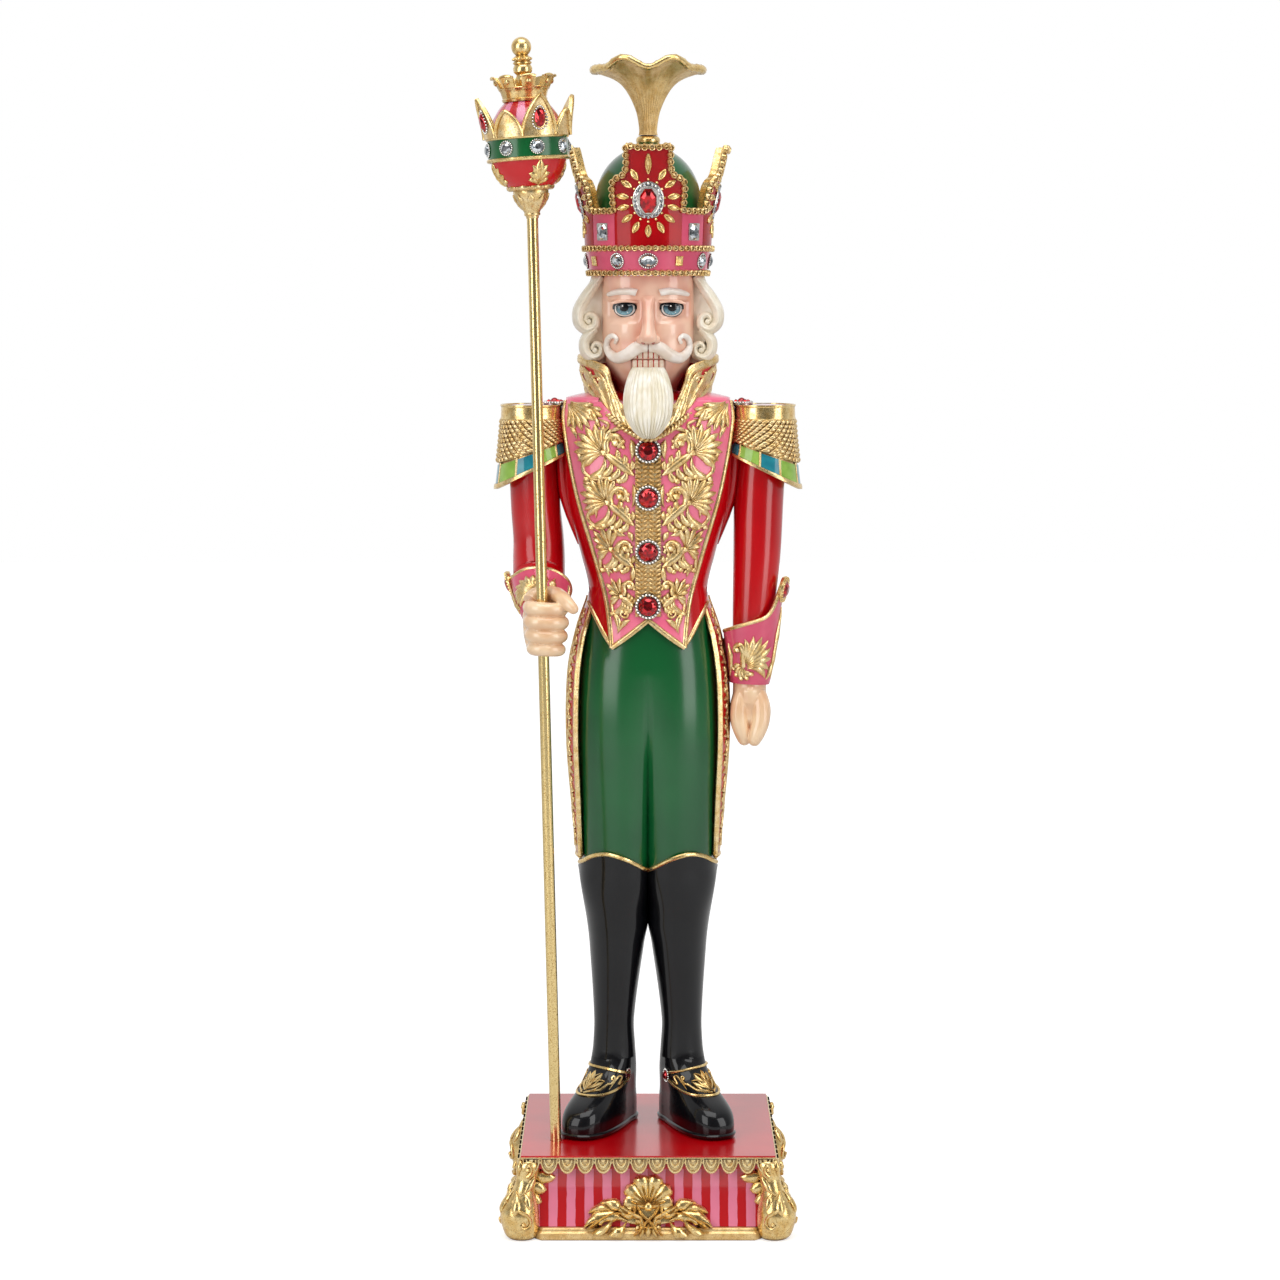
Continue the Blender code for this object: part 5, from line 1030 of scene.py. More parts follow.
def make_coat():
    levels = evenly(Z_WAIST, Z_SHOULDER, 60)
    rings = [[body_point(turn, level) for turn in turns(120)] for level in levels]
    shoulder_ring = rings[-1]
    for rise, size in ((0.9, 0.96), (2.2, 0.88), (3.9, 0.76), (5.4, 0.62), (6.6, 0.44)):
        rings.append([Vector((point.x * size, AXIS_Y + (point.y - AXIS_Y) * size, Z_SHOULDER + rise))
                      for point in shoulder_ring])
    coat = Form().loft(rings).piece("coat", RED, nodes=["coat"], slot="red", crease=60)
    yoke = Form()
    for columns in (range(60, 80), range(100, 121)):
        yoke.shell(lambda u, v, lift: rings[59 + v][u % 120] + Vector((0, -0.5, 1)) * lift, columns,
                   range(6), 1.4, -0.8)
    yoke.piece("waistcoat_yoke", PINK, slot="pink", crease=60)
    lever_slot(coat, -30, 46, 586, 660)
    lever_slot(coat, 40, 70, 602, 628)

    hem_form, trim = Form(), Form()
    (x_point, z_point), (x_side, z_side) = COAT_HEM

    def hem_level(x):
        return z_point + max(0.0, x - x_point) * (z_side - z_point) / (x_side - x_point)

    for side in SIDES.values():
        def place(u, v, lift):
            x = mix(27.0, 49.5, u)
            level = mix(hem_level(x), Z_WAIST + 14, v)
            x = min(x, along(BODY, level)[0] - 0.4)
            return body_face(side * x, level, lift if lift < 0 else lift * (1 - v ** 3))
        shares = evenly(0, 1, 24)
        hem_form.shell(place, shares, shares, 1.9, -1.0)
        surface = skin_of(lambda u, v: body_face(u, v, 1.9))
        trim.stroke(surface, [(side * x, hem_level(x) + 0.4) for x in (27, 33, 40, 45, 46.8)], 1.8, 1.6,
                    5, False)
    hem_form.piece("coat_front_hem", RED, slot="red")
    trim.piece("coat_hem_trim", GOLD, slot="gold")


def make_armpits():
    """The red fullness that joins each sleeve to the coat."""
    webs = Form()
    for side in SIDES.values():
        rings = []
        for level, depth, reach in ((624, 15, 1.0), (608, 15, 1.0), (594, 14, 1.0), (580, 12.5, 1.0),
                                    (570, 11, 0.96), (564, 10, 0.8), (558, 9, 0.62), (550, 7.5, 0.42),
                                    (540, 5.5, 0.22), (528, 3, 0.05)):
            inner = along(BODY, level)[0] - 4.0
            outer = mix(inner + 4.2, mix(70.4, 74.5, (level - 562) / 64), reach)
            rings.append([oval_point(turn, level, (outer - inner) / 2, depth, depth, 2.4,
                                     (side * (outer + inner) / 2, AXIS_Y)) for turn in turns(32)])
        webs.loft(rings)
    webs.piece("coat_armpits", RED, slot="red")


def make_waistcoat():
    def place(u, v, lift):
        low = mix(VEST_MIDDLE, VEST_POINT, abs(u))
        level = mix(low, VEST_TOP, v)
        return body_face(u * vest_edge(level), level, lift)
    waistcoat = Form().shell(place, evenly(-1, 1, 64), evenly(0, 1, 50), VEST_SHELL, VEST_LINING).piece(
        "waistcoat", PINK, nodes=["waistcoat"], slot="pink", crease=50)
    lever_slot(waistcoat, -60, 0, 614, 650, 1.0)

    relief = Form()
    surface = skin_of(vest_surface)
    for side in SIDES.values():
        edge = [(side * (vest_edge(level) - 0.6), level) for level in range(641, 455, -12)]
        edge += [(side * VEST_EDGE[0][1], VEST_POINT + 0.5)]
        relief.stroke(surface, edge, 2.1, 1.7, 4, False)
        relief.stroke(surface, [(side * 28.6, VEST_POINT + 0.6), (side * 14, 460.8), (0, VEST_MIDDLE + 0.4)],
                      2.1, 1.7, 6, False)
    for hand in (surface, mirrored(surface)):
        vest_relief(relief, hand)
    relief.piece("waistcoat_gold", GOLD, slot="gold")


def palmette(form, surface, heart, reach, first, last, count, half=1.35, height=1.8):
    """Fingers fanned about a heart, kept inside the waistcoat's edge."""
    for k in range(count):
        share = k / (count - 1)
        turn = math.radians(mix(first, last, share))
        length = reach * (0.80 + 0.24 * math.sin(math.pi * share))
        start = (heart[0] + 0.1 * length * math.cos(turn), heart[1] + 0.1 * length * math.sin(turn))
        u, v = heart[0] + length * math.cos(turn), heart[1] + length * math.sin(turn)
        form.leaf(surface, start, (min(u, vest_edge(v) - 3.6), v), half, height, 0.10 * (1 - 2 * share),
                  0, 8, 0.72)


def comma(form, surface, base, tip, half=1.7, height=2.0, bend=-0.22):
    """A curled leaf that ends in a round drop."""
    form.leaf(surface, base, tip, half, height, bend, 0, 8, 0.8)
    point, normal = surface(*tip)
    form.bead(point + normal * 0.3, 0.95 * half)


def vest_relief(form, surface):
    """Sprays of palmettes and curls, one above another, on one half of the waistcoat."""
    sprays = (
        ((11.0, 585.0), (23.0, 594.0), (34.0, 602.0), 24.0, 9, (25.0, 609.5), 9.0),
        ((11.0, 546.0), (21.0, 555.0), (31.0, 563.5), 23.0, 9, (21.5, 568.5), 9.4),
        ((11.0, 513.5), (20.0, 519.0), (28.5, 527.0), 19.5, 8, (17.5, 528.0), 7.4),
        ((11.0, 482.0), (15.5, 485.5), (20.5, 490.0), 16.0, 7, (14.2, 498.0), 5.2))
    for base, bend, heart, reach, count, eye, curl in sprays:
        size = reach / 22.5
        form.stroke(surface, [base, bend, heart], 1.8 + 1.4 * size, 3.0, 5)
        form.leaf(surface, base, (heart[0] - 2, heart[1] - 3), 2.0 + 2.4 * size, 2.2, 0.1, 3)
        palmette(form, surface, heart, reach, -36, 108, count, 0.9 + 1.9 * size, 2.6)
        form.bead(surface(*heart)[0], 2.0 + 1.4 * size)
        form.volute(surface, eye, curl, -0.7, 4.9, 1.1 + 1.7 * size, 2.8, 0.3,
                    [(heart[0] - 1.5, heart[1] + 1.0)])
        for k in range(4):
            lean = math.radians(200 - 44 * k)
            tip = (eye[0] + 0.7 * curl * math.cos(lean), eye[1] - 1 + 0.7 * curl * math.sin(lean))
            comma(form, surface, eye, tip, 0.8 + 1.2 * size)
        for share, across, down in ((1.0, 12.5, 19.0), (0.8, 7.0, 14.0), (0.56, 5.0, 11.5), (0.3, 4.0, 9.0)):
            u, v = mix(base[0], heart[0], share), mix(base[1], heart[1], share)
            low = v - down * size
            tip = (min(u + across * size, vest_edge(low) - 4.0), low)
            comma(form, surface, (u, v), tip, 1.2 + 1.9 * size, 2.6, -0.26)
        out, low = vest_edge(heart[1] - 12 * size) - 4.4, heart[1] - 19 * size
        loop = [(heart[0] + 5 * size, heart[1] - 1), (min(heart[0] + 13 * size, out), heart[1] - 6 * size),
                (min(heart[0] + 15 * size, out), heart[1] - 13 * size), (heart[0] + 8 * size, low),
                (heart[0], low)]
        form.stroke(surface, loop, 0.7 + 1.0 * size, 2.3, 5)
        for share in (0.15, 0.4, 0.65):
            u, v = mix(base[0], heart[0], share), mix(base[1], heart[1], share)
            form.leaf(surface, (u, v), (u - 1.5, v + 8.5 * size), 0.8 + 1.6 * size, 2.4, 0.2)
    palmette(form, surface, (62.0, 641.0), 25.0, 186, 272, 7, 2.7, 2.5)
    palmette(form, surface, (47.0, 638.5), 15.0, 196, 262, 4, 2.2, 2.4)
    form.stroke(surface, [(35, 616.5), (30.5, 623.5), (38, 627.5)], 1.4, 2.0)
    form.leaf(surface, (20, 583.5), (39, 584.5), 2.5, 2.4, -0.1, 2)
    for base, tip, half, bend in (
            ((13.0, 597), (13.4, 612.5), 2.3, 0.1), ((12.6, 560), (11.8, 578), 1.9, 0.12),
            ((12.0, 533), (16, 541), 1.9, 0.1), ((17, 538), (27, 543.5), 2.1, -0.1),
            ((12.6, 516), (13.4, 501), 2.0, -0.1), ((30, 505), (34.5, 515), 1.6, 0.1),
            ((23.5, 461.5), (27.6, 478), 2.1, 0.14), ((22.5, 462.5), (13.8, 472), 1.9, -0.14),
            ((40, 551), (44.5, 566), 1.5, 0.1), ((50, 590), (55.5, 603), 1.6, 0.1),
            ((18, 620), (29, 617.5), 1.6, 0.15), ((40, 631), (36.5, 621), 1.5, 0.1),
            ((55, 612), (60.5, 622), 1.6, 0.1), ((42, 575), (50.5, 579.5), 1.6, 0.1),
            ((34, 541), (42, 544), 1.6, 0.1), ((27, 508), (33, 511), 1.4, 0.1)):
        form.leaf(surface, base, tip, 1.3 * half, 2.5, bend)
    form.volute(surface, (17.5, 476.5), 4.0, 0.3, -5.0, 1.3, 2.2, 0.3)


def make_placket():
    """A braided band with jewelled buttons."""
    braid = Form()
    surface = skin_of(lambda u, v: body_face(u, v, VEST_SHELL + 0.4))
    low = VEST_MIDDLE + 3.0
    braid.ridge(surface, [(0, level, PLACKET_HALF) for level in evenly(low, PLACKET_TOP, 20)], 1.3)
    pitch = 3.5
    rows = int((PLACKET_TOP - low) / pitch)
    for column, x in enumerate((-7.5, -2.5, 2.5, 7.5)):
        rise = 1.7 if column % 2 else -1.7
        for row in range(rows):
            level = low + 1.6 + pitch * row
            braid.leaf(surface, (x - 2.9, level - rise), (x + 2.9, level + rise), 1.6, 2.9, 0.0, 0, 5, 0.5)
    braid.piece("placket_braid", GOLD, nodes=["placket"], slot="gold")

    front = skin_of(lambda u, v: body_face(u, v, PLACKET_SHELL))
    for k, level in enumerate(BUTTON_LEVELS):
        spot, normal = front(0, level)
        across = Vector((1, 0, 0))
        up = normal.cross(across)
        setting = Form()
        setting.loft([oval_about(spot + normal * rise, across, up, radius, radius, 32) for radius, rise in (
            (10.0, -1.4), (10.0, 0.6), (9.4, 1.3), (7.8, 1.5), (7.4, 0.9), (4.0, 0.6))])
        setting.ring_of_beads(spot + normal * 1.3, across, up, 9.0, 9.0, 1.35, 22)
        setting.piece("button_setting_%d" % (k + 1), SILVER, nodes=["button_%d" % (k + 1)], slot="steel")
        Form().gem(spot + normal * 1.3, across, up, 7.4, 7.4, 3.6, 12).piece(
            "button_stone_%d" % (k + 1), RUBY, slot="ruby", crease=0)


def make_tails():
    """Two coat skirts in one, round the back, edged and scrolled in gold at the front."""
    def place(u, v, lift):
        level = mix(TAIL_FOOT, TAIL_TOP, v)
        grow, reach = along(TAIL_LINE, level)
        turn = mix(-reach, math.pi + reach, u)
        return body_point(turn, level, grow + lift)
    Form().shell(place, evenly(0, 1, 80), evenly(0, 1, 50), 0.0, -TAIL_THICKNESS).piece(
        "coat_tails", RED, nodes=["coat_tails"], slot="red", crease=50)

    relief = Form()

    def tail_face(u, v):
        grow, reach = along(TAIL_LINE, v)
        return body_point(-reach + u / TAIL_GIRTH, v, grow)
    surface = skin_of(tail_face)
    for hand in (surface, mirrored(surface)):
        levels = evenly(TAIL_TOP - 3, TAIL_FOOT + 1, 14)
        sunk = [1.2 + 2.4 * smooth((level - 458) / 26) for level in levels]
        relief.tube([hand(0.0, level)[0] - hand(0.0, level)[1] * depth
                     for level, depth in zip(levels, sunk)], 2.3, 8)
        relief.stroke(hand, [(26, level) for level in levels], 1.3, 1.4, 4, False)
        relief.stroke(hand, [(k * 7.5, TAIL_FOOT + 1) for k in range(15)], 1.5, 1.6, 3, False)
        for k in range(13):
            level = TAIL_TOP - 16 - 14.6 * k
            flip = 1 if k % 2 else -1
            relief.volute(hand, (9.5 + 1.5 * flip, level), 4.6, -1.2 * flip, 4.8 * flip, 1.1, 1.6, 0.25,
                          [(13 - 3 * flip, level - 10)])
            relief.leaf(hand, (13, level - 3), (21.5, level + 5 * flip), 1.8, 1.6, 0.15 * flip)
            relief.leaf(hand, (12, level - 5), (4.4, level - 8), 1.3, 1.6, 0.15)
            relief.leaf(hand, (15, level - 6), (22, level - 9), 1.5, 1.6, -0.15)
    for hand in (-1, 1):
        seam = [body_point(math.pi / 2 + hand * 0.06, level, along(TAIL_LINE, level)[0] - 0.2)
                for level in range(285, 486, 8)]
        relief.tube(seam, 1.2, 8)
    relief.piece("tail_scrolls", GOLD, slot="gold")


def collar_point(u, v, lift):
    """A place on the collar: u runs from the front opening to the back, v from its foot to its edge."""
    low_share, low, top_share, top = along(COLLAR_COLUMNS, abs(u))
    level = mix(low, top, v)
    half, front, back = (value + lift for value in along(COLLAR_LINE, level))
    side = math.copysign(1, u)
    if abs(u) > 1:
        turn = (abs(u) - 1) * math.pi / 2
        return oval_point(turn, level, half, front, back, COLLAR_POWER) if side > 0 else oval_point(
            math.pi - turn, level, half, front, back, COLLAR_POWER)
    share = min(mix(low_share, top_share, v), 1.0)
    bow = (1 - share ** COLLAR_POWER) ** (1 / COLLAR_POWER)
    return Vector((side * half * share, AXIS_Y - front * bow, level))


def make_collar():
    collar, relief, cord = Form(), Form(), Form()
    collar.shell(collar_point, evenly(-2, 2, 120), evenly(0, 1, 10), 0.0, -COLLAR_THICKNESS)
    collar.piece("collar", RED, nodes=["collar"], slot="red", crease=50)
    relief.tube([collar_point(u, 1.0, -0.5 * COLLAR_THICKNESS) for u in evenly(-2, 2, 240)], 2.0, 8)
    rope(cord, [collar_point(u, 0.0, 0.6) for u in evenly(-2, 2, 400)], 2.5, 7.0)
    cord.piece("collar_cord", GOLD, slot="gold")
    surface = skin_of(lambda u, v: collar_point(u / COLLAR_GIRTH, v / COLLAR_RISE, 0.0))
    for hand in (surface, mirrored(surface)):
        relief.stroke(hand, [(4 * k, 33.0) for k in range(31)], 2.6, 1.6, 3, False)
        for base, tip, half, bend, lobes in (
                ((24, 6), (37, 31), 2.6, 0.10, 3), ((30, 5), (44, 29), 2.6, 0.05, 3),
                ((37, 5), (50, 31), 2.4, 0.0, 3), ((44, 6), (57, 30), 2.6, -0.05, 3),
                ((52, 6), (66, 31), 2.8, -0.05, 3), ((63, 6), (78, 31), 3.2, 0.0, 3),
                ((76, 6), (92, 31), 3.2, 0.0, 3), ((90, 6), (106, 31), 3.2, 0.0, 3),
                ((104, 6), (116, 31), 3.2, 0.0, 3)):
            relief.leaf(hand, base, tip, 1.5 * half, 2.2, bend, lobes)
            relief.leaf(hand, (base[0] + 2, base[1] - 2), (tip[0] + 2, tip[1]), 2.2 * half, 1.2, bend, lobes)
            relief.leaf(hand, (base[0] + 3, base[1]), (tip[0] - 1, 0.55 * tip[1]), 0.9 * half, 2.0, -0.3)
            relief.volute(hand, (tip[0] - 7.0, 24.0), 2.6, 0.0, 4.6, 1.3, 2.0, 0.3)
            for u, v in ((tip[0] - 5.5, 17), (tip[0] - 3, 26.5), (base[0] - 1.5, 13)):
                point, normal = hand(u, v)
                relief.bead(point + normal * 0.3, 1.5)
    relief.piece("collar_gold", GOLD, slot="gold")


def make_torso():
    make_coat()
    make_armpits()
    make_waistcoat()
    make_placket()
    make_tails()
    make_collar()


# Head

HEAD_HALF, FACE_DEPTH, NAPE_DEPTH = 36.5, 39.0, 37.0
HEAD_POWER = 2.5
HEAD_LINE = [(Z_SHOULDER + share * HEAD_HEIGHT, half * HEAD_HALF, front * FACE_DEPTH, back * NAPE_DEPTH)
             for share, half, front, back in (
                 (0.0, 0.62, 0.58, 0.62), (0.09, 0.63, 0.62, 0.64), (0.17, 0.74, 0.82, 0.72),
                 (0.26, 0.88, 0.94, 0.84), (0.36, 0.96, 0.99, 0.93), (0.55, 1.0, 1.0, 1.0),
                 (0.78, 1.0, 0.97, 1.0), (1.0, 1.0, 0.94, 1.0))]
Z_MOUTH = span("jaw")[1].z + SEAT
Z_BROW, Z_EYE, Z_HOLLOW, Z_CHEEK = 719.6, 713.2, 700.0, 697.0
EYE_X, EYE_HALF, EYE_RISE, EYE_DROP, EYE_BULGE = 18.0, 8.5, 3.8, 6.8, 2.4
IRIS_SIZE = 0.77
TEETH_HALF, TOOTH_COUNT, GUM_HALF = 12.4, 6, 12.2
JAW_LOW, JAW_HIGH = span("jaw")
MOUSTACHE = ((0.6, 683.6, 3.9), (8, 683, 5.0), (16, 677.6, 5.0), (23.5, 674.8, 4.4), (29, 677.6, 3.7),
             (31.8, 683.5, 3.0), (30.8, 689.4, 2.5), (27.2, 691.8, 2.1), (24.4, 689.6, 1.7),
             (25.2, 686.8, 1.3))
BEARD_LINE = ((0.0, 0.24, 0.34, 1.0), (0.05, 0.44, 0.52, 0.98), (0.12, 0.63, 0.68, 0.94),
              (0.28, 0.89, 0.92, 0.80), (0.45, 0.99, 1.0, 0.575), (0.62, 0.99, 0.97, 0.36),
              (0.80, 0.88, 0.82, 0.155), (0.93, 0.75, 0.62, 0.05), (1.0, 0.64, 0.40, 0.02))
BEARD_HALF, BEARD_THICKNESS, BEARD_SWEEP = 19.4, 14.0, 19.6
BEARD_FOOT, BEARD_TOP = (corner.z for corner in span("beard"))
HAIR_FOOT, HAIR_BULGE = span("hair")[0].z, 16.5


def face_y(x, level):
    """The face's front at a place across it and a level, with hollows under the brows."""
    half, front, _ = along(HEAD_LINE, level)
    share = min(abs(x) / half, 0.9995)
    place = AXIS_Y - front * (1 - share ** HEAD_POWER) ** (1 / HEAD_POWER)
    across = smooth((abs(x) - 5.5) / 5) * smooth((33.5 - abs(x)) / 5)
    below = smooth((Z_BROW - level) / 1.6) * smooth((level - Z_HOLLOW) / 8)
    cheek = 1.3 * math.exp(-((abs(x) - 19) / 9) ** 2 - ((level - Z_CHEEK) / 8) ** 2)
    return place + 4.0 * across * below - cheek


def face_point(u, v):
    return Vector((u, face_y(u, v), v))


def make_skull():
    rings = []
    for level in evenly(Z_SHOULDER, Z_CROWN, 110):
        half, front, back = along(HEAD_LINE, level)
        ring = [oval_point(turn, level, half, front, back, HEAD_POWER) for turn in turns(180)]
        for point in ring:
            if point.y < AXIS_Y - 4:
                point.y = mix(point.y, face_y(point.x, level), smooth((AXIS_Y - 4 - point.y) / 5))
        rings.append(ring)
    skull = Form().loft(rings).piece("head", FLESH, nodes=["head"], slot="flesh", crease=60)
    room = JAW_HIGH.x + 0.5
    carved(skull, (-room, -60, 600), (room, -3.5, Z_MOUTH))
    carved(skull, (-12.1, -19, 660), (12.1, -5.2, 684.5))
    lever_slot(skull, -20, 44, 620, 668)


def make_nose():
    nose = Form()
    line = ((685.8, 4.6, 9.5), (687.4, 7.0, 15.0), (690.4, 7.4, 18.3), (693.4, 6.6, 17.6),
            (698.0, 5.4, 14.6), (705.0, 4.8, 10.6), (712.0, 4.5, 7.6), (718.0, 4.9, 4.6), (723.0, 6.0, 1.4))
    rings = []
    for level in evenly(line[0][0], line[-1][0], 40):
        half, reach = along(line, level)
        base = AXIS_Y - along(HEAD_LINE, level)[1]
        rings.append([oval_point(turn, level, half, reach, 5.0, 2.6, (0.0, base + 1.5))
                      for turn in turns(32)])
    nose.loft(rings)
    for side in SIDES.values():
        nose.bead((side * 6.0, face_y(6, 689) - 5.0, 689.0), 3.6, FINE_BALL)
    remade(nose.piece("nose", FLESH, slot="flesh"), 0.55, 6)
    # Painted shadow in the nostrils: dark tubes under the tip of the nose
    nostril_shadows = Form()
    for side in SIDES.values():
        x = side * 3.9
        nostril_shadows.tube([(x - side * 0.9, face_y(3, 686) - 9.6, 686.3), (x, face_y(4, 686) - 9.0, 686.5),
                       (x + side * 0.9, face_y(5, 686) - 7.8, 686.5)], [0.9, 1.3, 0.8], 10)
    nostril_shadows.piece("nostril_shadows", NOSTRIL_SHADE, slot="flesh")


def eye_outline(turn, size=1.0):
    """A flat-topped eye about its centre."""
    rise = math.sin(turn)
    return (size * EYE_HALF * math.cos(turn),
            size * (EYE_RISE * rise ** 0.5 if rise > 0 else -EYE_DROP * (-rise) ** 0.9))


def make_eye(name, side):
    plane = plane_of((side * EYE_X, face_y(EYE_X, 711) - 1.0, Z_EYE), (1, side * 0.2, 0), (0, -0.05, 1))

    def raised(places, lift):
        return [point + normal * lift for point, normal in (plane(*place) for place in places)]

    def outline(size, lift, around=turns(40)):
        return raised([eye_outline(turn, size) for turn in around], lift)

    def lens(form, sizes, lift):
        return form.loft([outline(size, EYE_BULGE * (1 - size * size) + lift) for size in sizes])

    ball = Form().loft([outline(1.0, -3.0), outline(1.0, 0.3)])
    lens(ball, (1.0, 0.9, 0.75, 0.5, 0.25, 0.05), 0.3).piece("eye_white_" + name, EYE_WHITE)
    lens(Form(), (IRIS_SIZE, 0.76, 0.6, 0.4, 0.2, 0.04), 0.55).piece("iris_" + name, IRIS)
    lines = Form()
    lines.tube(outline(1.0, 0.3), 0.34, 8, looped=True)
    lines.tube(outline(IRIS_SIZE, 1.25), 0.30, 6, looped=True)
    lines.tube(outline(1.03, 0.9, turns(25, -0.12, math.pi + 0.38)), 0.8, 8)
    lines.loft([raised([(3.5 * size * math.cos(turn), 0.4 + 3.0 * size * math.sin(turn))
                        for turn in turns(24)], lift)
                for size, lift in ((1.0, 1.5), (1.0, 2.9), (0.7, 3.1), (0.3, 3.2))])
    lines.piece("eye_lines_" + name, BLACK)
    # Painted highlights: two small white beads on each eye
    glint = Form()
    for place, lift, radius in (((-1.2, 1.7), 2.8, 0.85), ((2.6, -3.2), 2.1, 0.5)):
        glint.bead(raised([place], lift)[0], radius)
    glint.piece("eye_glint_" + name, EYE_WHITE)
    fold = raised([(x, 5.4 - 0.012 * x * x - 0.05 * side * x) for x in range(-11, 12)], 0.4)
    lid = Form().tube(fold, [1.7 * min(1, 0.45 + 0.16 * min(k, 22 - k)) for k in range(23)], 10)
    lid.piece("eyelid_" + name, FLESH)


def make_brows():
    brows = Form()
    surface = skin_of(face_point)
    for hand in (surface, mirrored(surface)):
        line = spline([(8.8, 725.0, 2.7), (10, 725.3, 2.9), (16, 726.0, 2.9), (23, 725.6, 2.6),
                       (28.5, 724.2, 2.1), (30.6, 723.4, 1.6)], 5)
        brows.ridge(hand, line, 2.8)
    brows.piece("eyebrows", MOUSTACHE_PAINT)


def make_teeth():
    """Two rows of square teeth on red gums; the lower row rides with the jaw."""
    width = 2 * TEETH_HALF / TOOTH_COUNT
    front_upper = face_y(0, 677) - 1.4
    rows = (("upper", "figure", Z_MOUTH + 0.3, 681.5, front_upper, 0.012),
            ("lower", "jaw", 666.6, Z_MOUTH - 0.6, JAW_LOW.y - 1.2, 0.003))
    for name, body, low, high, front, curve in rows:
        teeth, gums = Form(), Form()
        for k in range(TOOTH_COUNT):
            x = (k + 0.5 - TOOTH_COUNT / 2) * width
            bow = curve * x * x
            rings = []
            for share, inset, depth in ((0.0, 0.9, 0.5), (0.06, 0.45, 0.1), (0.2, 0.35, 0.0),
                                        (0.8, 0.35, 0.0), (0.94, 0.45, 0.1), (1.0, 0.9, 0.5)):
                half = width / 2 - inset
                near = front + bow + depth
                level = mix(low, high, share)
                rings.append([Vector((x + u, y, level)) for u, y in (
                    (-half, near + 3), (-half, near + 0.5), (-half + 0.5, near), (half - 0.5, near),
                    (half, near + 0.5), (half, near + 3))])
            teeth.loft(rings)
        teeth.piece(name + "_teeth", TOOTH, body)
        gum_line = ((-GUM_HALF, 0), (-6, 0), (0, 0), (6, 0), (GUM_HALF, 0), (GUM_HALF, 1.8),
                    (-GUM_HALF, 1.8))
        gums.loft([[Vector((x, front + 0.75 + curve * x * x + shift, level)) for x, shift in gum_line]
                   for level in (low + 0.2, high - 0.1)])
        gums.piece(name + "_gums", RED, body)


def make_jaw():
    jaw = Form()
    rings = []
    low, high = JAW_LOW, JAW_HIGH
    for share, inset in ((0.0, 2.0), (0.03, 0.8), (0.10, 0.0), (0.92, 0.0), (0.98, 0.5), (1.0, 1.2)):
        level = mix(low.z, high.z, share)
        x, near, far = high.x - inset, low.y + inset, high.y - 0.3 * inset
        rings.append([Vector((u, y, level)) for u, y in (
            (-x, far), (-x, near + 1.0), (-x + 0.3, near + 0.3), (-x + 1.0, near), (0, near - 0.2),
            (x - 1.0, near), (x - 0.3, near + 0.3), (x, near + 1.0), (x, far))])
    jaw.loft(rings)
    jaw.piece("jaw", FLESH, "jaw", ["jaw"], "flesh", 50)

    beard, locks = Form(), 34
    rings = []
    for share in evenly(0, 1, 48):
        wide, thick, clear = along(BEARD_LINE, share)
        level = mix(BEARD_FOOT, BEARD_TOP, share)
        back = JAW_LOW.y - max(SEAT, clear * BEARD_SWEEP)
        half, depth = wide * BEARD_HALF, thick * BEARD_THICKNESS
        ring = []
        for turn in turns(340):
            wave = abs(math.sin(0.5 * locks * (turn + 0.05 * math.sin(5 * turn)))) ** 0.6
            groove = (1 - wave) * (0.4 + 0.6 * (1 - share)) * 1.7
            point = oval_point(turn, level, half - groove, depth - groove, 0.1, 2.15, (0.0, back))
            ring.append(point)
        rings.append(ring)
    beard.loft(rings)
    beard.piece("beard", IVORY, "jaw", ["beard"], "ivory", 60)


def make_moustache():
    moustache = Form()
    for side in SIDES.values():
        line = spline(MOUSTACHE, 7)
        path = [Vector((side * max(x, 0.35), face_y(x, level) - 0.42 * radius - 1.0, level))
                for x, level, radius in line]
        moustache.tube(path, [radius for _, _, radius in line], 16)
        moustache.bead(path[-1], line[-1][2] * 1.25, FINE_BALL)
    moustache.piece("moustache", MOUSTACHE_PAINT, nodes=["moustache"], slot="ivory", crease=60)


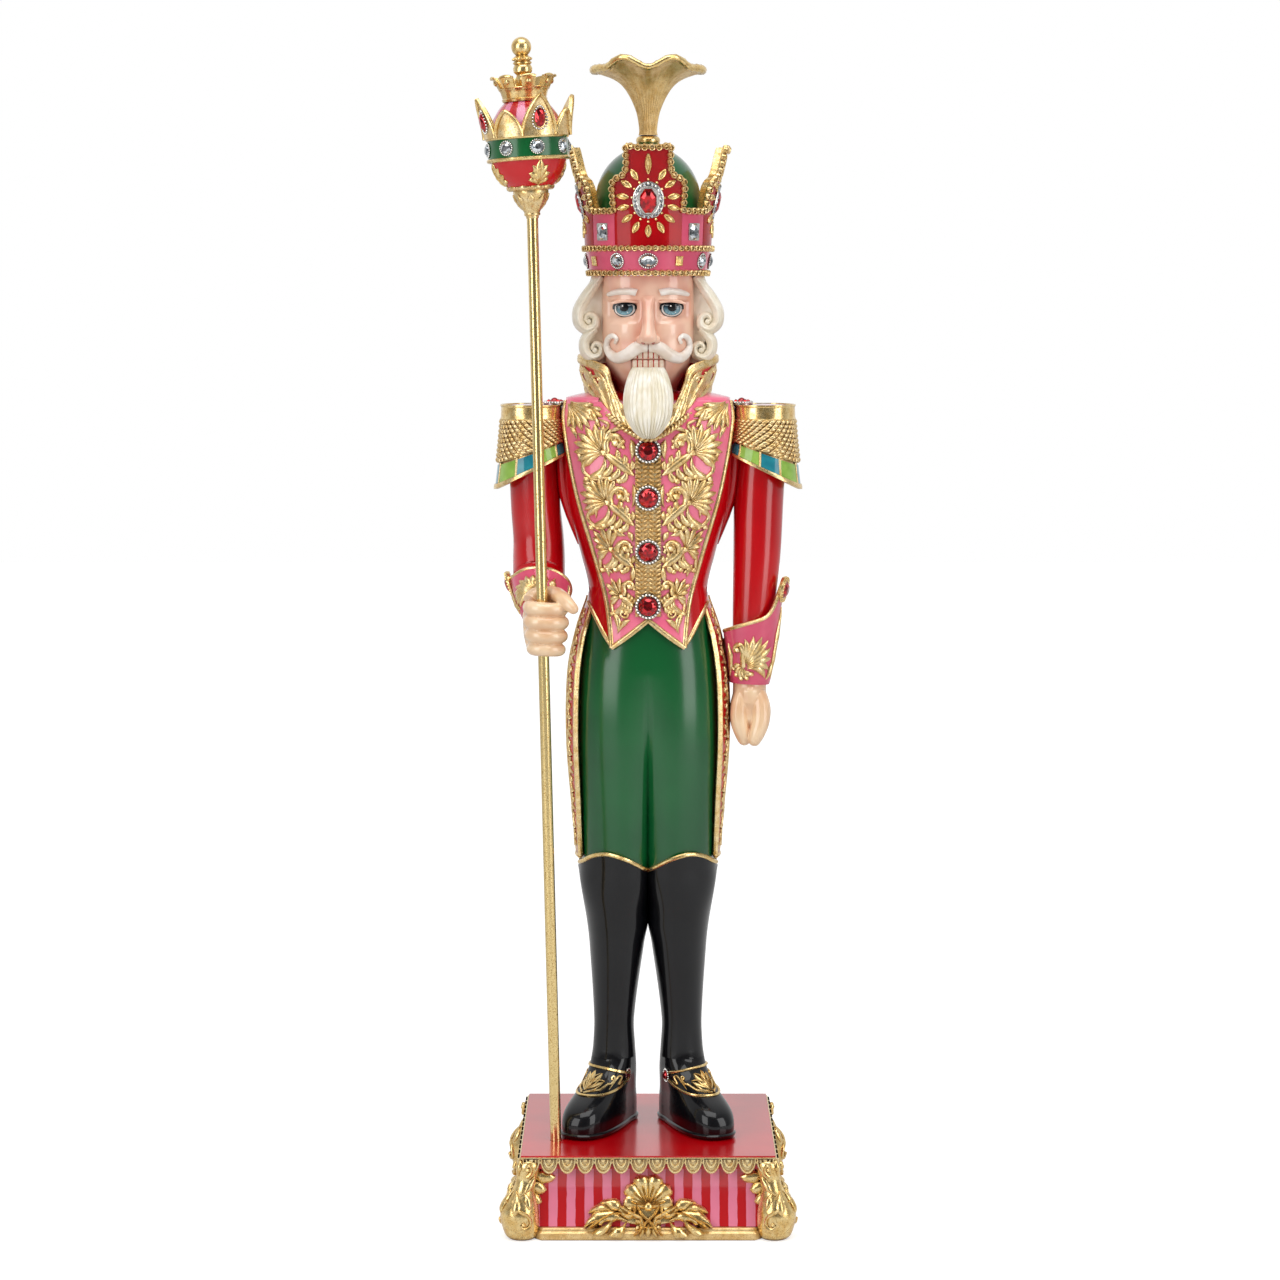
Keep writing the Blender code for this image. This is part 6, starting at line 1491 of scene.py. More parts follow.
def make_hair():
    """A wig waved down the back, with two scrolled locks at each side of the face."""
    wig = Form()
    bulges = ((0.0, 0.30), (0.2, 0.55), (0.4, 0.85), (0.6, 1.0), (0.8, 0.72), (1.0, 0.40))
    rings = []
    around = evenly(-0.25, math.pi + 0.25, 150)
    for share in evenly(0, 1, 40):
        level = mix(HAIR_FOOT, Z_CROWN - SEAT, share)
        half, front, back = along(HEAD_LINE, level)
        grow = along(bulges, share)[0] * HAIR_BULGE
        outer = []
        for turn in around:
            wave = 1.1 * math.cos(22 * turn + 2.2 * math.sin(5.0 * share))
            lift = grow + wave * smooth(share / 0.1)
            outer.append(oval_point(turn, level, half + lift, front + lift, back + lift, HEAD_POWER))
        inner = [oval_point(turn, level, half - 1.5, front - 1.5, back - 1.5, HEAD_POWER) for turn in around]
        rings.append(outer + inner[::-1])
    wig.loft(rings)
    locks = (
        ((37, 737.5, 3.6), (43, 729, 4.4), (49.5, 719.5, 4.9), (54, 710.5, 4.9), (53.5, 701.5, 4.7),
         (47.5, 696.6, 4.4), (41.5, 699.6, 3.8), (41.4, 705.6, 3.0), (46, 707.6, 2.4), (48.6, 704.0, 2.0),
         (46.2, 702.4, 1.6)),
        ((41, 697, 3.4), (46, 692.5, 4.2), (49.5, 686.4, 4.4), (48.5, 679.0, 4.4), (43.0, 674.8, 4.2),
         (37.0, 677.2, 3.6), (36.4, 683.0, 2.8), (40.6, 685.4, 2.2), (43.2, 682.2, 1.8), (41.2, 680.4, 1.5)))
    for side in SIDES.values():
        for depth, lock in enumerate(locks):
            line = spline(lock, 7)
            last = len(line) - 1
            path = [Vector((side * x, -1.5 - 1.5 * depth - 3.5 * k / last, z))
                    for k, (x, z, _) in enumerate(line)]
            wig.tube(path, [radius for _, _, radius in line], 14, 1.45, (0, 1, 0))
            edge = [point + Vector((0, -1.38 * radius, 0)) for point, (_, _, radius) in zip(path, line)]
            wig.tube(edge, [0.30 * radius for _, _, radius in line], 8)
            wig.bead(path[-1] + Vector((0, -1.5, 0)), 2.3, FINE_BALL)
            fill_x, fill_z = (46.0, 704.0) if depth == 0 else (41.0, 681.5)
            wig.bead((side * fill_x, 5.0, fill_z), 9.0, FINE_BALL)
    wig.piece("hair", CREAM, nodes=["hair"], slot="ivory", crease=60)


def make_head():
    make_skull()
    make_nose()
    for name, side in SIDES.items():
        make_eye(name, side)
    make_brows()
    make_teeth()
    make_jaw()
    make_moustache()
    make_hair()
    show_solid("jaw_lever", RED)
    show_solid("jaw_pin", STEEL)


# Crown

RIM_LOW_RADIUS, RIM_TOP_RADIUS = 45.5, 49.0
Z_PANEL, Z_TIP = 788.0, span("crown_wall")[1].z
BAND_FLARE, BAND_RUN, PANEL_FLARE, PANEL_RUN = 1.2, 29.5, 11.5, 48.0
PANEL_ANGLE = 0.545
PANEL_TOP = ((0.0, Z_TIP), (0.14, Z_TIP), (0.272, Z_TIP - 0.2), (0.28, Z_TIP - 2.0), (0.288, 822.0),
             (0.31, 816.8), (0.36, 813.8), (0.42, 812.6), (0.48, 811.0), (0.515, 808.4), (0.532, 803.5),
             (0.538, 796.0), (0.543, 788.2))
PANEL_WAYS = [FRONT + quarter * math.pi / 2 for quarter in range(4)]
SUN_LEVEL, BAND_STONE_LEVEL = 795.0, 771.5
DOME_RADIUS = 41.0
DOME_FOOT, DOME_CREST = (corner.z for corner in span("crown_dome"))
TRUMPET_FOOT, TRUMPET_HEIGHT = span("trumpet_finial")[0].z, 62.5


def crown_radius(level):
    rim = mix(RIM_LOW_RADIUS, RIM_TOP_RADIUS, min(1.0, (level - Z_CROWN) / (Z_BAND - Z_CROWN)))
    return (rim + BAND_FLARE * min(1.0, max(0.0, level - Z_BAND) / BAND_RUN)
            + PANEL_FLARE * max(0.0, level - Z_PANEL) / PANEL_RUN)


def crown_point(turn, level, lift=0.0):
    radius = crown_radius(level) + lift
    return Vector((radius * math.cos(turn), AXIS_Y + radius * math.sin(turn), level))


def crown_face(way):
    """The crown's outside about one direction: u runs round it in millimetres, v is the level."""
    return skin_of(lambda u, v: crown_point(way + u / crown_radius(v), v))


def cup(form, spot, normal, radius):
    """A small gold ring cup with a hollow middle."""
    across, up = square_to(normal, (-0.13, -0.21, -0.97))
    form.loft([oval_about(spot + normal * (rise * radius), across, up, size * radius, size * radius, 12)
               for size, rise in ((1.0, -0.5), (1.0, 0.25), (0.82, 0.58), (0.64, 0.45), (0.56, -0.2),
                                  (0.3, -0.4))])


def cup_row(form, surface, path, radius, gap):
    """Ring cups spaced along a path of a surface, over a slim backing rod."""
    spots = [surface(u, v) for u, v in path]
    form.tube([point for point, _ in spots], 0.72 * radius, 8)
    run, due = 0.0, 0.0
    for (before, _), (point, normal) in zip(spots, spots[1:]):
        step = (point - before).length
        while due <= run + step:
            cup(form, before.lerp(point, (due - run) / max(step, 1e-6)) + normal * 0.5 * radius,
                normal, radius)
            due += gap
        run += step


def make_panel_pieces():
    panels, bands, lining, edge = Form(), Form(), Form(), Form()
    columns = [(-angle, top) for angle, top in reversed(PANEL_TOP)] + list(PANEL_TOP[1:])
    rows = evenly(0, 1, 16)
    gap = math.pi / 2 - 2 * PANEL_ANGLE
    for way in PANEL_WAYS:
        def panel(u, v, lift):
            angle, top = columns[u]
            return crown_point(way + angle, mix(Z_BAND + SEAT, top, v), lift)

        def band(u, v, lift):
            return crown_point(way + PANEL_ANGLE + gap * u, mix(Z_BAND + SEAT, Z_PANEL, v), lift)
        panels.shell(panel, range(len(columns)), rows, 0.3, -1.2)
        bands.shell(band, evenly(0, 1, 10), evenly(0, 1, 4), 0.0, -1.2)
        lining.shell(panel, range(len(columns)), rows, -1.2, -7.0)
        lining.shell(band, evenly(0, 1, 10), evenly(0, 1, 2), -1.2, -3.2)
        surface = crown_face(way)
        outline = [(angle * crown_radius(top), top - 1.6 if abs(angle) < 0.27 else top)
                   for angle, top in columns]
        reach = (PANEL_ANGLE + gap) * crown_radius(Z_PANEL)
        outline += [(mix(outline[-1][0], reach, k / 8), Z_PANEL - 0.8) for k in range(1, 9)]
        cup_row(edge, surface, outline, 2.75, 5.4)
    panels.piece("crown_panels", DEEP_RED, nodes=["crown_wall"], slot="red", crease=50)
    bands.piece("crown_band", ROSE, slot="red", crease=50)
    lining.piece("crown_lining", BRIGHT_GOLD, slot="gold", crease=50)
    edge.piece("crown_edging", GOLD, slot="gold")


def make_sunburst(way, label):
    """A red stone ringed with clear ones, with rays set round it."""
    surface = crown_face(way)
    spot, normal, across, up = spot_on(surface, SUN_LEVEL)
    rays, bezel, stones = Form(), Form(), Form()
    for angle in (90, 58, 33, 8, -13, -36, -62, -90, 122, 147, 172, 193, 216, 242):
        turn = math.radians(angle)
        long = 1.28 if angle == 90 else 1.0
        heading = (math.cos(turn), math.sin(turn))
        inner = (12.6 * heading[0], SUN_LEVEL + 16.0 * heading[1])
        outer = (25.0 * heading[0], SUN_LEVEL + 27.5 * long * heading[1])
        start = (mix(inner[0], outer[0], 0.22), mix(inner[1], outer[1], 0.22))
        side = (-heading[1], heading[0])
        for hand in (-1, 1):
            bulge = [(mix(start[0], outer[0], share) + hand * 1.75 * side[0] * math.sin(math.pi * share),
                      mix(start[1], outer[1], share) + hand * 1.75 * side[1] * math.sin(math.pi * share))
                     for share in evenly(0, 1, 6)]
            rays.stroke(surface, bulge, 0.95, 1.6, 2, False)
        rays.leaf(surface, start, outer, 1.8, 1.2)
        point, out = surface(*inner)
        rays.bead(point + out * 0.4, 1.25)
    rays.piece("sun_rays_" + label, BRIGHT_GOLD, slot="gold")
    for size, rise in ((1.0, 0.3), (0.80, 0.9)):
        bezel.tube(oval_about(spot + normal * rise, across, up, 11.3 * size, 14.2 * size, 40), 0.9, 8,
                   looped=True)
    bezel.loft([oval_about(spot + normal * rise, across, up, half, tall, 32)
                for half, tall, rise in ((11.6, 14.5, -1.0), (11.6, 14.5, 0.6), (7.0, 10.5, 1.2))])
    bezel.piece("sun_bezel_" + label, SILVER, nodes=["crown_jewel"] if label == "front" else (),
                slot="steel")
    for place in oval_about(spot + normal, across, up, 9.9, 12.9, 20):
        stones.gem(place, across, up, 1.55, 1.55, 1.3, 8)
    stones.piece("sun_crystals_" + label, CRYSTAL, slot="steel", crease=0)
    Form().gem(spot + normal * 1.2, across, up, 6.6, 9.6, 3.0, 8, 1.55).piece(
        "sun_ruby_" + label, RUBY, slot="ruby", crease=0)


def make_rim():
    rim, beads, mounts, stones, squares = Form(), Form(), Form(), Form(), Form()
    rim.loft(turned([(crown_radius(level), level) for level in evenly(Z_CROWN + SEAT, Z_BAND, 8)], count=96))
    rim.piece("crown_rim", ROSE, nodes=["crown_rim"], slot="pink")
    for level, radius in ((Z_CROWN + 2.2, 2.5), (Z_BAND + 0.4, 2.5)):
        girth = 2 * math.pi * crown_radius(level)
        count = round(girth / (2.05 * radius))
        surface = crown_face(FRONT)
        cup_row(beads, surface, [(u, level) for u in evenly(0, girth, count)], radius, girth / count)
    beads.piece("crown_bead_rows", GOLD, slot="gold")
    for k in range(12):
        surface = crown_face(FRONT + k * math.pi / 6)
        spot, normal = surface(0, (Z_CROWN + Z_BAND) / 2 + 1.0)
        across, up = square_to(normal)
        kind = ("oval", "square", "round")[k % 3]
        if kind == "square":
            squares.loft([[spot + across * (x * size) + up * (1.2 * z * size) + normal * rise
                           for x, z in ((-1, -1), (1, -1), (1, 1), (-1, 1))]
                          for size, rise in ((3.1, -0.6), (3.1, 0.9), (2.4, 1.7), (1.4, 1.1))])
            continue
        half, tall = (6.0, 4.6) if kind == "oval" else (4.4, 4.8)
        mounts.ring_of_beads(spot + normal * 0.5, across, up, half + 0.9, tall + 0.9, 0.85, 24)
        stones.gem(spot + normal * 0.4, across, up, half, tall, 2.6, 8 if kind == "oval" else 12,
                   1.5 if kind == "oval" else 1.0)
    for way in PANEL_WAYS:
        spot, normal = crown_face(way + math.pi / 4)(0, BAND_STONE_LEVEL)
        across, up = square_to(normal)
        stones.gem(spot + normal * 0.2, across, up, 5.0, 6.0, 2.6, 8, 1.85)
        mounts.loft([[spot + across * (x * 5.6) + up * (z * 6.6) + normal * rise for x, z in (
            (-1, -0.9), (-0.9, -1), (0.9, -1), (1, -0.9), (1, 0.9), (0.9, 1), (-0.9, 1), (-1, 0.9))]
            for rise in (-0.6, 0.7)])
    mounts.piece("crown_stone_mounts", SILVER, slot="steel")
    stones.piece("crown_crystals", CRYSTAL, slot="steel", crease=0)
    squares.piece("crown_gold_studs", BRIGHT_GOLD, slot="gold", crease=0)


def make_dome():
    spring = mix(DOME_FOOT, DOME_CREST, 0.46)
    profile = [(DOME_RADIUS, DOME_FOOT), (DOME_RADIUS, mix(DOME_FOOT, spring, 0.5))]
    for turn in turns(24, 0.0, math.pi / 2):
        profile.append((DOME_RADIUS * math.cos(turn), spring + (DOME_CREST - spring) * math.sin(turn)))
    profile.append((0.6, DOME_CREST))
    Form().loft(turned(profile, count=72)).piece("crown_dome", GREEN, nodes=["crown_dome"], slot="green")

    low, high = (corner.z for corner in span("finial_ring"))
    middle, half = (low + high) / 2, (high - low) / 2
    ring = [(5.0, low)] + [(5.4 + 4.0 * math.cos(turn), middle + half * math.sin(turn))
                           for turn in evenly(-math.pi / 2, math.pi / 2, 16)] + [(5.0, high)]
    Form().loft(turned(ring, count=40)).piece("finial_ring", BRIGHT_GOLD, nodes=["finial_ring"], slot="gold")


def make_trumpet():
    """A fluted lily with a frilled, turned-over lip."""
    line = ((0.0, 7.4), (0.04, 6.8), (0.14, 7.3), (0.27, 8.8), (0.40, 11.8), (0.50, 14.8), (0.60, 18.6),
            (0.68, 23.0), (0.75, 29.0), (0.80, 35.6), (0.82, 38.6))
    lip = ((0.835, 39.6), (0.86, 40.4), (0.89, 39.8), (0.90, 37.6), (0.88, 33.0), (0.84, 26.0), (0.77, 15.0),
           (0.70, 8.0), (0.66, 3.0))
    profile = [(along(line, share)[0], share) for share in evenly(0, line[-1][0], 40)]
    profile += [(radius, share) for share, radius in lip]
    rings = []
    for k, (radius, share) in enumerate(profile):
        flare = smooth((radius - 9) / 30) if k > 8 else 0.0
        ring = []
        for turn in turns(216):
            lobe = math.cos(6 * (turn - FRONT) + math.pi)
            side = abs(math.cos(turn))
            ribs = (abs(math.sin(18 * turn)) ** 0.7 - 0.6) * (0.3 + radius / 30) * (1 - 0.75 * flare)
            reach = radius * (1 + 0.04 * flare * lobe) + 0.75 * ribs
            lift = flare * (4.4 * lobe * (1 - side ** 2) - 4.4 * side ** 3 + 0.8)
            ring.append(Vector((reach * math.cos(turn), AXIS_Y + reach * math.sin(turn),
                                TRUMPET_FOOT + TRUMPET_HEIGHT * share + lift)))
        rings.append(ring)
    Form().loft(rings).piece("trumpet_finial", DUSTED_GOLD, nodes=["trumpet_finial"], slot="gold", crease=70)
    # The lip's second ring is its widest
    lip_line = rings[1 - len(lip)][::2]
    bulges = [2.2 + 0.5 * (k % 3 == 0) + 1.1 * abs(math.cos(turn)) ** 3
              for k, turn in enumerate(turns(len(lip_line)))]
    rim = Form().tube(lip_line, bulges, 10, looped=True)
    rim.piece("trumpet_lip", BRIGHT_GOLD, slot="gold", crease=50)


def make_crown():
    make_rim()
    make_panel_pieces()
    for way, label in zip(PANEL_WAYS, ("front", "left", "back", "right")):
        make_sunburst(way, label)
    make_dome()
    make_trumpet()


# Arms

SLEEVE_RADIUS, WRIST_RADIUS = 19.5, 13.0
FIST_RISE, HAND_REACH = 406.0, 26.2
FIST = Vector((STAFF_X - math.tan(STAFF_LEAN) * FIST_RISE, STAFF_Y, 470.4))
ELBOW = Vector((-86.0, 16.0, 506.0))
FOREARM = (FIST - ELBOW).normalized()
WRIST = FIST - FOREARM * HAND_REACH
HANGING_WRIST = Vector((80.0, 2.0, 420.0))
BOARD_LOW, BOARD_TOP = (corner.z for corner in span("epaulette_board_left"))
BOARD_X, BOARD_HALF, BOARD_DEPTH = 91.2, 23.9, 27.0
SKIRT_TOP, SKIRT_DROP, SKIRT_SLOPE, SKIRT_SPREAD = 626.0, 40.0, 14.5, 5.8
FRINGE_SHARE, FRINGE_ROWS, FRINGE_CORDS = 0.62, 9, 32
FRINGE_GIRTH, FRINGE_RUN = 26.0, 62.0
CUFF_GIRTH, CUFF_RUN = 19.0, 40.0
TILE_EDGES = (0.0, 0.50, 1.19, 1.70, 2.33, math.pi)


def make_sleeves():
    """Each sleeve runs through places with a share of its full radius, down to the wrist."""
    wrist_share = WRIST_RADIUS / SLEEVE_RADIUS
    right = ((-91, 12, 633, 0.8), (-91, 12, 626, 1.0), (-90, 12.5, 600, 1.0), (-88.5, 14, 560, 1.0),
             (-86.4, 15.6, 534, 1.02), (-86, 14.4, 517, 1.05), (-85.8, 9, 504, 1.04),
             (-85.2, -1, 496.5, 0.93), (*ELBOW.lerp(WRIST, 0.66), 0.82), (*WRIST, wrist_share))
    left = ((91, 12, 633, 0.8), (91, 12, 626, 1.0), (89, 12, 600, 1.0), (87, 10, 564, 1.0),
            (85.5, 7, 519, 0.95), (82.5, 4, 469, 0.82), (*HANGING_WRIST, wrist_share))
    for name, line in (("right", right), ("left", left)):
        path = spline(line, 8)
        sleeve = Form().tube([Vector(point[:3]) for point in path],
                             [SLEEVE_RADIUS * point[3] for point in path], 48, up=(0, 1, 0))
        sleeve.piece("sleeve_" + name, RED, nodes=["sleeve_" + name], slot="red", crease=60)


def make_cuff(name, wrist, back, tip, side, turn_front, flare, length, peak):
    """A flared cuff drawn up to a point on its outer side, worked with a palmette and a stud."""
    back = back.normalized()
    tip = (tip - back * tip.dot(back)).normalized()
    round_way = back.cross(tip)

    def place(u, v, lift):
        radius = mix(WRIST_RADIUS + 2.6, flare, v ** 0.85) + lift
        away = tip * math.cos(u) + round_way * math.sin(u)
        rise = length * v + peak * (0.4 * (0.5 + 0.5 * math.cos(u))
                                    + 0.6 * max(0.0, math.cos(u)) ** 7) * v ** 2
        return wrist + back * (rise - 1.0) + away * radius
    around, shares = turns(72), evenly(0, 1, 14)
    rings = [[place(u, v, 0.0) for u in around] for v in shares]
    rings += [[place(u, v, -2.2) for u in around] for v in reversed(shares)]
    Form().loft(rings, capped=False, looped=True).piece(
        "cuff_" + name, ROSE, nodes=["cuff_" + name], slot="pink", crease=50)

    gold = Form()
    gold.tube([place(u, 1.0, -1.0) for u in around], 1.7, 8, looped=True)
    surface = outward(skin_of(lambda u, v: place(turn_front + side * u / CUFF_GIRTH, v / CUFF_RUN, 0.0)),
                      side)
    for middle in (0.0, 60.0):
        heart = (middle - 9, 13)
        for k in range(9):
            turn = math.radians(-22 + 15.5 * k)
            reach = 24 - 0.30 * (k - 3) ** 2
            gold.leaf(surface, (heart[0] + 3.5 * math.cos(turn), heart[1] + 3.5 * math.sin(turn)),
                      (heart[0] + reach * math.cos(turn), heart[1] + 0.95 * reach * math.sin(turn)), 2.9,
                      2.4, 0.05 * (4 - k))
        gold.volute(surface, (heart[0] - 4.5, heart[1] + 12), 5.8, -0.8, 4.6, 2.2, 2.4, 0.28, [heart])
        for k in range(5):
            turn = math.radians(-170 + 34 * k)
            comma(gold, surface, heart, (heart[0] + 8.6 * math.cos(turn), heart[1] + 8.6 * math.sin(turn)),
                  2.3)
        gold.leaf(surface, (middle + 20, 5), (middle + 25, 34), 3.4, 2.4, 0.1, 3)
        gold.leaf(surface, (middle + 13, 4), (middle + 16, 14), 2.0, 2.0, -0.1)
        gold.leaf(surface, (middle - 24, 6), (middle - 22, 30), 3.4, 2.4, -0.1, 3)
    gold.piece("cuff_gold_" + name, GOLD, slot="gold")

    stud = place(0.0, 0.97, 0.6)
    out = (tip + back * -0.15).normalized()
    across, up = square_to(out, back)
    setting = Form().loft([
        oval_about(stud + out * rise, across, up, radius, radius, 24)
        for radius, rise in ((9.8, -2.2), (10.8, 0.2), (10.3, 1.5), (8.2, 2.0), (7.4, 1.3), (2.0, 1.1))])
    setting.ring_of_beads(stud + out * 1.6, across, up, 9.3, 9.3, 1.1, 24)
    setting.piece("cuff_stud_setting_" + name, BRIGHT_GOLD, slot="gold")
    Form().gem(stud + out * 1.4, across, up, 7.0, 7.0, 2.8, 10).piece(
        "cuff_stud_" + name, RUBY, slot="ruby", crease=0)


def digit(form, origin, line, sides, tip):
    """A finger or thumb through points with a radius each, with a round tip."""
    line = spline(line, 5)
    form.tube([origin + Vector(point[:3]) for point in line], [point[3] for point in line], sides)
    form.bead(origin + Vector(line[-1][:3]), tip, FINE_BALL)


def make_hands():
    """The right fist is closed round the staff, the left one hangs."""
    right = Form()
    palm = [WRIST - FOREARM * 6, WRIST + FOREARM * 5, FIST + Vector((-4.5, 15, 3)),
            FIST + Vector((-6.0, 7, 0))]
    right.tube(palm, [11.5, 12.4, 12.6, 8.5], 20)
    right.tube([FIST + Vector((-8.0, 5, 16)), FIST + Vector((-9.6, 3, 6)), FIST + Vector((-8.8, 3, -8)),
                FIST + Vector((-7.4, 4, -20))], [5.2, 6.2, 6.2, 5.0], 16)
    for k, (reach, size) in enumerate(((0.97, 5.6), (0.97, 5.7), (0.90, 5.6), (0.80, 5.2))):
        rise = 13.4 - 10.5 * k
        shift = -math.tan(STAFF_LEAN) * rise
        line = spline([(-10.0, 3, 1.0), (-9.0, -7.5, 1.04), (-3.0, -12.6, 1.02), (6.0, -13.0, 0.98),
                       (13.6, -8.6, 0.97), (15.6, -1.0, 0.92), (12.0, 5.2, 0.84)], 5)
        right.tube([FIST + Vector((x * reach + shift, y * reach, rise - 0.05 * x)) for x, y, _ in line],
                   [size * swell for _, _, swell in line], 16)
        tip = line[-1]
        right.bead(FIST + Vector((tip[0] * reach + shift, tip[1] * reach, rise)), 0.84 * size, FINE_BALL)
    digit(right, FIST, ((-9.5, 9.0, 17, 7.2), (-4.0, 13.0, 22, 6.8), (9.0, 8.5, 22.6, 6.4),
                        (15.0, -4.5, 21.0, 5.9), (20.0, -12.0, 17.0, 5.3),
                        (24.0, -15.6, 13.8, 4.2)), 16, 4.1)
    right_hand = remade(right.piece("hand_right", HAND_FLESH, nodes=["hand_right"], slot="flesh"), 0.7, 3)
    bored(right_hand, STAFF_FOOT + STAFF_UP * FIST_RISE, STAFF_UP, 4.9, 90.0)

    left = Form()
    wrist = HANGING_WRIST
    palm = ((0, 0, 6), (0, 0, -6), (0, 0, -17), (0, 0, -28), (-0.5, 1, -40))
    left.tube([wrist + Vector(point) for point in palm], [13.0, 13.2, 13.6, 13.0, 8.6], 24, up=(0, 1, 0))
    thumb_ball = ((0, -3, -2), (0.2, -6.0, -8), (0.2, -6.0, -14), (0, -4.2, -21), (-0.5, -0.5, -30))
    left.tube([wrist + Vector(point) for point in thumb_ball], [9.0, 9.8, 9.4, 8.2, 6.0], 18, up=(0, 1, 0))
    for k, size in enumerate((1.0, 1.04, 1.0, 0.92)):
        digit(left, wrist + Vector((0, 6.6 * k, 0)), [(x, y, z, size * radius) for x, y, z, radius in (
            (-5.5, -5.0, -8, 6.6), (-8.2, -8.5, -19, 7.0), (-8.2, -9.8, -30, 6.9), (-6.0, -9.6, -39, 6.3),
            (-4.2, -8.4, -44.5, 5.4))], 14, 5.4 * size)
    digit(left, wrist, ((6.2, -5.0, -9, 7.0), (8.8, -9.5, -19, 7.6), (8.6, -11.8, -29, 7.2),
                        (6.2, -13.2, -38, 6.4), (3.6, -13.6, -44.5, 5.2)), 14, 5.2)
    remade(left.piece("hand_left", HAND_FLESH, nodes=["hand_left"], slot="flesh"), 0.6, 2)


def make_epaulette(name, side):
    centre = (side * BOARD_X, AXIS_Y)

    def oval(level, grow, count=96):
        return [oval_point(turn, level, BOARD_HALF + grow, BOARD_DEPTH + grow, BOARD_DEPTH + grow,
                           2.2, centre)
                for turn in turns(count)]
    band = Form().loft([oval(level, grow) for level, grow in (
        (BOARD_LOW - 1.0, -3.0), (BOARD_LOW - 0.5, 0.5), (BOARD_LOW + 0.4, 0.9), (BOARD_LOW + 1.6, 0.3),
        (BOARD_TOP - 2.0, 0.0), (BOARD_TOP - 1.0, 0.7), (BOARD_TOP - 0.2, 0.6), (BOARD_TOP, -0.2),
        (BOARD_TOP - 0.2, -1.4), (BOARD_TOP - 2.2, -1.9), (BOARD_TOP - 2.3, -6.0))])
    band.piece("epaulette_band_" + name, BRIGHT_GOLD, nodes=["epaulette_board_" + name],
               slot="gold", crease=35)
    top = Form().loft([oval(BOARD_TOP - 2.6, -2.0), oval(BOARD_TOP - 1.6, -2.0), oval(BOARD_TOP - 0.9, -5.0),
                       oval(BOARD_TOP - 0.4, -11.0), oval(BOARD_TOP, -19.0)])
    top.piece("epaulette_top_" + name, STRIPES, slot="red")

    def skirt(turn, share, lift=0.0):
        grow = SKIRT_SPREAD * share ** 1.2 - 0.6 + lift
        point = oval_point(turn, 0.0, BOARD_HALF + grow, BOARD_DEPTH + grow, BOARD_DEPTH + grow, 2.2, centre)
        outer_share = side * (point.x - centre[0]) / (BOARD_HALF + grow)
        point.z = SKIRT_TOP - share * (SKIRT_DROP + SKIRT_SLOPE * outer_share)
        return point
    around = turns(96)
    shell = Form()
    line = ((0.0, 0.2), (0.3, 0.4), (FRINGE_SHARE, 0.6), (FRINGE_SHARE + 0.01, -0.9), (0.8, -0.6),
            (0.93, -0.5), (0.93, 0.9), (0.96, 1.2), (1.0, 0.9), (1.0, -2.0), (0.6, -2.6), (0.0, -2.6))
    shell.loft([[skirt(turn, share, lift) for turn in around] for share, lift in line], capped=False,
               looped=True)
    weave = outward(skin_of(
        lambda u, v: skirt(side * u / FRINGE_GIRTH, FRINGE_SHARE - v / FRINGE_RUN, 0.5)), side)
    step = FRINGE_SHARE * FRINGE_RUN / FRINGE_ROWS
    for row in range(FRINGE_ROWS):
        for k in range(FRINGE_CORDS):
            u = 2 * math.pi * FRINGE_GIRTH * (k + 0.5 * (row % 2)) / FRINGE_CORDS
            v = (row + 0.5) * step
            shell.leaf(weave, (u - 3.3, v - 1.9), (u + 3.3, v + 1.9), 1.7, 1.9, 0.08, 0, 6, 0.5)
    tiles = {TEAL: Form(), LIME: Form()}
    for half in (-1, 1):
        for k in range(5):
            start, end = TILE_EDGES[k], TILE_EDGES[k + 1]
            form = tiles[TEAL if k % 2 == 0 else LIME]
            base = 0.0 if side > 0 else math.pi

            def tile(u, v, lift):
                return skirt(base - side * half * mix(start, end, u), mix(0.655, 0.925, v), lift)
            form.shell(tile, evenly(0.03, 0.97, 10), [0.0, 0.2, 0.5, 0.8, 1.0], 0.15, -0.8)
            shell.tube([skirt(base - side * half * end, share) for share in evenly(0.63, 0.95, 4)], 0.95, 8)
    shell.piece("epaulette_fringe_" + name, GOLD, nodes=["epaulette_fringe_" + name], slot="gold", crease=50)
    for finish, form in tiles.items():
        form.piece(finish.name + "s_" + name, finish, slot="green")

    low, high = span("shoulder_stud_" + name)
    middle = Vector(((low.x + high.x) / 2 - side * 5.5, (low.y + high.y) / 2, low.z - 0.6))
    x_way, y_way, z_way = Vector((1, 0, 0)), Vector((0, 1, 0)), Vector((0, 0, 1))
    setting = Form().loft(turned(((8.6, middle.z), (8.8, middle.z + 1.6), (7.6, middle.z + 2.6),
                                  (2.0, middle.z + 3.0)),
                                 (middle.x, middle.y), 32))
    setting.ring_of_beads(middle + z_way * 2.0, x_way, y_way, 8.0, 8.0, 1.1, 22)
    setting.piece("shoulder_stud_setting_" + name, SILVER, nodes=["shoulder_stud_" + name], slot="steel")
    stones = Form().bead(middle + z_way * 2.4, 3.4, FINE_BALL)
    stones.ring_of_beads(middle + z_way * 2.4, x_way, y_way, 5.0, 5.0, 2.0, 7)
    stones.piece("shoulder_stud_rubies_" + name, RUBY, slot="ruby")


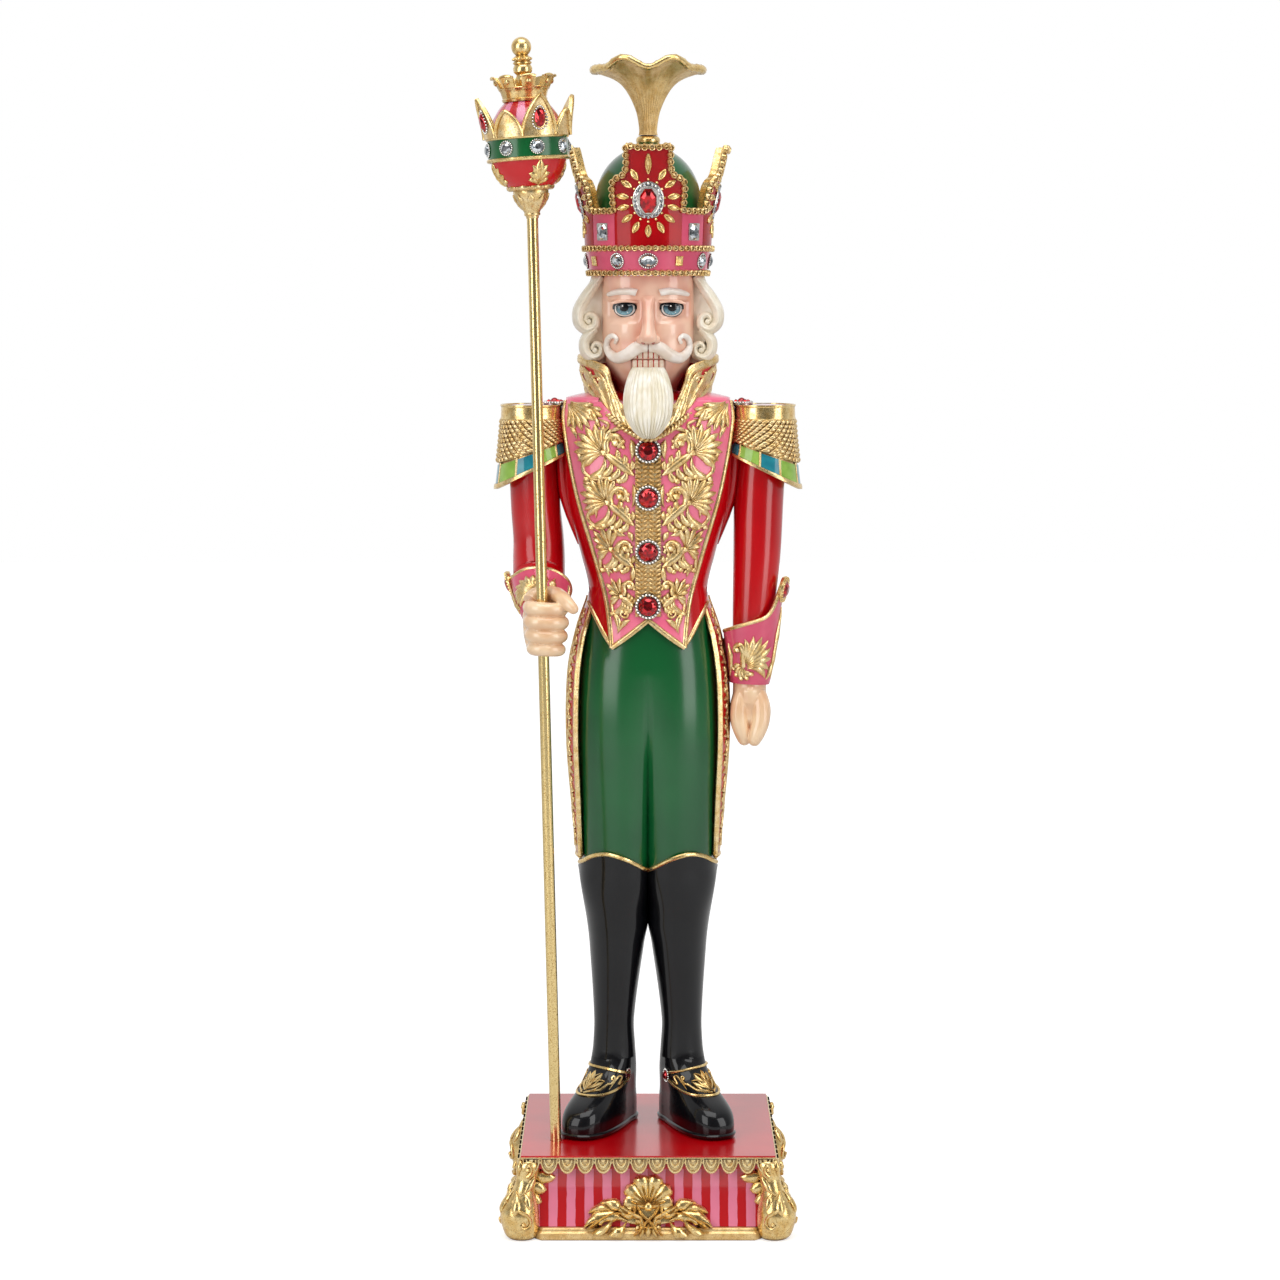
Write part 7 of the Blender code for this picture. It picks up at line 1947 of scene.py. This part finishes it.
def make_arms():
    make_sleeves()
    make_cuff("left", HANGING_WRIST, back=Vector((0.05, 0.03, 1)), tip=Vector((1, -0.25, 0)), side=1,
              turn_front=-1.2, flare=22.8, length=40.0, peak=39.0)
    make_cuff("right", WRIST + Vector((0.5, 0, -6)), back=Vector((0, 0, 0.3)) - FOREARM,
              tip=Vector((-1, 0, -0.35)), side=-1, turn_front=1.2, flare=24.0, length=26.0, peak=16.0)
    make_hands()
    for name, side in SIDES.items():
        make_epaulette(name, side)


# Staff

POLE_RADIUS, POLE_SUNK = 4.3, 7.8
CUP_FOOT, CUP_HEIGHT = 0.6, 21.5
ORB_RADIUS, ORB_LOW, ORB_HIGH, ORB_BAND_HALF = 30.0, 28.5, 35.0, 8.0
ORB_WAIST = CUP_FOOT + CUP_HEIGHT + SEAT + ORB_LOW
BAND_RADIUS = ORB_RADIUS + 0.6
PETAL_HEIGHT, PETAL_LEAN, PETAL_TURN = 30.0, 5.5, math.radians(20)
CROWNLET_FOOT = ORB_WAIST + ORB_HIGH + SEAT
CROWNLET_HEIGHT, CROWNLET_SPREAD, CROWNLET_GIRTH, MERLONS = 19.0, 8.0, 22.0, 8
FRILL_GIRTH, FLANK_GIRTH = 17.0, 11.0
SPINDLE_HEIGHT, STAFF_BALL = 34.0, 7.6
HEAD_ACROSS = Vector((HEAD_UP.z, 0, -HEAD_UP.x))


def staff_point(turn, radius, rise):
    """A place on the staff's head, about its own leaning axis."""
    return (HEAD_FOOT + HEAD_UP * rise + HEAD_ACROSS * (radius * math.cos(turn))
            + Vector((0, radius * math.sin(turn), 0)))


def staff_rings(profile, count=48):
    return [[staff_point(turn, radius, rise) for turn in turns(count)] for radius, rise in profile]


def orb_radius(height):
    pole = 1.17 * ORB_HIGH if height > 0 else 1.23 * ORB_LOW
    return ORB_RADIUS * math.sqrt(1 - (height / pole) ** 2)


def orb_face(way):
    """The orb's skin about one direction: u runs round it in millimetres, v is the height from its waist."""
    return skin_of(lambda u, v: staff_point(way + u / ORB_RADIUS, orb_radius(v), ORB_WAIST + v))


def make_orb():
    bowl = [(orb_radius(v), ORB_WAIST + v) for v in evenly(-ORB_LOW, -ORB_BAND_HALF, 14)]
    Form().loft(staff_rings(bowl)).piece("staff_bowl", RED, "staff", ["staff_orb"], "red")
    dome = [(orb_radius(v), ORB_WAIST + v) for v in evenly(ORB_BAND_HALF, ORB_HIGH, 14)]
    Form().loft(staff_rings(dome, 72)).piece("staff_dome", ORB_STRIPES, "staff", slot="red")
    band = [(28.0, -ORB_BAND_HALF), (BAND_RADIUS, -ORB_BAND_HALF), (BAND_RADIUS + 0.3, 0.0),
            (BAND_RADIUS, ORB_BAND_HALF), (28.0, ORB_BAND_HALF)]
    Form().loft(staff_rings([(radius, ORB_WAIST + rise) for radius, rise in band], 72)).piece(
        "staff_band", GREEN, "staff", slot="green")
    rims, mounts, stones = Form(), Form(), Form()
    for rise, size in ((-ORB_BAND_HALF - 0.2, 1.6), (ORB_BAND_HALF + 0.2, 1.7)):
        rims.tube([staff_point(turn, BAND_RADIUS - 0.2, ORB_WAIST + rise) for turn in turns(64)], size, 8,
                  looped=True)
    for k in range(8):
        turn = FRONT + math.radians(15) + k * math.pi / 4
        spot = staff_point(turn, BAND_RADIUS + 0.2, ORB_WAIST)
        normal = (spot - staff_point(turn, 0.0, ORB_WAIST)).normalized()
        across = HEAD_UP.cross(normal).normalized()
        mounts.ring_of_beads(spot + normal * 0.3, across, HEAD_UP, 5.2, 5.2, 0.8, 20)
        stones.gem(spot + normal * 0.2, across, HEAD_UP, 4.7, 4.7, 2.6, 12)
    for k in range(4):
        surface = orb_face(FRONT + PETAL_TURN + k * math.pi / 2)
        rims.leaf(surface, (0, -27), (0, -9.2), 4.0, 2.0, 0.0, 0, 9, 0.45)
        for hand in (-1, 1):
            rims.leaves(surface, hand, (
                ((0, -26), (6.6, -14.0), 3.0, 1.9, 0.12, 0), ((0, -27), (10.0, -19.5), 3.0, 1.9, 0.14, 0),
                ((0, -28), (11.0, -24.5), 2.4, 1.8, 0.14, 0)))
        rims.stroke(surface, [(0, -27), (0, -11)], 0.6, 2.6)
    rims.piece("staff_orb_gold", BRIGHT_GOLD, "staff", slot="gold")
    mounts.piece("staff_stone_mounts", SILVER, "staff", slot="steel")
    stones.piece("staff_crystals", CRYSTAL, "staff", slot="steel", crease=0)


def petal_surface(way, lift=0.0):
    def place(u, v):
        radius = BAND_RADIUS + 1.6 + PETAL_LEAN * (max(v, 0.0) / PETAL_HEIGHT) ** 2 + lift
        return staff_point(way + u / (ORB_RADIUS + 2), radius, ORB_WAIST + ORB_BAND_HALF + SEAT + v)
    return place


def make_petals():
    petals, trim, beads, stones = Form(), Form(), Form(), Form()
    for k in range(8):
        tall = k % 2 == 0
        way = FRONT + PETAL_TURN + k * math.pi / 4
        height = PETAL_HEIGHT if tall else 0.64 * PETAL_HEIGHT
        half = 14.0 if tall else 11.5
        power = 1.5 if tall else 1.7

        def outline(share):
            return half * (1 - share ** power) ** (0.9 if tall else 0.8)

        def place(u, v, lift):
            extra = 0.0 if tall else 0.5
            return petal_surface(way, lift - extra)(u * outline(v), v * height)
        petals.shell(place, evenly(-1, 1, 16), [min(v, 0.995) for v in evenly(0, 1, 14)], 0.4, -1.8)
        surface = skin_of(petal_surface(way, 0.2))
        edge = [(outline(share), height * share) for share in evenly(0, 1, 12)]
        trim.stroke(surface, edge, 1.5, 2.0, 3, False)
        trim.stroke(surface, [(-u, v) for u, v in edge], 1.5, 2.0, 3, False)
        if not tall:
            continue
        spot, normal, across, up = spot_on(surface, 0.43 * height)
        for turn in turns(22):
            narrow = 1 - 0.28 * math.sin(turn)
            beads.bead(spot + normal * 0.7 + across * (5.6 * narrow * math.cos(turn))
                       + up * (8.6 * math.sin(turn)), 0.95)
        stones.gem(spot + normal * 0.5, across, up, 4.3, 7.2, 2.8, 10)
    petals.piece("staff_petals", GOLD, "staff", ["staff_petals"], "gold")
    trim.piece("staff_petal_edges", BRIGHT_GOLD, "staff", slot="gold")
    beads.piece("staff_petal_beads", SILVER, "staff", slot="steel")
    stones.piece("staff_petal_rubies", RUBY, "staff", slot="ruby", crease=0)


def make_crownlet():
    wall = Form()
    foot = orb_radius(ORB_HIGH)

    def radius_at(rise):
        return foot + 0.6 + CROWNLET_SPREAD * (max(rise, 0.0) / CROWNLET_HEIGHT) ** 1.5

    def place(u, v, lift):
        return staff_point(u, radius_at(v) + lift, CROWNLET_FOOT + v)
    step = 2 * math.pi / MERLONS
    low = 0.52 * CROWNLET_HEIGHT
    wall.loft([[place(turn, rise, lift) for turn in turns(64)] for rise, lift in (
        (0.0, 0.6), (1.6, 1.0), (2.4, 0.2), (0.35 * CROWNLET_HEIGHT, 0.0), (low - 1, 0.2), (low, 0.8),
        (low + 0.6, 0.0), (low, -2.4), (0.0, -3.0))], capped=False, looped=True)
    for k in range(MERLONS):
        start = FRONT + math.radians(12) + step * (k - 0.31)
        wall.shell(place, evenly(start, start + 0.62 * step, 6),
                   [low - 1.5, low + 2, 0.8 * CROWNLET_HEIGHT, CROWNLET_HEIGHT - 0.6], 0.5, -2.2)
        surface = skin_of(lambda u, v: place(u / CROWNLET_GIRTH, v, 0.5))
        middle = (start + 0.31 * step) * CROWNLET_GIRTH
        wall.leaf(surface, (middle - 2.4, low + 4.2), (middle + 2.4, low + 4.2), 2.2, 1.4, 0.0, 0, 6, 0.5)
        wall.stroke(surface, [(middle - 4.4, CROWNLET_HEIGHT - 1.0), (middle, CROWNLET_HEIGHT - 0.4),
                              (middle + 4.4, CROWNLET_HEIGHT - 1.0)], 1.0, 1.3, 3, False)
    wall.piece("staff_crownlet", BRIGHT_GOLD, "staff", ["staff_crownlet"], "gold")


def make_finial():
    profile = ((11.0, 0.0), (11.0, 5.0), (7.0, 8.0), (5.4, 11.0), (6.6, 14.0), (6.8, 16.4), (5.2, 19.0),
               (5.0, 20.0), (7.0, 22.0), (7.4, 24.6), (6.4, 27.0), (6.0, 27.6), (7.2, 28.4), (7.2, 29.2),
               (6.0, 30.0), (6.9, 31.2), (7.1, 32.6), (5.6, 33.8), (4.6, 34.6))
    spindle = Form().loft(staff_rings([(radius, CROWNLET_FOOT + rise) for radius, rise in profile], 40))
    top = CROWNLET_FOOT + SPINDLE_HEIGHT - 0.8 + STAFF_BALL
    spindle.loft(staff_rings([(STAFF_BALL * math.cos(turn), top + STAFF_BALL * math.sin(turn))
                              for turn in evenly(-1.5, 1.5, 24)], 40))
    for turn in turns(20):
        spindle.bead(staff_point(turn, 6.8, CROWNLET_FOOT + 31.8), 1.1)
    spindle.piece("staff_finial", BRIGHT_GOLD, "staff", ["staff_finial"], "gold", 35)


def make_pole():
    pole = Form()
    foot = STAFF_FOOT - STAFF_UP * POLE_SUNK
    path = [foot] + [STAFF_FOOT + STAFF_UP * rise for rise in evenly(0, POLE_LENGTH, 12)]
    pole.tube(path, POLE_RADIUS, 32, up=(0, 1, 0))
    pole.piece("staff_pole", POLE_GOLD, "staff", ["staff_pole"], "pole", 60)
    cup_profile = ((4.7, -2.4), (5.0, -0.6), (6.0, -0.2), (6.3, 0.8), (5.9, 1.8), (6.4, 3.0), (8.4, 6.0),
                   (10.4, 9.2), (12.2, 12.8), (13.2, 15.6), (13.6, 17.2), (13.4, 18.6), (14.6, 20.0),
                   (15.0, 21.0), (14.4, 21.8))
    holder = Form().loft(staff_rings([(radius, CUP_FOOT + rise) for radius, rise in cup_profile]))

    def frill(u, v):
        return staff_point(u / FRILL_GIRTH, 15.0 + 0.62 * v, CUP_FOOT + 20.4 + 0.30 * v)
    surface = skin_of(frill)
    for middle in turns(10, 0.0, 2 * math.pi * FRILL_GIRTH):
        holder.leaf(surface, (middle, -3.4), (middle, 5.0), 5.2, 2.2, 0.0, 0, 9, 0.6)
        holder.leaf(surface, (middle + 5.3, -3.0), (middle + 5.3, 3.4), 3.0, 1.6, 0.0, 0, 7, 0.6)
    flank = skin_of(lambda u, v: staff_point(u / FLANK_GIRTH, 6.4 + 0.56 * (v - 3.0), CUP_FOOT + v))
    for middle in turns(8, 0.0, 2 * math.pi * FLANK_GIRTH):
        holder.leaf(flank, (middle, 4.4), (middle, 16.0), 3.4, 1.7, 0.0, 3)
    holder.piece("staff_cup", GOLD, "staff", ["staff_cup"], "gold")


def make_staff():
    make_pole()
    make_orb()
    make_petals()
    make_crownlet()
    make_finial()


# Floor, light and camera

CAMERA_PLACE = (-0.0063, -2.58, 0.7346)
CAMERA_PITCH = math.radians(6.225)
CAMERA_LENS, CAMERA_SENSOR = 92.81, 36.0
FLOOR_MIRROR, WORLD_MIRROR = 0.25, 0.15
LIGHT_TARGET = Vector((0, 0, 0.5))


def make_stage():
    bpy.ops.mesh.primitive_plane_add(size=12.0)
    floor = bpy.context.object
    floor.name = "floor"
    paint = Finish("floor_white", roughness=0.85)
    paint.paint(paint.blend(paint.noise(400.0, 1.0), srgb(208, 208, 208), srgb(216, 216, 216)))
    path = paint.add("ShaderNodeLightPath").outputs
    seen = paint.math("MULTIPLY_ADD", path["Is Glossy Ray"], FLOOR_MIRROR, path["Is Camera Ray"])
    away = paint.add("ShaderNodeVectorMath", {0: paint.place}, operation="LENGTH").outputs["Value"]
    bright = paint.fade(away, 0.3, 3.0, 0.60, 0.84)
    paint.plug(paint.shader.inputs["Emission Strength"], paint.math("MULTIPLY", seen, bright))
    paint.shader.inputs["Emission Color"].default_value = (1, 1, 1, 1)
    floor.data.materials.append(paint.material)


def make_light():
    """White surroundings, darker behind the camera, with soft lamps at both sides and above."""
    world = bpy.data.worlds.new("studio")
    bpy.context.scene.world = world
    world.use_nodes = True
    nodes, links = world.node_tree.nodes, world.node_tree.links
    around = nodes.new("ShaderNodeTexCoord")
    split = nodes.new("ShaderNodeSeparateXYZ")
    links.new(around.outputs["Generated"], split.inputs[0])
    ramp = nodes.new("ShaderNodeMapRange")
    ramp.interpolation_type = "SMOOTHSTEP"
    for key, value in {"From Min": -0.7, "From Max": 0.8, "To Min": 0.12, "To Max": 0.75}.items():
        ramp.inputs[key].default_value = value
    links.new(split.outputs[1], ramp.inputs["Value"])
    path = nodes.new("ShaderNodeLightPath").outputs

    def combined(operation, *values):
        node = nodes.new("ShaderNodeMath")
        node.operation = operation
        for socket, value in zip(node.inputs, values):
            if isinstance(value, float):
                socket.default_value = value
            else:
                links.new(value, socket)
        return node.outputs[0]
    mirror_gain = combined("MULTIPLY_ADD", path["Is Glossy Ray"], WORLD_MIRROR, 1.0)
    surroundings = combined("MULTIPLY", ramp.outputs[0], mirror_gain)
    strength = combined("MAXIMUM", surroundings, path["Is Camera Ray"])
    links.new(strength, nodes["Background"].inputs["Strength"])
    nodes["Background"].inputs["Color"].default_value = (1, 1, 1, 1)
    lamps = (("left_softbox", (-1.6, -1.7, 1.2), 24.0, (1.2, 2.0)),
             ("right_softbox", (1.7, -1.4, 1.1), 20.0, (1.0, 2.0)),
             ("top_softbox", (0.0, -0.6, 2.2), 18.0, (1.6, 1.2)))
    for name, place, power, (wide, tall) in lamps:
        lamp = bpy.data.lights.new(name, "AREA")
        lamp.shape, lamp.size, lamp.size_y, lamp.energy = "RECTANGLE", wide, tall, power
        holder = bpy.data.objects.new(name, lamp)
        holder.location = place
        holder.rotation_euler = (LIGHT_TARGET - Vector(place)).to_track_quat("-Z", "Y").to_euler()
        bpy.context.scene.collection.objects.link(holder)


def make_camera():
    eye = bpy.data.cameras.new("camera")
    eye.lens, eye.sensor_width = CAMERA_LENS, CAMERA_SENSOR
    holder = bpy.data.objects.new("camera", eye)
    holder.location = CAMERA_PLACE
    holder.rotation_euler = (math.pi / 2 - CAMERA_PITCH, 0, 0)
    bpy.context.scene.collection.objects.link(holder)
    bpy.context.scene.camera = holder


make_camera()
make_light()
make_stage()
make_base()
make_legs()
make_torso()
make_head()
make_crown()
make_arms()
make_staff()
bpy.context.scene.view_settings.view_transform = "Standard"
